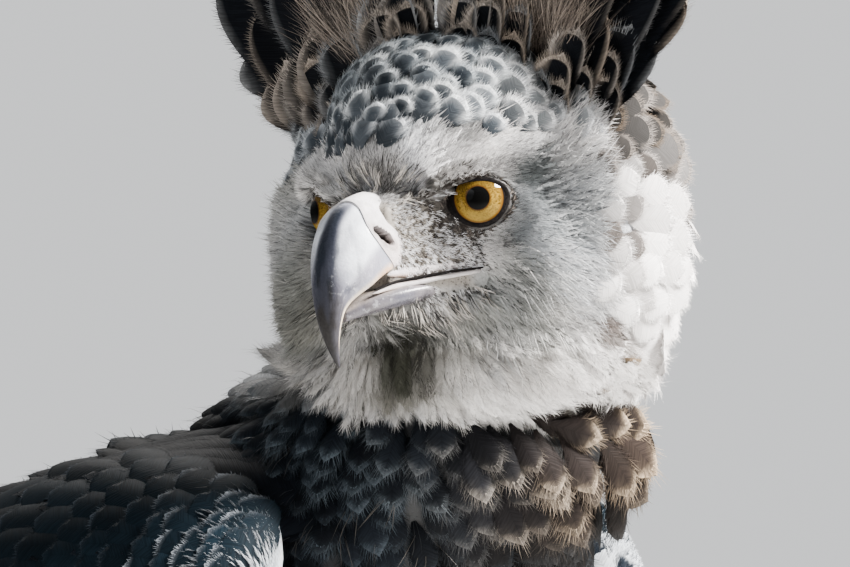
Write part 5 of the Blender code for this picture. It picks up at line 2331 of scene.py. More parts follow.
        # painted light: greyer base and whiter fringes on the bird's left side, which faces the key lamp
        painted_lit_side = smooth(26, 42, place[:, 1])
        base = mix(base, rgb(120, 124, 126), 0.8 * painted_lit_side * (0.2 + 0.8 * other))
        fringe = mix(fringe, Tone.WHITE, (0.30 + 0.6 * own) * painted_lit_side)
        fringe = mix(fringe, Tone.PALE, 0.5 * smooth(30, 18, place[:, 2]))
        form = Vane(
            length=14.5, half_width=5.4, rows=6, columns=8, widest=0.72, fullness=0.48, cup=0.14,
            barbs=132, barb=3.0, barb_width=0.22, fringe_from=0.30, splay=0.36, ruffle=0.24,
        )
        batch = self.batch(
            spots, way, 13.5 * MM * scale, spots.depth * (0.85 + 0.3 * other) + 0.0016 * own, base, fringe,
            rise=0.0018, fringe_low=0.36, fringe_high=1.05, strand_play=0.40, tip_from=0.52,
        )
        self.coat.lay("crown_scallops", form, batch, Finishes.CROWN, "face_plumage", variants=9)

    def in_rows(self, zone: Array, along: float, across: float, sway: float, seed: int) -> Spots:
        """Roots in wavy rows across the lie, so that broad tips show as crescents.

        Args:
            zone: which vertices of the skin take them.
            along: millimetres from row to row.
            across: least distance within a row, in millimetres.
            sway: how far the rows wave, in millimetres.
            seed: for the waves.

        Returns:
            The roots.
        """
        many = self.skin.sown(26000, zone.astype(float), self.coat.rng)
        place = self.head.inn(many.points)
        run = np.linalg.norm(place - np.array(self.bill_root), axis=1) + sway * Noise.value(place, 18.0, seed)
        row = np.round(run / along).astype(int)
        rows: dict[int, list[int]] = {}
        for i in np.flatnonzero(np.abs(run / along - row) < 0.12).tolist():
            mates = rows.setdefault(int(row[i]), [])
            if not mates or np.linalg.norm(place[mates] - place[i], axis=1).min() > across:
                mates.append(i)
        return many.pick(np.array(sorted(sum(rows.values(), []))))

    def rows(self) -> None:
        """Broad scalloped feathers in rows behind the bird's left cheek, brown with pale edges and painted
        shade in the troughs between rows.
        """
        spots = self.in_rows(self.row_zone, 6.6, 7.4, 5.0, 137)
        place = self.head.inn(spots.points)
        own, other = self.coat.rng.random(len(spots)), self.coat.rng.random(len(spots))
        way = self._wander(spots, self.stream(spots), 0.42, 0.020, 47)
        row = place[:, 0] + 0.25 * place[:, 2] + 3.0 * Noise.value(place, 16.0, 73)
        fold = np.sin(row / 9.0 * 2 * math.pi)
        high = smooth(-8, 20, place[:, 2] + 8 * (own - 0.5))
        base = mix(Tone.WHITE, Tone.UMBER, (0.22 * other)[:, None])
        # painted shade: darker brown base and fringe in the troughs between the rows
        trough_shade = smooth(0.3, -0.6, fold + 0.5 * (own - 0.5)) * smooth(-46, -12, place[:, 2])
        base = mix(base, rgb(52, 42, 35), 0.92 * trough_shade)
        base = mix(base, rgb(16, 13, 10), 0.97 * high)
        fringe = mix(rows_of(Tone.WHITE, len(spots)), rgb(98, 85, 72), high * (0.75 + 0.25 * other))
        fringe = mix(fringe, rgb(92, 78, 67), 0.80 * trough_shade * (1 - high))
        form = Vane(
            length=17.0, half_width=6.2, rows=7, columns=7, widest=0.68, fullness=0.50, cup=0.16,
            barbs=124, barb=2.7, barb_width=0.22, fringe_from=0.20, splay=0.36, ruffle=0.22,
        )
        lift = spots.depth * (0.85 + 0.30 * own) + 0.0013 * (0.6 + fold)
        batch = self.batch(
            spots, way, (13.5 + 4.5 * own) * MM, lift, base, fringe, rise=0.0012,
            fringe_low=0.74, fringe_high=1.20, strand_play=0.34, tip_from=0.55, root_dark=0.3,
        )
        self.coat.lay("ruff_rows", form, batch, Finishes.RUFF, "collar_plumage", variants=9)

    def ruff(self) -> None:
        """Loose white feathers of the ruff and the bib, with painted shade under the bill and in the troughs
        of the folds.
        """
        gap = 2.35 + 0.9 * smooth(-55, -85, self.head.inn(self.skin.corners)[:, 0])
        spots = self.skin.spaced(gap * MM, self.ruff_zone.astype(float), self.coat.rng)
        place = self.head.inn(spots.points)
        own = self.coat.rng.random(len(spots))
        way = self._wander(spots, self.stream(spots), 0.30, 0.020, 61)
        side = smooth(-38, -46, place[:, 0]) * smooth(-56, -44, place[:, 2])
        fold = np.sin((place[:, 0] + 3.5 * Noise.value(place, 14.0, 67)) / 8.5 * 2 * math.pi) * side
        # darker under the bill: the throat's own olive, and painted shadow of the bill
        olive_and_bill_shadow = bump(np.linalg.norm(place - [13.0, 3.0, -49.0], axis=1) + 5 * (own - 0.5), 0.0, 15.0)
        creamy = 0.5 * smooth(-40, -50, place[:, 2]) * (1 - olive_and_bill_shadow)
        base = mix(self.marks.on_head(place), Tone.CREAM, creamy)
        base = mix(base, rgb(50, 52, 42), 0.72 * olive_and_bill_shadow)
        blotch = smooth(0.58, 0.78, Noise.cloud(place, 13.0, 71)) * own * smooth(-48, -22, place[:, 2])
        # brown blotches of the ruff's own, and painted shade in the troughs of the folds
        base = mix(base, Tone.UMBER, np.clip(0.75 * blotch + 0.5 * smooth(-0.2, -0.9, fold) * own, 0, 1))
        form = Vane(
            length=17.0, half_width=1.7, rows=5, columns=1, widest=0.54, fullness=0.8, cup=0.15,
            barbs=64, barb=4.8, barb_width=0.20, fringe_from=0.02, splay=0.26, ruffle=0.16,
        )
        locks = self.locks(place, 6.0, 149)
        base = base * (0.68 + 0.56 * locks)[:, None]
        fringe = self.lighter(base, 0.30 + 0.4 * smooth(34, 56, place[:, 1]))
        high = smooth(-6, 14, place[:, 2])
        base = mix(base, Tone.UMBER, 0.55 * high * (0.4 + 0.6 * own))
        fringe = mix(fringe, Tone.CREAM, 0.5 * high)
        lift = spots.depth * (0.85 + 0.40 * own + 0.35 * fold) + self.bulk(place)
        batch = self.batch(
            spots, way, (10.5 + 5.5 * own) * MM, lift, base, fringe, rise=0.0012,
            fringe_low=0.0, fringe_high=1.2, tip_from=0.3, strand_play=0.18, root_dark=0.3,
            streak=base * 0.4, streak_share=0.06 + 0.14 * smooth(-62, -44, place[:, 2]) * own,
        )
        self.coat.lay("ruff_feathers", form, batch, Finishes.RUFF, "collar_plumage", variants=9)


# ---------------------------------------------------------------- bill, mouth, eyes and brow


def swept(
    path: Array, up: Array, half_up: Array, half_side: Array, sides: int = 14, squareness: float = 2.0
) -> tuple[Array, Array]:
    """A closed tube along a path.

    Args:
        path: points of its middle line.
        up: roughly upward directions.
        half_up: half its height at each point.
        half_side: half its breadth at each point.
        sides: points round it.
        squareness: 2 for an oval, more for a box.

    Returns:
        Points and quads; the ends close on a point.
    """
    along = unit(np.gradient(path, axis=0))
    side = unit(np.cross(along, up))
    over = np.cross(side, along)
    turn = full_turn(sides)
    c, s = np.cos(turn), np.sin(turn)
    c = np.sign(c) * np.abs(c) ** (2 / squareness)
    s = np.sign(s) * np.abs(s) ** (2 / squareness)
    rings = path[:, None] + side[:, None] * (c[None, :, None] * half_side[:, None, None])
    rings = rings + over[:, None] * (s[None, :, None] * half_up[:, None, None])
    return rings.reshape(-1, 3), grid_faces(len(path), sides, closed=True)[:, ::-1]


def curve_through(points: tuple[tuple[float, ...], ...], count: int) -> Array:
    """Evenly numbered points on the smooth curve through some points."""
    return through(points, np.linspace(0, len(points) - 1, count))


@dataclass
class Bill:
    """Upper bill, cere with its nostrils, and lower bill, in head millimetres (forward, up)."""

    head: HeadFrame
    culmen: tuple = ((30.0, 0.8), (43.5, -4.5), (55.0, -37.0), (38.8, -56.0))
    tomium: tuple = ((21.5, -22.6), (33.0, -27.5), (43.0, -36.0), (38.3, -55.3))
    cere_top: tuple = ((4.0, 4.5), (14.0, 6.2), (24.0, 4.4), (30.4, 1.3))
    cere_bottom: tuple = ((-2.0, -22.0), (6.0, -22.4), (14.0, -22.5), (21.5, -22.5))
    lower_top: tuple = ((-11.0, -24.0), (8.0, -25.4), (28.0, -26.0), (37.5, -36.8))
    lower_bottom: tuple = ((-11.0, -34.0), (6.0, -34.6), (24.0, -37.0), (36.4, -40.6))
    widths: tuple[float, float] = (13.0, 0.5)  # half widths of the horn at root and tip
    cere_widths: tuple[float, float] = (14.6, 13.25)
    lower_widths: tuple[float, float] = (20.6, 3.0)
    taper: float = 1.6
    border_swell: float = 6.5  # how far the horn's border stands forward on the cheeks of the bill
    nostril: tuple[float, float] = (26.6, -11.6)
    nostril_size: tuple[float, float] = (4.3, 1.55)
    nostril_tilt: float = math.radians(36)

    # One side of the upper bill's section from ridge to edge and into the palate: height and half width.
    SECTION = (
        (1.0, 0.0), (0.985, 0.16), (0.95, 0.31), (0.88, 0.49), (0.78, 0.65),
        (0.66, 0.78), (0.52, 0.90), (0.38, 0.98), (0.24, 1.0), (0.12, 1.0),
        (0.03, 0.98), (0.0, 0.93), (0.03, 0.84), (0.10, 0.55), (0.14, 0.0),
    )

    def build(self) -> None:
        """Makes the three pieces."""
        self.upper()
        self.cere()
        self.lower()

    def _section(self, fine: int) -> tuple[Array, Array]:
        """Heights and half widths round the whole section, with fine points to each one given.

        Args:
            fine: points from one given point to the next.

        Returns:
            Heights and half widths.
        """
        half = curve_through(self.SECTION, (len(self.SECTION) - 1) * fine + 1)
        section = np.concatenate([half, half[-2:0:-1] * [1, -1]])
        return section[:, 0], section[:, 1]

    def _swelling(self, height: Array) -> Array:
        """How far forward the border between cere and horn stands at each share of the bill's height."""
        return self.border_swell * np.sin(np.pi * np.clip(height, 0, 1) ** 1.1) ** 1.2

    def _piece(
        self, name: str, places: Array, faces: Array, paint: Array, wear: Array, finish: Finish
    ) -> None:
        """Turns head places into a finished piece that stands for the CAD node of its name.

        Args:
            name: the CAD node's name.
            places: rows of head millimetres.
            faces: rows of vertex numbers.
            paint: a colour for each place.
            wear: a vector for each place: stains, scratches, matt.
            finish: its surface.
        """
        obj = mesh_object(f"{name}_shape", self.head.out(places), [faces])
        with editing(obj):
            bpy.ops.mesh.remove_doubles(threshold=2 * MERGE)
            bpy.ops.mesh.select_mode(type="VERT")
            bpy.ops.mesh.select_all(action="DESELECT")
            bpy.ops.mesh.select_non_manifold()
            bpy.ops.mesh.fill_holes(sides=0)
            bpy.ops.mesh.select_all(action="SELECT")
            bpy.ops.mesh.normals_make_consistent(inside=False)
        bpy.ops.object.shade_smooth_by_angle(angle=math.radians(50))
        made = self.head.inn(coordinates(obj.data))
        tree = BVHTree.FromPolygons(places.tolist(), faces.tolist())
        nearest = np.array([faces[tree.find_nearest(p)[2]] for p in made.tolist()])
        gaps = np.linalg.norm(places[nearest] - made[:, None], axis=2)
        which = nearest[np.arange(len(made)), gaps.argmin(axis=1)]
        put_colours(obj.data, "paint", paint[which])
        put_vectors(obj.data, "wear", wear[which])
        finish.dress(obj)
        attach(obj, BODY)
        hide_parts(name)
        LOG.info("%s: %d faces", name, len(obj.data.polygons))

    def upper(self) -> None:
        """The hooked upper bill."""
        steps = 64
        t = np.linspace(0, 1, steps) ** 0.95
        high, low = cubic(self.culmen, t), cubic(self.tomium, t)
        wide = between(self.widths[::-1], 1 - t**self.taper)
        v, x = self._section(3)
        lower_narrow = mix(np.ones(steps), np.full(steps, 0.42), smooth(0.28, 0.62, t))
        low_share = smooth(0.75, 0.05, v)
        narrow = 1 - low_share[None] * (1 - lower_narrow[:, None])
        up = mix(low[:, None], high[:, None], np.broadcast_to(v, (steps, len(v))))
        left = x[None] * wide[:, None] * narrow
        ahead = up[..., 0] + self._swelling(v)[None] * (1 - t[:, None]) ** 3
        flat = np.stack([ahead, left, up[..., 1]], axis=-1)
        full = np.broadcast_to(v, left.shape).ravel()
        long = np.broadcast_to(t[:, None], left.shape).ravel()
        places = flat.reshape(-1, 3)
        colour = mix(rows_of(rgb(140, 142, 156), len(places)), rgb(92, 92, 104), smooth(0.35, 0.6, long))
        # painted highlight: a near-white bluish band on the upper side of the horn
        pale = smooth(0.56, 0.26, long) * smooth(0.26, 0.40, full) * smooth(0.985, 0.90, full)
        colour = mix(colour, rgb(240, 246, 255), 0.95 * pale * (0.65 + 0.35 * Noise.cloud(places, 5.0, 137)))
        colour = mix(colour, rgb(150, 146, 156), 0.6 * bump(full, 0.24, 0.14) * bump(long, 0.26, 0.24))
        ridge = smooth(0.93 - 0.22 * smooth(0.2, 0.62, long), 0.995 - 0.06 * smooth(0.2, 0.62, long), full)
        colour = mix(colour, rgb(14, 22, 34), 0.97 * ridge * smooth(-0.06, 0.14, long))
        tipward = smooth(0.44, 0.70, long)
        colour = mix(colour, rgb(22, 19, 19), 0.97 * tipward * smooth(-0.25, 0.2, full))
        streaks = smooth(0.5, 0.75, Noise.cloud(places * [1.0, 1.0, 0.22], 3.4, 131))
        streaks = 0.8 * streaks * bump(long, 0.52, 0.28) * smooth(0.05, 0.3, full)
        colour = mix(colour, rgb(48, 50, 62), streaks)
        edge = smooth(0.11, 0.03, full) * smooth(0.95, 0.8, long)
        colour = mix(colour, rgb(226, 208, 182), 0.85 * edge)
        colour = mix(colour, rgb(186, 132, 84), 0.7 * edge * bump(long, 0.12, 0.14))
        base = smooth(0.035, 0.0, long)
        colour = mix(colour, rgb(90, 96, 104), 0.6 * base)
        stained = smooth(0.97, 0.8, full) * (0.4 + 0.6 * bump(long, 0.4, 0.35))
        scratched = smooth(0.98, 0.85, full) * (1 - tipward)
        matt = np.clip(0.9 * tipward + 0.6 * ridge, 0, 0.93)
        wear = np.stack([stained, scratched, matt], 1)
        faces = grid_faces(steps, len(v), closed=True)
        self._piece("bill_upper", places, faces, colour, wear, Finishes.BILL)

    def cere(self) -> None:
        """The waxy skin behind the horn, with the nostrils sunk into it."""
        steps = 44
        t = np.linspace(0, 1, steps)
        high, low = cubic(self.cere_top, t), cubic(self.cere_bottom, t)
        wide = between(self.cere_widths, t)
        v, x = self._section(5)
        up = mix(low[:, None], high[:, None], np.broadcast_to(v, (steps, len(v))))
        groove = 0.35 * bump(t, 0.965, 0.02)
        sunk = 0.74 + 0.26 * smooth(0.1, 0.62, t)  # the rear end lies under the skin
        left = x[None] * ((wide - groove) * sunk)[:, None]
        up = mix(up, np.broadcast_to(((high + low) / 2)[:, None], up.shape), (1 - sunk)[:, None])
        ahead = up[..., 0] + self._swelling(v)[None] * t[:, None] ** 1.5
        upward = up[..., 1] - (groove * 0.7)[:, None] * v[None]
        places = np.stack([ahead, left, upward], axis=-1).reshape(-1, 3)
        c, s = math.cos(self.nostril_tilt), math.sin(self.nostril_tilt)
        df, du = places[:, 0] - self.nostril[0], places[:, 2] - self.nostril[1]
        long, short = (df * c + du * s) / self.nostril_size[0], (-df * s + du * c) / self.nostril_size[1]
        hole = np.sqrt(long**2 + short**2)
        side = np.sign(places[:, 1]) * (np.abs(places[:, 1]) > 5)
        places[:, 1] -= side * 5.4 * smooth(1.2, 0.75, hole)
        places[:, 1] += side * 0.5 * bump(hole, 1.5, 0.35) * (places[:, 0] < self.nostril[0] + 1.0)
        colour = rows_of(rgb(196, 192, 194), len(places))
        colour = mix(colour, rgb(216, 214, 216), smooth(-8, 2, places[:, 2]))
        colour = mix(colour, rgb(206, 188, 184), 0.5 * smooth(-8, -18, places[:, 2]))
        # painted shade: the nostrils' hollows are nearly black
        colour = mix(colour, rgb(3, 2, 2), smooth(1.32, 1.05, hole) * np.abs(side))
        colour = mix(colour, rgb(120, 104, 98), 0.5 * bump(hole, 1.45, 0.3) * np.abs(side))
        line = np.broadcast_to(bump(t, 0.985, 0.012)[:, None], left.shape).ravel()
        colour = mix(colour, rgb(70, 70, 76), 0.7 * line)
        clean = 1 - smooth(1.6, 1.2, hole) * np.abs(side)
        wear = np.stack([clean, 0.4 * clean, 1 - clean], 1)
        faces = grid_faces(steps, len(v), closed=True)
        self._piece("cere", places, faces, colour, wear, Finishes.CERE)

    def lower(self) -> None:
        """The lower bill, mostly behind the upper one's edge."""
        steps, sides = 40, 44
        t = np.linspace(0, 1, steps)
        high, low = cubic(self.lower_top, t), cubic(self.lower_bottom, t)
        wide = between(self.lower_widths[::-1], 1 - t**2.2)
        turn = full_turn(sides)
        x = np.sign(np.cos(turn)) * np.abs(np.cos(turn)) ** 0.75
        v = 0.5 + 0.5 * np.sign(np.sin(turn)) * np.abs(np.sin(turn)) ** 0.8
        v = np.where(v > 0.85, 0.85 + (v - 0.85) * 0.3, v)
        up = mix(low[:, None], high[:, None], np.broadcast_to(v, (steps, sides)))
        places = np.stack([up[..., 0], x[None] * wide[:, None], up[..., 1]], axis=-1).reshape(-1, 3)
        full = np.broadcast_to(v, (steps, sides)).ravel()
        clouded = 0.5 + 1.0 * Noise.cloud(places, 3.6, 139)
        colour = rows_of(rgb(82, 78, 82), len(places)) * clouded[:, None]
        colour = mix(colour, rgb(170, 158, 146), 0.6 * smooth(0.66, 0.92, full))
        colour = mix(colour, rgb(172, 164, 156), 0.4 * smooth(12, 2, places[:, 0]))
        colour = mix(colour, rgb(62, 64, 74), 0.7 * bump(places[:, 0], 20.0, 3.4) * bump(full, 0.42, 0.3))
        wear = np.stack([np.ones(len(places)), 0.8 * np.ones(len(places)), np.zeros(len(places))], 1)
        faces = grid_faces(steps, sides, closed=True)
        self._piece("bill_lower", places, faces, colour, wear, Finishes.BILL)


@dataclass
class Mouth:
    """The fleshy edges of the mouth from the bill back to the corner, and the dark line between them."""

    head: HeadFrame
    skin: Skin
    upper_path: tuple = (
        (24.5, 11.8, -24.9), (18.0, 13.9, -24.2), (13.4, 15.4, -23.8),
        (6.0, 21.8, -22.7), (1.7, 29.8, -22.6), (0.4, 34.4, -22.9),
    )
    lower_path: tuple = (
        (31.0, 9.6, -31.2), (21.7, 12.3, -28.9), (13.4, 15.2, -27.7),
        (6.0, 21.6, -26.1), (1.7, 29.7, -25.1), (0.6, 34.2, -24.5),
    )
    line_path: tuple = (
        (30.4, 10.6, -30.0), (21.7, 12.6, -27.4), (13.4, 15.4, -26.1),
        (6.0, 21.8, -24.7), (1.7, 29.8, -24.0), (0.4, 35.0, -23.7),
    )
    look: tuple[float, float, float] = (0.799, 0.602, 0.0)  # outwards from the mouth's side
    reach: float = 9.0  # mm within which a path may be moved on to the skin
    outside: float = 30.0  # mm from which the skin is looked for

    def _on_skin(self, path: tuple, count: int, side: Side, above: float) -> Array:
        """A smooth path whose rear part lies on the skin, mirrored for the right side.

        Args:
            path: on the left side, in head millimetres.
            count: how many points.
            side: the side that it lies on.
            above: millimetres over the skin.

        Returns:
            Rows of head millimetres.
        """
        line = curve_through(path, count)
        way = np.array(self.look)
        found = []
        inward = Vector(self.head.turn_out(-way))
        for start in self.head.out(line + way * self.outside):
            hit = self.skin.tree.ray_cast(Vector(start), inward, 2 * self.outside * MM)[0]
            found.append((self.outside - (Vector(start) - hit).length / MM) if hit else 0.0)
        shift = np.array(found)
        shift = np.where(np.abs(shift) < self.reach, shift, 0.0)
        shift = shift * smooth(0.16, 0.34, np.linspace(0, 1, count))
        shift = np.convolve(np.pad(shift, 3, mode="edge"), np.full(7, 1 / 7), mode="valid")
        return (line + way * (shift + above)[:, None]) * [1, side.value, 1]

    def build(self) -> None:
        """Makes the flanges of both sides and the line."""
        skin_tone, rim = rgb(196, 190, 190), rgb(128, 112, 106)
        for side in Side:
            upper = {"path": self.upper_path, "high": 2.3, "broad": 1.7, "above": -0.85}
            lower = {"path": self.lower_path, "high": 1.3, "broad": 1.4, "above": 0.1}
            for name, sizes in (("upper", upper), ("lower", lower)):
                self._flange(f"gape_{name}_{side.label}", side=side, tone=skin_tone, rim=rim, **sizes)
            path = self._on_skin(self.line_path, 40, side, 0.5)
            size = np.full(40, 0.95) * np.sin(np.linspace(0.15, math.pi - 0.1, 40)) ** 0.3
            points, faces = swept(path, rows_of(UP, 40), size * 0.5, size * 1.3, 8)
            obj = mesh_object(f"mouth_line_{side.label}", self.head.out(points), [faces])
            Finishes.LID.dress(obj)
            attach(obj, BODY)

    def _flange(
        self, name: str, path: tuple, side: Side, high: float, broad: float, above: float,
        tone: Array, rim: Array,
    ) -> None:
        """One soft rolled edge.

        Args:
            name: of the piece.
            path: its middle line on the left side, in head mm.
            side: the side that it lies on.
            high: half its height in front, in mm.
            broad: half its breadth in front, in mm.
            above: how far over the skin its middle lies, in mm.
            tone: its colour.
            rim: the colour of the edge towards the mouth.
        """
        count, sides = 46, 18
        line = self._on_skin(path, count, side, above)
        s = np.linspace(0, 1, count)
        size = (1 - 0.5 * s) * rounded_ends(s, 0.06, 0.05, 0.02)
        size = size * (1 + 0.05 * np.sin(s * 41)) * (0.45 + 0.55 * smooth(0.0, 0.26, s))
        points, faces = swept(line, rows_of(UP, count), size * high, size * broad, sides, 2.3)
        obj = mesh_object(name, self.head.out(points), [faces])
        height = points[:, 2] - np.repeat(line[:, 2], sides)
        inner = smooth(0.0, -high, height * (1 if "upper" in name else -1))
        colour = mix(rows_of(tone, len(points)), rim, inner)
        horny = 0.55 * np.repeat(smooth(0.4, 0.05, s), sides) * smooth(0.5, -1.5, height)
        colour = mix(colour, rgb(198, 150, 108), horny)
        colour = mix(colour, rgb(70, 66, 66), 0.6 * np.repeat(smooth(0.8, 1.0, s), sides))
        put_colours(obj.data, "paint", colour)
        put_vectors(obj.data, "wear", rows_of([0.8, 0.5, 0.0], len(points)))
        Finishes.CERE.dress(obj)
        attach(obj, BODY)


@dataclass
class Eyes:
    """Eyeballs with iris and pupil, black lids, and the bony brow over them."""

    head: HeadFrame
    orbits: tuple[Orbit, Orbit]
    brow_size: tuple[float, float] = (1.6, 1.6)  # half its height and breadth
    lid_rows: tuple = (  # millimetres outside the opening's edge, and over the ball
        (-0.7, -0.25), (-0.25, 0.25), (0.2, 0.75), (0.6, 0.95),
        (0.95, 0.85), (1.25, 0.5), (1.6, 0.1), (2.0, -0.4),
    )
    front_pocket: float = 0.9  # how much broader the lid is in front

    def build(self) -> None:
        """Makes both eyes."""
        for orbit in self.orbits:
            self.ball(orbit)
            self.lids(orbit)
            self.brow(orbit)

    def ball(self, orbit: Orbit) -> None:
        """The eyeball; its cornea bulges a little.

        Args:
            orbit: the eye's own frame.
        """
        rings, around = 56, 72
        angle = np.linspace(0.0, 1.0, rings) ** 1.25 * math.pi
        turn = full_turn(around)
        grid_angle, grid_turn = np.meshgrid(angle, turn, indexing="ij")
        far = orbit.opening.radius + 0.55 * smooth(0.70, 0.15, grid_angle)
        places = orbit.place(far, grid_angle, grid_turn).reshape(-1, 3)
        faces = grid_faces(rings, around, closed=True)
        obj = mesh_object(f"{orbit.side.label}_eyeball", self.head.out(places), [faces])
        out = (np.sin(grid_angle) * orbit.opening.radius / orbit.opening.iris).ravel()
        out = np.where(grid_angle.ravel() > math.pi / 2, 2.0, out)
        turn = grid_turn.ravel()
        put_vectors(obj.data, "eye", np.stack([out, np.cos(turn) * out, np.sin(turn) * out], 1))
        self._close(obj)
        Finishes.EYE.dress(obj)
        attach(obj, BODY)
        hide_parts(f"eye_{orbit.side.label}")

    @staticmethod
    def _close(obj: bpy.types.Object) -> None:
        """Merges poles and turns the faces outwards.

        Args:
            obj: the piece.
        """
        with editing(obj):
            bpy.ops.mesh.remove_doubles(threshold=MERGE)
            bpy.ops.mesh.normals_make_consistent(inside=False)

    def lids(self, orbit: Orbit) -> None:
        """The black rim round the opening, rolled on to the eyeball.

        Args:
            orbit: the eye's own frame.
        """
        around = 120
        turn = full_turn(around)
        front = np.maximum(0, -np.cos(turn)) ** 3
        opening, ball = orbit.opening_angle(turn), orbit.opening.radius
        rows = []
        for beyond, height in self.lid_rows:
            wrinkle = 0.08 * np.sin(turn * 23) * (beyond > 0.5)
            reach = beyond * (1 + self.front_pocket * front * (beyond > 0))
            rows.append(orbit.place(ball + height + wrinkle, opening + reach / ball, turn))
        faces = grid_faces(len(rows), around, closed=True)
        obj = mesh_object(f"{orbit.side.label}_lids", self.head.out(np.concatenate(rows)), [faces])
        self._close(obj)
        Finishes.LID.dress(obj)
        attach(obj, BODY)

    def brow(self, orbit: Orbit) -> None:
        """The ledge over the eye, pale and speckled, with painted shadow along its underside.

        Args:
            orbit: the eye's own frame.
        """
        count, sides = 60, 20
        line = orbit.brow(count) - orbit.axes[:, 2] * 0.9
        s = np.linspace(0, 1, count)
        size = rounded_ends(s, 0.12, 0.25, 0.01)
        high, broad = self.brow_size
        points, faces = swept(line, rows_of(UP, count), size * high, size * broad, sides)
        points[:, 2] += 0.25 * (Noise.cloud(points, 3.0, 88) - 0.5)
        obj = mesh_object(f"{orbit.side.label}_brow", self.head.out(points), [faces])
        self._close(obj)
        # painted shadow: the underside of the ledge is nearly black
        low = smooth(0.9, -0.5, points[:, 2] - np.repeat(line[:, 2], sides))
        colour = mix(rows_of(rgb(150, 142, 136), len(points)), rgb(24, 20, 18), 0.95 * low)
        put_colours(obj.data, "marking", colour[: len(obj.data.vertices)])
        put_vectors(obj.data, "zones", rows_of([0.0, 0.9, 0.0], len(obj.data.vertices)))
        Finishes.SKIN.dress(obj)
        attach(obj, BODY)


# ---------------------------------------------------------------- plumage of the body and legs


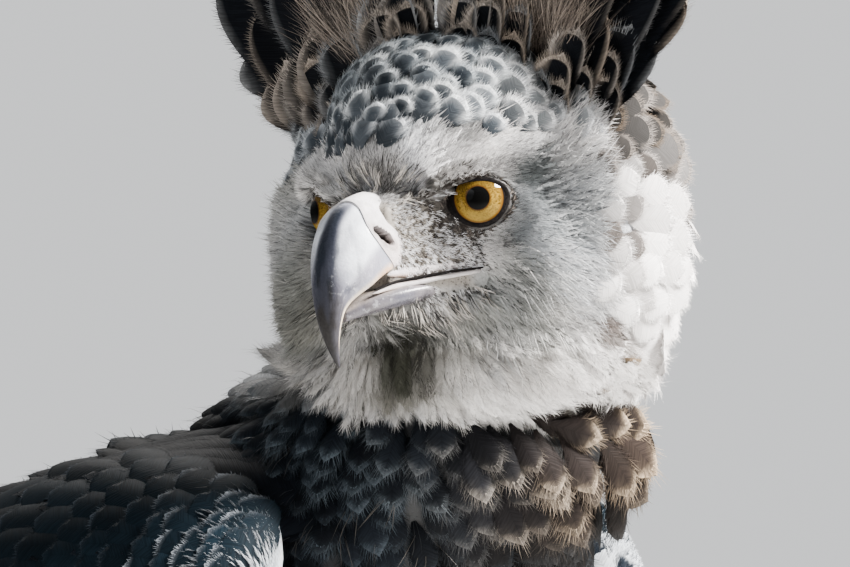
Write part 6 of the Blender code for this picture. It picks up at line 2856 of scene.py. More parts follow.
@dataclass
class BodyPlumage(Plumage):
    """Contour feathers of neck, breast, back, belly and thighs, and the scutes of shanks and toes."""

    nodes: dict[str, bpy.types.Object]
    wing_near: float = 0.020  # skin with a wing this close over it grows no feathers
    small_gap: float = 5.6  # mm between feathers just under the head
    large_gap: float = 12.5  # and on the lower breast and the back
    overlap: float = 3.2  # length of a feather in gaps
    warm_side: tuple[float, float, float] = (0.7071, -0.7071, 0.0)  # where the collar turns brown

    def build(self) -> None:
        """Grows every tract of the body."""
        self._zones()
        form = Vane(
            length=30.0, half_width=7.0, rows=7, columns=6, widest=0.64, fullness=0.62, cup=0.26,
            barbs=104, barb=6.4, barb_width=0.32, fringe_from=0.15, splay=0.40, ruffle=0.24,
        )
        for name, zone, slot in (
            ("collar", self.collar_zone, "collar_plumage"),
            ("breast", self.front_zone, "body_plumage"),
            ("mantle", self.back_zone, "body_plumage"),
        ):
            self._contour(f"{name}_feathers", zone, form, slot)
        self.neck_hairs()
        self.thighs()
        self.feet()

    def _zones(self) -> None:
        """Decides for each vertex of the skin which tract it belongs to."""
        points, node = self.skin.corners, self.skin.vertex_node
        self.pale = self.marks.pale_head(points)
        trunk = (self.pale < 0.6) & np.isin(node, ("head", "neck", "trunk"))
        trunk &= ~self._covered(points, self.skin.corner_normals)
        self.far = np.linalg.norm(points - self.head.origin, axis=1)
        self.collar_zone = trunk & (self.far < 0.150)
        self.front_zone = trunk & ~self.collar_zone & (points[:, 2] < 0.42 - 0.9 * (points[:, 1] + 0.2))
        self.back_zone = trunk & ~self.collar_zone & ~self.front_zone

    def _covered(self, points: Array, normals: Array) -> Array:
        """Whether a folded wing lies close over the skin.

        Args:
            points: rows of positions, in the model's metres.
            normals: the ways out there.

        Returns:
            Whether each position is covered.
        """
        covered = np.zeros(len(points), bool)
        for name in ("wing_left", "wing_right"):
            mesh = self.nodes[name].data
            tree = BVHTree.FromPolygons(coordinates(mesh).tolist(), [list(p.vertices) for p in mesh.polygons])
            low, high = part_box(name)
            near = np.all((points > np.array(low) - 0.03) & (points < np.array(high) + 0.03), axis=1)
            for i in np.flatnonzero(near):
                hit = tree.ray_cast(Vector(points[i]), Vector(normals[i]), self.wing_near)[0]
                covered[i] |= hit is not None
        return covered

    def stream(self, spots: Spots, fall: Array | float = 0.0) -> Array:
        """The way the body's plumage lies: away from the head, and down where it hangs.

        Args:
            spots: places on the skin.
            fall: how much of it is downward.

        Returns:
            A direction for each place.
        """
        way = unit(spots.points - self.head.origin)
        way[:, 2] -= fall
        return laid_flat(way, spots.normals)

    def _contour(self, name: str, zone: Array, form: Vane, slot: str) -> None:
        """One tract of contour feathers; they grow with the distance from the head.

        Args:
            name: of the piece.
            zone: which vertices of the skin take them.
            form: the feather's pattern.
            slot: the record's material slot.
        """
        rng = self.coat.rng
        gap = self.small_gap + (self.large_gap - self.small_gap) * smooth(0.075, 0.20, self.far)
        spots = self.skin.spaced(gap * MM, zone.astype(float), rng)
        own = rng.random(len(spots))
        vertex = self.skin.triangles[spots.which, 0]
        size, far = gap[vertex], self.far[vertex]
        way = self._wander(spots, self.stream(spots), 0.46, 0.03, 91)
        base = self.marks.at(spots.points + spots.normals * spots.depth[:, None])
        dark = smooth(0.35, 0.1, base.mean(axis=1))
        aside = (spots.points - self.head.origin) @ np.array(self.warm_side)
        warm = smooth(-0.01, 0.09, aside) * smooth(0.175, 0.105, far)
        base = mix(base, rgb(36, 26, 17), 0.8 * warm * dark)
        base = base * (1 - 0.7 * smooth(0.100, 0.118, far) * dark)[:, None]
        edge = mix(rows_of(rgb(92, 102, 110), len(spots)), rgb(212, 184, 150), warm)
        near = 0.02 + (0.74 + 0.26 * warm) * smooth(0.109 + 0.008 * warm, 0.084, far)
        strong = dark * near * (0.15 + 0.85 * own ** (1.5 - 0.7 * warm))
        fringe = mix(mix(base, rgb(50, 58, 66), 0.25 * dark), edge, strong)
        pale, place = self.pale[vertex], self.head.inn(spots.points)
        fluff = 0.0150 * smooth(-4, 34, place[:, 1]) * smooth(-60, -74, place[:, 2])
        fluff = fluff * smooth(-108, -90, place[:, 2]) * smooth(0.5, 0.1, pale)
        length = size * self.overlap * MM * (0.8 + 0.4 * own)
        lift = spots.depth * (0.7 + 0.45 * own) * (1 - 0.4 * pale) + fluff
        batch = self.batch(
            spots, way, length, lift, base, fringe, rise=0.0022, fringe_low=0.1, fringe_high=1.25,
            strand_play=0.4, root_dark=0.2, tip_from=0.66,
        )
        batch.root = batch.root + spots.normals * 0.85 * fluff[:, None]
        finish = Finishes.DARK if dark.mean() > 0.5 else Finishes.WHITE
        self.coat.lay(name, form, batch, finish, slot)

    def neck_hairs(self) -> None:
        """Long thin barbs that hang over the collar."""
        density = self.collar_zone * smooth(0.085, 0.10, self.far) * smooth(0.145, 0.125, self.far)
        spots = self.skin.sown(90, density, self.coat.rng)
        own = self.coat.rng.random(len(spots))
        way = self._wander(spots, self.stream(spots), 0.5, 0.02, 97)
        base = mix(rows_of(rgb(26, 27, 29), len(spots)), rgb(92, 86, 78), 0.6 * own**2)
        form = Tuft(length=24.0, blades=4, blade_width=0.22, fan=0.28, scatter=1.2, curl=0.12)
        length = (12 + 9 * own) * MM
        batch = self.batch(spots, way, length, spots.depth * (1.0 + 0.25 * own), base, base, rise=0.0022)
        self.coat.lay("collar_hairs", form, batch, Finishes.BRISTLE, "collar_plumage")

    def thighs(self) -> None:
        """Loose white feathers with fine black bars, down to the heel."""
        node = self.skin.vertex_node
        zone = (node == "thigh") & (self.skin.corners[:, 2] > 0.166)
        gap = np.full(len(zone), 7.6 * MM)
        spots = self.skin.spaced(gap, zone.astype(float), self.coat.rng)
        own = self.coat.rng.random(len(spots))
        way = self._wander(spots, self.stream(spots, 0.9), 0.18, 0.02, 93)
        base = rows_of(Tone.WHITE, len(spots)) * (0.88 + 0.12 * own[:, None])
        form = Vane(
            length=27.0, half_width=7.0, rows=9, columns=3, widest=0.6, fullness=0.7, cup=0.25,
            barbs=52, barb=5.0, barb_width=0.55, fringe_from=0.1, splay=0.35,
        )
        batch = self.batch(
            spots, way, (24 + 5 * own) * MM, spots.depth * (0.7 + 0.35 * own), base, base, rise=0.0016,
            bar=rows_of(Tone.SOOT, len(spots)), bar_gap=6.4, bar_wide=0.34, root_dark=0.05,
        )
        self.coat.lay("thigh_feathers", form, batch, Finishes.WHITE, "thigh_plumage")

    def feet(self) -> None:
        """Horny scutes, broad down the front of the shanks and along the toes."""
        points, normals = self.skin.corners, self.skin.corner_normals
        zone = (points[:, 2] < 0.172) & (points[:, 2] > 0.003) & (normals[:, 2] > -0.35)
        zone &= np.isin(self.skin.vertex_node, ("tarsus", "foot"))
        front = smooth(0.1, 0.6, -normals[:, 1])
        gap = (3.4 + 1.6 * np.maximum(front, smooth(0.3, 0.8, normals[:, 2]))) * MM
        spots = self.skin.spaced(gap, zone.astype(float), self.coat.rng)
        joint = np.array([*TOE_JOINT, 0.0]) * np.where(spots.points[:, :1] > 0, [[1, 1, 1]], [[-1, 1, 1]])
        along_toe = unit((spots.points - joint) * [1, 1, 0])
        down = unit(rows_of([0.0, -0.26, -1.0], len(spots)))
        way = mix(down, along_toe, smooth(0.045, 0.026, spots.points[:, 2]))
        way = laid_flat(way, spots.normals)
        size = gap[self.skin.triangles[spots.which, 0]]
        own = self.coat.rng.random(len(spots))
        base = mix(rows_of(Tone.LEG, len(spots)), rgb(214, 188, 108), own)
        edge = rows_of(rgb(150, 120, 58), len(spots))
        form = Vane(
            length=6.0, half_width=3.4, rows=3, columns=6, widest=0.5, fullness=0.35, cup=0.12, barbs=0
        )
        batch = self.batch(
            spots, way, size * 1.5, 0.0008, base, edge, rise=0.0003, fringe_low=0.55, fringe_high=1.0,
            root_dark=0.0, strand_play=0.1,
        )
        self.coat.lay("scutes", form, batch, Finishes.SCUTE, "leg_skin")


# ---------------------------------------------------------------- wings, tail and crest


@dataclass
class FoldedWing:
    """One folded wing: a core of inner vanes, flight feathers and rows of coverts over them."""

    side: Side
    coat: Coat
    skin: Skin
    folds: tuple = (  # from the bend back to the tip: y, top, bottom, outer face, thickness, lean, in metres
        (-0.2405, 0.446, 0.404, 0.098, 0.016, 0.000),
        (-0.2285, 0.472, 0.368, 0.116, 0.044, 0.006),
        (-0.1945, 0.487, 0.328, 0.132, 0.056, 0.014),
        (-0.1425, 0.489, 0.296, 0.142, 0.056, 0.024),
        (-0.0665, 0.468, 0.270, 0.142, 0.050, 0.034),
        (0.0215, 0.416, 0.248, 0.125, 0.036, 0.034),
        (0.1215, 0.348, 0.222, 0.092, 0.018, 0.024),
        (0.2115, 0.284, 0.210, 0.066, 0.010, 0.014),
        (0.2655, 0.240, 0.216, 0.052, 0.006, 0.004),
    )
    small_tips: tuple = (3.35, 3.05, 2.75, 2.46, 2.18, 1.92, 1.68, 1.45, 1.24, 1.05)  # lesser coverts' places
    curl: float = 0.20
    sunk: float = 0.0050  # the core's depth under the finished surface
    quill_from: float = 100.0  # mm: feathers longer than this have the flight feathers' surface

    def ring(self, place: Array, turn: Array, sunk: float) -> Array:
        """Points on the wing's surface; turn is 0 on the outer face and a quarter at the top edge.

        Args:
            place: stations from the bend, 0 to 8.
            turn: angles round the wing.
            sunk: metres under the finished surface.

        Returns:
            Rows of positions, in metres.
        """
        y, top, bottom, outer, thickness, lean = np.moveaxis(through(self.folds, place), -1, 0)
        middle, high = (top + bottom) / 2, np.maximum((top - bottom) / 2 - sunk, 0.003)
        rise = np.sin(turn)
        depth = np.maximum(thickness - sunk, 0.002) * (1 - np.cos(turn)) / 2
        inward = depth + self.curl * high * rise**4 + lean * (rise + 0.4) / 1.4
        inward = inward + np.minimum(sunk, thickness / 3)
        return np.stack([self.side.value * (outer - inward), y, middle + high * rise], axis=-1)

    def at(self, place: Array, rise: Array, lift: Array | float = 0.0) -> tuple[Array, Array]:
        """Points and outward normals over the core; rise is -1 at the lower edge and 1 at the upper.

        Args:
            place: stations from the bend, 0 to 8.
            rise: heights on the wing, -1 to 1.
            lift: metres over the core.

        Returns:
            The points and the normals.
        """
        last, step = len(self.folds) - 1, 0.02
        place = np.clip(np.asarray(place, float), 0, last)
        turn = np.arcsin(np.clip(np.asarray(rise, float), -0.995, 0.995))
        point = self.ring(place, turn, self.sunk)
        fore, aft = (self.ring(np.clip(place + k, 0, last), turn, self.sunk) for k in (step, -step))
        above = self.ring(place, turn + step, self.sunk) - self.ring(place, turn - step, self.sunk)
        normal = unit(np.cross(fore - aft, above)) * self.side.value
        return point + normal * np.asarray(lift)[..., None], normal

    def build(self) -> None:
        """Makes the core and lays the feathers from the lowest to the topmost."""
        self.core()
        flight = Vane(
            length=200.0, half_width=19.0, rows=30, columns=8, widest=0.55, fullness=0.42, cup=0.12,
            barbs=150, barb=2.6, barb_width=0.7, fringe_from=0.3, splay=0.25, ruffle=0.08,
        )
        black, blue = Tone.BLACK, rgb(15, 25, 32)
        self._row(
            "primaries", np.linspace(-0.62, 0.35, 8), roots=(4.4, 4.9), tips=(7.3, 8.0), sag=0.25,
            form=flight, broad=0.9, lift=0.0012, base=black, fringe=rgb(52, 56, 62), tip_from=0.9,
        )
        self._row(
            "secondaries", np.linspace(-0.93, 0.93, 14), roots=(3.1, 3.4), tips=(5.6, 6.6), sag=0.05,
            form=flight, broad=1.0, lift=0.0022, base=black, fringe=rgb(74, 80, 88), tip_from=0.75,
        )
        cover = Vane(
            length=60.0, half_width=15.0, rows=12, columns=8, widest=0.66, fullness=0.5, cup=0.16,
            barbs=90, barb=2.6, barb_width=0.55, fringe_from=0.3, splay=0.35,
        )
        self._row(
            "greater_coverts", np.linspace(-0.95, 0.95, 15), roots=(2.7, 3.0), tips=(4.3, 4.8), sag=0.05,
            form=cover, broad=1.0, lift=0.0032, base=blue, fringe=rgb(70, 78, 88), tip_from=0.6,
        )
        self._row(
            "median_coverts", np.linspace(-0.96, 0.96, 17), roots=(2.3, 2.6), tips=(3.55, 3.9), sag=0.0,
            form=cover, broad=1.0, lift=0.0040, base=blue, fringe=rgb(82, 90, 100), tip_from=0.6,
        )
        small = Vane(
            length=26.0, half_width=8.5, rows=7, columns=6, widest=0.66, fullness=0.52, cup=0.2,
            barbs=60, barb=2.0, barb_width=0.42, fringe_from=0.3, splay=0.4,
        )
        for k, tip in enumerate(self.small_tips):
            count = 21 - k // 3
            rises = np.linspace(-0.97, 0.97, count) + (0.5 - k % 2) * 0.9 / count
            reach = 0.42 + 0.03 * k
            pale = rgb(196, 204, 214) if k > 4 else rgb(112, 122, 134)
            self._row(
                f"lesser_coverts_{k + 1}", rises, roots=(tip - reach, tip - reach), tips=(tip, tip), sag=0.02,
                form=small, broad=1.0, lift=0.0048, base=blue, fringe=pale, tip_from=0.86,
            )
        self.bend()
        self.scapulars()

    def core(self) -> None:
        """The closed bundle of inner vanes behind the flesh of the arm."""
        rings, around = 46, 48
        places = np.linspace(4.0, 7.9, rings)
        turn = np.linspace(0, 2 * math.pi, around + 1)[:-1]
        grid_place, grid_turn = np.meshgrid(places, turn, indexing="ij")
        points = self.ring(grid_place, grid_turn, self.sunk).reshape(-1, 3)
        obj = mesh_object(f"wing_core_{self.side.label}", points, [grid_faces(rings, around, closed=True)])
        with editing(obj):
            bpy.ops.mesh.fill_holes(sides=0)
            bpy.ops.mesh.normals_make_consistent(inside=False)
        put_colours(obj.data, "plume", rows_of(Tone.BLACK, len(points)))
        put_vectors(obj.data, "vane", points[:, [1, 2, 0]] / MM)
        put_bake_map(obj.data, np.stack([grid_place.ravel() / 8, grid_turn.ravel() / 7], axis=1))
        Finishes.QUILL.dress(obj)
        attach(obj, BODY)
        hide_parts(f"wing_{self.side.label}")

    def _row(
        self, name: str, rises: Array, roots: tuple[float, float], tips: tuple[float, float], sag: float,
        form: Vane, broad: float, lift: float, base: Array, fringe: Array, tip_from: float,
    ) -> None:
        """One row of feathers side by side.

        Args:
            name: of the piece.
            rises: where on the wing's height each tip lies.
            roots: place of the lowest and the highest feather's root.
            tips: place of their tips.
            sag: how much higher than its tip a root lies.
            form: the feather's pattern.
            broad: scales its width.
            lift: over the core, in metres.
            base: its colour.
            fringe: its edge's colour.
            tip_from: share of the length where the edge's colour begins.
        """
        rng = self.coat.rng
        count = len(rises)
        share = np.linspace(0, 1, count)
        start = between(roots, share) + rng.normal(0, 0.03, count)
        end = between(tips, share) + rng.normal(0, 0.03, count)
        low = np.clip(rises, -0.98, 0.98)
        high = np.clip(rises * 0.96 + sag, -0.98, 0.98)
        root, root_out = self.at(start, high, lift - 0.0016)
        tip, tip_out = self.at(end, low, lift + 0.0004 + 0.0010 * rng.random(count))
        middle, middle_out = self.at((start + end) / 2, (low + high) / 2, lift)
        rise = np.sum((middle - (root + tip) / 2) * middle_out, axis=1)
        far = np.linalg.norm(tip - root, axis=1)
        play = (0.85 + 0.3 * rng.random(count))[:, None]
        edge = base + (fringe - base) * (0.05 + 0.95 * rng.random(count)[:, None] ** 2)
        batch = Batch(
            root, tip, root_out, tip_out, self._places(start, high), base * play, edge, rise=rise,
            broad=broad * form.length * MM / far, fringe_low=0.72, fringe_high=1.1, tip_from=tip_from,
            root_dark=0.0, strand_play=0.25, patch=0.02 if form.length > self.quill_from else 0.008,
        )
        finish = Finishes.QUILL if form.length > self.quill_from else Finishes.DARK
        self.coat.lay(f"{name}_{self.side.label}", form, batch, finish, "wing_plumage", variants=3)

    @staticmethod
    def _places(place: Array, rise: Array) -> Array:
        """Where on the wing's own unwrap feathers are rooted."""
        return np.stack([0.04 + 0.9 * place / 8, 0.05 + 0.42 * (rise + 1)], axis=-1)

    def bend(self) -> None:
        """Small feathers over the leading edge, white along it with black spots behind."""
        rng = self.coat.rng
        place, turn = np.meshgrid(np.linspace(0.02, 1.15, 17), np.linspace(-1.9, 1.9, 34), indexing="ij")
        place = (place + rng.uniform(-0.03, 0.03, place.shape)).ravel().clip(0, 2)
        turn = (turn + rng.uniform(-0.05, 0.05, turn.shape)).ravel()
        root = self.ring(place, turn, self.sunk)
        tip = self.ring(place + 0.42, turn * 0.99, self.sunk - 0.0016)
        middle = self.ring(np.full_like(place, 1.6), np.zeros_like(place), 0.02)
        out = unit(root - mix(middle, root * [0, 1, 1] + middle * [1, 0, 0], 0.5))
        patches = Noise.cloud(root, 0.016, 7)
        white = smooth(0.75, 0.25, place + 0.7 * (patches - 0.45)) * smooth(0.70, 0.55, patches)
        base = mix(rows_of(rgb(24, 30, 38), len(root)), rgb(222, 228, 234), white)
        fringe = mix(base, rgb(212, 218, 226), 0.25 + 0.6 * smooth(1.3, 0.4, place))
        form = Vane(
            length=15.0, half_width=5.2, rows=5, columns=4, widest=0.62, fullness=0.55, cup=0.2,
            barbs=40, barb=2.0, barb_width=0.4, splay=0.45,
        )
        far = np.linalg.norm(tip - root, axis=1)
        batch = Batch(
            root, tip, out, out, self._places(place, np.sin(turn / 2)), base, fringe, rise=0.0012,
            broad=0.015 / far, tip_from=0.5, fringe_low=0.7, strand_play=0.15, root_dark=0.0,
        )
        self.coat.lay(f"wing_bend_feathers_{self.side.label}", form, batch, Finishes.DARK, "wing_plumage")

    def scapulars(self) -> None:
        """Long feathers of the shoulder that close the gap between back and wing."""
        rng = self.coat.rng
        count, rows = 13, 4
        place, row = np.meshgrid(np.linspace(0.7, 4.3, count), np.arange(rows), indexing="ij")
        place, row = (place + rng.uniform(-0.06, 0.06, place.shape)).ravel(), row.ravel()
        anchor, _ = self.at(place, np.full_like(place, 0.98))
        aside = -self.side.value * (0.006 + 0.012 * row)
        inward = np.stack([aside, -0.006 + 0 * row, 0.004 + 0 * row], axis=1)
        under = self.skin.nearest(anchor + inward)
        root = under.points + under.normals * 0.003
        tip, tip_out = self.at(place + 1.25 + 0.12 * row, 0.90 - 0.10 * (rows - 1 - row), 0.0052)
        out = unit(under.normals + [0, 0, 0.4])
        form = Vane(
            length=80.0, half_width=15.0, rows=12, columns=8, widest=0.62, fullness=0.5, cup=0.18,
            barbs=90, barb=2.8, barb_width=0.55, fringe_from=0.3, splay=0.35,
        )
        far = np.linalg.norm(tip - root, axis=1)
        base = rgb(12, 15, 20) * (0.8 + 0.4 * rng.random(len(root)))[:, None]
        fringe = rgb(30, 36, 43) * (0.4 + 0.8 * rng.random(len(root)))[:, None]
        batch = Batch(
            root, tip, out, tip_out, under.unwrap, base, fringe, rise=0.03 * far, broad=0.075 / far,
            tip_from=0.55, fringe_low=0.78, root_dark=0.0, strand_play=0.12,
        )
        self.coat.lay(f"scapulars_{self.side.label}", form, batch, Finishes.DARK, "wing_plumage")


@dataclass
class TailFan:
    """Twelve tail feathers with grey bars, the coverts over and under their roots, and the core."""

    coat: Coat
    skin: Skin
    root: tuple[float, float, float] = (0.0, 0.0595, 0.344)
    length: float = 0.375
    drop: float = math.radians(36.0)
    half_widths: tuple[float, float] = (0.030, 0.074)
    thicknesses: tuple[float, float] = (0.030, 0.007)
    thin_from: float = 0.55  # share of the length at which it is as thin as at the tip
    core_length: float = 0.72  # of the tail's
    camber: float = 0.012
    pairs: int = 6
    covert_rows: tuple = ((9, 0.44), (8, 0.33), (7, 0.22), (6, 0.12))  # how many, and how far they reach

    def __post_init__(self) -> None:
        """Finds the tail's own directions."""
        c, s = math.cos(self.drop), math.sin(self.drop)
        self.along, self.up = np.array([0.0, c, -s]), np.array([0.0, s, c])

    def at(self, t: Array, x: Array, height: Array) -> Array:
        """Points at a share of the length, a place across, and a height of -1 to 1 in the thickness.

        Args:
            t: shares of the length.
            x: metres across.
            height: -1 to 1 in the thickness.

        Returns:
            Rows of positions, in metres.
        """
        t, x = np.asarray(t, float), np.asarray(x, float)
        rise = height * self._thickness(t) / 2 - self.camber * (x / self.half_widths[1]) ** 2
        place = np.array(self.root) + t[..., None] * self.length * self.along
        return place + sideways(x) + rise[..., None] * self.up

    def _thickness(self, t: Array) -> Array:
        """How thick the tail is at a share of the length."""
        return between(self.thicknesses, np.clip(t / self.thin_from, 0, 1))

    def build(self) -> None:
        """Makes core, tail feathers and coverts."""
        self.core()
        self.feathers()
        self.coverts("upper", 1)
        self.coverts("under", -1)

    def core(self) -> None:
        """The closed bundle of quills between the coverts."""
        rings = 30
        t = np.linspace(0.0, self.core_length, rings)
        path = self.at(t, np.zeros(rings), np.zeros(rings))
        wide = between(self.half_widths, t) - 0.012
        high = 0.5 * self._thickness(t) - 0.0022
        end = np.sqrt(np.clip(np.minimum(t / 0.05, (self.core_length - t) / 0.05), 0.02, 1))
        points, faces = swept(path, rows_of(self.up, rings), high * end, wide * end, 28, 2.6)
        points -= self.up * (self.camber * (points[:, :1] / self.half_widths[1]) ** 2)
        obj = mesh_object("tail_core", points, [faces])
        put_colours(obj.data, "plume", rows_of(Tone.BLACK, len(points)))
        put_vectors(obj.data, "vane", points[:, [1, 0, 2]] / MM)
        put_bake_map(obj.data, points[:, :2] + 0.4)
        Finishes.QUILL.dress(obj)
        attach(obj, BODY)
        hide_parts("tail")

    def feathers(self) -> None:
        """Six pairs, the middle ones on top."""
        index = np.repeat(np.arange(self.pairs), 2)[1:].tolist() + [0]
        pair = np.array(sorted(index))
        side = np.where(np.arange(len(pair)) % 2 == 0, 1, -1)
        root = self.at(np.full(len(pair), -0.02), side * (0.003 + 0.0042 * pair), 0.5 - 0.2 * pair)
        high = 0.9 - 0.30 * pair - 0.1 * (side > 0)
        tip = self.at(0.998 - 0.0022 * pair**2, side * (0.010 + 0.0092 * pair), high)
        form = Vane(
            length=375.0, half_width=23.0, rows=60, columns=10, widest=0.68, fullness=0.34, cup=0.10,
            barbs=260, barb=2.4, barb_width=0.8, fringe_from=0.2, splay=0.2, ruffle=0.05,
        )
        out = unit(rows_of(self.up, len(pair)) + sideways(0.22 * side * pair / self.pairs))
        tones = (Tone.BLACK, rgb(116, 114, 112), rgb(150, 148, 146))
        base, bar, edge = (rows_of(tone, len(pair)) for tone in tones)
        grid = np.stack([0.06 + 0.08 * np.arange(len(pair)), np.full(len(pair), 0.5)], axis=1)
        batch = Batch(
            root, tip, out, out, grid, base, edge, rise=0.002, bar=bar, bar_gap=88.0, bar_wide=0.42,
            tip_from=0.97, fringe_low=0.8, root_dark=0.0, strand_play=0.08, patch=0.07,
        )
        self.coat.lay("tail_feathers", form, batch, Finishes.QUILL, "body_plumage", variants=2)

    def coverts(self, name: str, side: int) -> None:
        """Rows of feathers over or under the roots of the tail.

        Args:
            name: upper or under.
            side: 1 above the tail, -1 below it.
        """
        rng = self.coat.rng
        rows = []
        for k, (count, reach) in enumerate(self.covert_rows):
            across = (np.linspace(-1, 1, count) + rng.uniform(-0.05, 0.05, count)) * (0.020 + 0.040 * reach)
            start, end = reach - 0.26, reach + rng.uniform(-0.02, 0.02, count)
            high = side * (1.0 + 0.12 * k)
            start = self.at(np.full(count, start), across * 0.8, 0.7 * high)
            rows.append((start, self.at(end, across, high)))
        root, tip = (np.concatenate(part) for part in zip(*rows))
        out = unit(rows_of(self.up * side, len(root)) + sideways(8.0 * root[:, 0]))
        form = Vane(
            length=95.0, half_width=17.0, rows=18, columns=8, widest=0.6, fullness=0.5, cup=0.18,
            barbs=110, barb=4.0, barb_width=0.6, fringe_from=0.2, splay=0.3,
        )
        dark = side > 0
        base = rows_of(Tone.BLACK if dark else Tone.WHITE, len(root))
        bar = None if dark else rows_of(Tone.SOOT, len(root))
        near = self.skin.nearest(root)
        batch = Batch(
            root, tip, out, out, near.unwrap + rng.uniform(-0.01, 0.01, near.unwrap.shape), base,
            rows_of(rgb(190, 192, 194), len(root)), rise=0.004, bar=bar, bar_gap=17.0, bar_wide=0.3,
            tip_from=0.86, fringe_low=0.7, root_dark=0.0, strand_play=0.1,
        )
        finish = Finishes.DARK if dark else Finishes.WHITE
        self.coat.lay(f"{name}_tail_coverts", form, batch, finish, "body_plumage")


@dataclass
class CrestFan:
    """One of the two raised fans of broad feathers, with smaller ones and down in front."""

    head: HeadFrame
    coat: Coat
    skin: Skin
    side: Side
    roots: tuple = ((-34.0, 7.0, 44.0), (-46.0, 58.0, 22.0))  # inner and outer, head millimetres
    tips: tuple = ((-52.0, 24.0, 140.0), (-58.0, 122.0, 98.0))
    down_share: tuple[float, float] = (0.15, 0.60)  # part of the fan that the down covers
    lobe_rows: tuple = ((6, 0.28), (7, 0.19), (7, 0.11), (8, 0.03))  # how many, and where their tips lie
    stand: float = 16.0  # how far the middle feathers stand above the line between the tips
    bow: float = 10.0
    cup: float = 12.0

    def at(self, share: Array, t: Array, before: Array | float = 0.0) -> Array:
        """Head millimetres at a share across the fan and along it, so far before its face.

        Args:
            share: shares across the fan, from the inner edge.
            t: shares of its height.
            before: millimetres in front of its face.

        Returns:
            Rows of head millimetres.
        """
        share, t = np.asarray(share, float)[..., None], np.asarray(t, float)[..., None]
        (r0, r1), (t0, t1) = np.array(self.roots), np.array(self.tips)
        facing = unit(np.cross(t0 - r0, t1 - r1))
        facing = facing * np.sign(facing[0])
        root, tip = r0 + (r1 - r0) * share, t0 + (t1 - t0) * share
        arch = np.sin(np.pi * share)
        tip = tip + self.stand * arch * UP
        out = self.bow * np.sin(np.pi * np.clip(t, 0, 1)) + self.cup * (arch - 0.5) * t
        out = out + np.asarray(before)[..., None]
        place = root + (tip - root) * t + facing * out
        return place * [1, self.side.value, 1]

    def build(self) -> None:
        """Lays tiers of broad feathers, the longest behind, then down, and rows of lobes in front."""
        broad = Vane(
            length=100.0, half_width=17.0, rows=18, columns=10, widest=0.70, fullness=0.42, cup=-0.16,
            barbs=190, barb=3.0, barb_width=0.45, fringe_from=0.12, splay=0.55, ruffle=0.12,
        )
        self._tier("long", (np.arange(5) + 0.5) / 5, start=0.0, reach=0.97, before=0.0, form=broad, broad=1.0)
        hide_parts(f"crest_{self.side.label}")
        shares = (np.arange(5) + 0.3) / 5
        self._tier("middle", shares, start=-0.04, reach=0.66, before=2.2, form=broad, broad=0.86)
        short = Vane(
            length=42.0, half_width=12.5, rows=10, columns=8, widest=0.68, fullness=0.5, cup=-0.3,
            barbs=110, barb=3.4, barb_width=0.34, fringe_from=0.15, splay=0.5, ruffle=0.16,
        )
        shares = (np.arange(8) + 0.4) / 8
        low, high = self.down_share
        shares = shares[(shares < low) | (shares > high)]
        self._tier("short", shares, start=-0.08, reach=0.38, before=5.0, form=short, broad=1.0)
        self._down()
        lobe = Vane(
            length=27.0, half_width=9.0, rows=8, columns=8, widest=0.70, fullness=0.46, cup=-0.24,
            barbs=170, barb=2.6, barb_width=0.24, fringe_from=0.30, splay=0.40, ruffle=0.16,
        )
        self._tier(
            "edge", np.array([0.96, 0.97]), start=np.array([0.20, 0.04]), reach=np.array([0.58, 0.40]),
            before=3.0, form=short, broad=0.95, lean=0.05,
        )
        for k, (count, reach) in enumerate(self.lobe_rows):
            shares = (np.arange(count) + 0.2 + 0.4 * (k % 2)) / (count - 0.4)
            if k < 2:
                shares = shares[(shares < low + 0.06) | (shares > high - 0.06)]
            before = 8.0 + 1.8 * k
            self._tier(f"lobes_{k + 1}", shares, reach - 0.27, reach, before, form=lobe, broad=0.95)

    def _tier(
        self, name: str, share: Array, start: Array | float, reach: Array | float, before: float,
        form: Vane, broad: float, lean: float = 0.0,
    ) -> None:
        """One row of the fan's feathers.

        Args:
            name: of the row.
            share: the place of each feather across the fan.
            start: share of the fan's height where the roots lie.
            reach: share where the tips lie.
            before: millimetres in front of the fan's face.
            form: the feather's pattern.
            broad: scales its width.
            lean: how far the tips lie outside the roots, as a share across the fan.
        """
        rng = self.coat.rng
        count = len(share)
        share = share + rng.uniform(-0.02, 0.02, count)
        stagger = before + 1.3 * (np.arange(count) % 2)
        end = reach * (1 + rng.uniform(-0.03, 0.03, count))
        places = [self.at(share, np.zeros(count) + start, stagger - 1.0), self.at(share + lean, end, stagger)]
        root, tip = (self.head.out(p) for p in places)
        middle = self.head.out(self.at(share + lean / 2, (start + end) / 2, stagger))
        farther = self.head.out(self.at(share + lean / 2, (start + end) / 2, stagger + 5.0))
        out = unit(farther - middle)
        rise = np.sum((middle - (root + tip) / 2) * out, axis=1)
        far = np.linalg.norm(tip - root, axis=1)
        own = rng.random((count, 1))
        small = form.length < 60
        base = rgb(15, 17, 21) * (0.7 + 0.6 * own)
        fringe = mix(rows_of(rgb(168, 154, 140), count), rgb(126, 130, 134), own)
        fringe = fringe * (1.0 if small else 0.5)
        near = self.skin.nearest(root)
        batch = Batch(
            root, tip, out, out, near.unwrap, base, fringe, rise=rise, broad=broad * form.length * MM / far,
            fringe_low=0.62 if small else 0.88, fringe_high=1.05, root_dark=0.0, strand_play=0.3, patch=0.008,
            tip_from=0.45,
        )
        label = f"crest_{name}_{self.side.label}"
        self.coat.lay(label, form, batch, Finishes.DARK, "crest_plumage", variants=3)

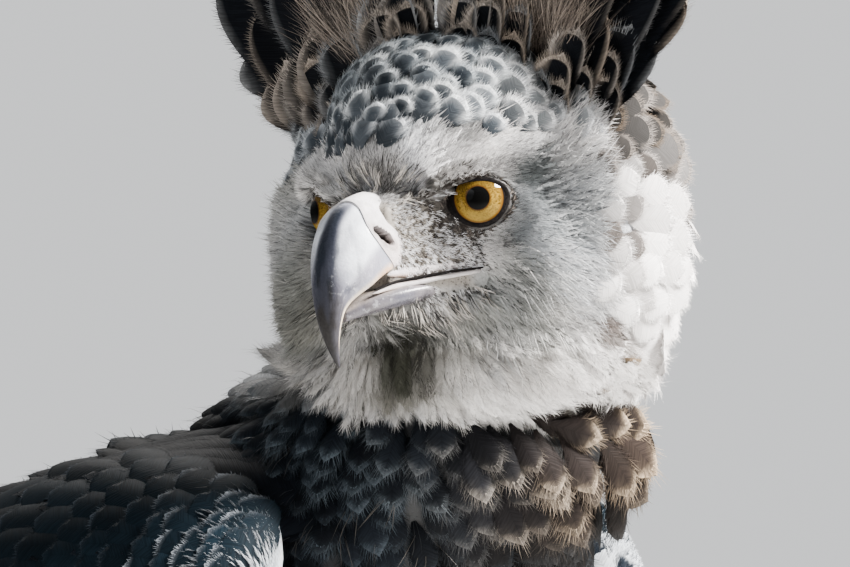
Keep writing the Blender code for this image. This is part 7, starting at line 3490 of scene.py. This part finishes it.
    def _down(self) -> None:
        """Brown hair-like down that radiates before the middle of the fan."""
        rng = self.coat.rng
        count, (low, high) = 96, self.down_share
        share, reach = rng.uniform(low, high, count), rng.uniform(0.30, 0.54, count)
        root = self.head.out(self.at(share, rng.uniform(0.14, 0.26, count), rng.uniform(3.0, 6.0, count)))
        spread = share + 0.25 * (share - (low + high) / 2) + rng.normal(0, 0.03, count)
        tip = self.head.out(self.at(spread, reach, rng.uniform(3.5, 7.5, count)))
        out = unit(rows_of(self.head.turn_out(np.array([1.0, 0.2, 0.3])), count))
        base = mix(rows_of(rgb(44, 38, 34), count), rgb(158, 144, 132), rng.random((count, 1)) ** 1.6)
        form = Tuft(length=30.0, blades=9, blade_width=0.15, fan=0.26, scatter=2.4, segments=4, curl=0.10)
        near = self.skin.nearest(root)
        batch = Batch(root, tip, out, out, near.unwrap, base, base, rise=0.003, root_dark=0.3)
        self.coat.lay(f"crest_down_{self.side.label}", form, batch, Finishes.BRISTLE, "crest_plumage")


@dataclass
class Claws:
    """The eight claws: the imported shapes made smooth, with grown rings towards the root."""

    nodes: dict[str, bpy.types.Object]

    def build(self) -> None:
        """Makes all eight."""
        for name in sorted(n for n in self.nodes if n.startswith("claw_")):
            self._claw(name)

    def _claw(self, name: str) -> None:
        """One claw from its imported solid.

        Args:
            name: of the CAD node.
        """
        obj = bpy.data.objects.new(f"{name}_horn", self.nodes[name].data.copy())
        bpy.context.scene.collection.objects.link(obj)
        with editing(obj):
            bpy.ops.mesh.remove_doubles(threshold=MERGE)
            bpy.ops.mesh.dissolve_limited(angle_limit=math.radians(4))
            bpy.ops.mesh.normals_make_consistent(inside=False)
        relax = {"iterations": 1, "factor": 0.3}
        finer = {"levels": 2, "render_levels": 2}
        for kind, settings in (("SMOOTH", relax), ("SUBSURF", finer)):
            modifier = obj.modifiers.new(kind.lower(), kind)
            for key, value in settings.items():
                setattr(modifier, key, value)
            bpy.ops.object.modifier_apply(modifier=modifier.name)
        points = coordinates(obj.data)
        points[:, 2] = np.maximum(points[:, 2], FLOOR_GAP)
        move_vertices(obj.data, points)
        obj.data.shade_smooth()
        low, high = points.min(axis=0), points.max(axis=0)
        root = np.array([TOE_JOINT[0] * np.sign(points[:, 0].mean()), TOE_JOINT[1], 0.03])
        far = np.linalg.norm((points - root) * [1, 1, 0], axis=1)
        share = (far - far.min()) / max(float(np.ptp(far)), 1e-6)
        colour = mix(rows_of(rgb(52, 50, 52), len(points)), rgb(14, 14, 16), smooth(0.0, 0.35, share))
        colour = colour * (1 + 0.12 * np.sin(far / 0.0011))[:, None]
        put_colours(obj.data, "paint", colour)
        put_vectors(obj.data, "wear", rows_of([0.4, 0.25, 0.0], len(points)))
        Finishes.CLAW.dress(obj)
        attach(obj, BODY)
        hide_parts(name)
        LOG.info("%s: %.0f mm long", name, 1000 * float(np.linalg.norm(high - low)))


# ---------------------------------------------------------------- studio


@dataclass
class Studio:
    """Camera, lamps and a plain floor."""

    head: HeadFrame
    distance: float = 2.5
    scale: float = 2900.0  # units of the frame's width to the metre at the head
    frame_width: float = 850.0
    aim: tuple[float, float] = (0.00872, -0.02707)  # metres from the eyes: to the frame's right, and up
    toward: Array = field(default_factory=lambda: np.array([-0.70711, -0.70711, 0.0]))
    right: Array = field(default_factory=lambda: np.array([0.70711, -0.70711, 0.0]))

    def build(self) -> None:
        """Sets up everything that isn't the bird."""
        self.camera()
        self.floor()
        self.lamp("key_lamp", (1.35, 0.35, 1.15), size=0.6, power=345.0, colour=(1.0, 0.965, 0.92))
        self.lamp("fill_lamp", (-1.3, 1.3, 0.5), size=1.4, power=8.0, colour=(0.90, 0.95, 1.0))
        self.lamp("rim_lamp", (-0.3, -1.5, 1.3), size=0.9, power=26.0, colour=(1.0, 0.98, 0.95))
        self.world()

    def world(self) -> None:
        """An even pale surround; it looks brighter than the light it gives."""
        world = bpy.data.worlds.new("studio")
        world.use_nodes = True
        world.node_tree.nodes.clear()
        build = Tree(world.node_tree)
        seen = build.node("ShaderNodeLightPath").outputs["Is Camera Ray"]
        back = build.node("ShaderNodeBackground")
        build.feed(back.inputs["Color"], (0.93, 0.945, 0.96))
        build.feed(back.inputs["Strength"], build.ramp(seen, 0.0, 1.0, 0.19, 1.05))
        build.feed(build.node("ShaderNodeOutputWorld").inputs["Surface"], back.outputs[0])
        bpy.context.scene.world = world

    def camera(self) -> None:
        """The view of the head from its left front, level with it."""
        data = bpy.data.cameras.new("camera")
        data.sensor_width = 36.0
        data.lens = data.sensor_width * self.distance * self.scale / self.frame_width
        data.clip_start, data.clip_end = 0.05, 60.0
        obj = bpy.data.objects.new("camera", data)
        target = self.head.origin + self.right * self.aim[0] + np.array([0, 0, self.aim[1]])
        obj.location = target + self.toward * self.distance
        obj.rotation_euler = (math.pi / 2, 0, math.radians(-45))
        bpy.context.scene.collection.objects.link(obj)
        bpy.context.scene.camera = obj

    def lamp(
        self, name: str, place: tuple[float, ...], size: float, power: float, colour: tuple[float, ...]
    ) -> None:
        """A soft lamp that faces the head.

        Args:
            name: what it is called.
            place: metres from the head to the frame's right, towards the camera, and up.
            size: its diameter, in metres.
            power: in watts.
            colour: of its light.
        """
        away = place[0] * self.right + place[1] * self.toward + place[2] * np.array(UP)
        data = bpy.data.lights.new(name, "AREA")
        data.shape, data.size, data.energy, data.color = "DISK", size, power, colour
        obj = bpy.data.objects.new(name, data)
        obj.location = self.head.origin + away
        obj.rotation_euler = Vector(-away).to_track_quat("-Z", "Y").to_euler()
        bpy.context.scene.collection.objects.link(obj)

    def floor(self) -> None:
        """A wide plain floor."""
        bpy.ops.object.select_all(action="DESELECT")
        bpy.ops.mesh.primitive_plane_add(size=14.0, location=(0, 0, 0))
        obj = bpy.context.view_layer.objects.active
        obj.name = "floor"
        bpy.ops.object.transform_apply()
        Finishes.FLOOR.dress(obj)


def main() -> None:
    """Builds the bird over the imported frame."""
    logging.basicConfig(level=logging.INFO, format="%(name)s: %(message)s", stream=sys.stdout)
    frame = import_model()
    head = HeadFrame()
    marks = Markings(head)
    opening = EyeOpening()
    orbits = tuple(Orbit(head, side, opening) for side in Side)
    skin = Skin(head, marks, frame["nodes"], orbits)
    surface = skin.build()
    Finishes.SKIN.dress(surface)
    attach(surface, BODY)
    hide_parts(*skin.stands_for)
    LOG.info("skin: %d faces", len(surface.data.polygons))
    coat = Coat(np.random.default_rng(20))
    Bill(head).build()
    Mouth(head, skin).build()
    Eyes(head, orbits).build()
    HeadPlumage(head, skin, marks, coat, orbits).build()
    BodyPlumage(head, skin, marks, coat, frame["nodes"]).build()
    for side in Side:
        FoldedWing(side, coat, skin).build()
        downy = (0.34, 0.72) if side is Side.LEFT else (0.26, 0.62)
        CrestFan(head, coat, skin, side, down_share=downy).build()
    TailFan(coat, skin).build()
    Claws(frame["nodes"]).build()
    LOG.info("coat: %d triangles", coat.triangles)
    Studio(head).build()


if __name__ == "__main__":
    main()
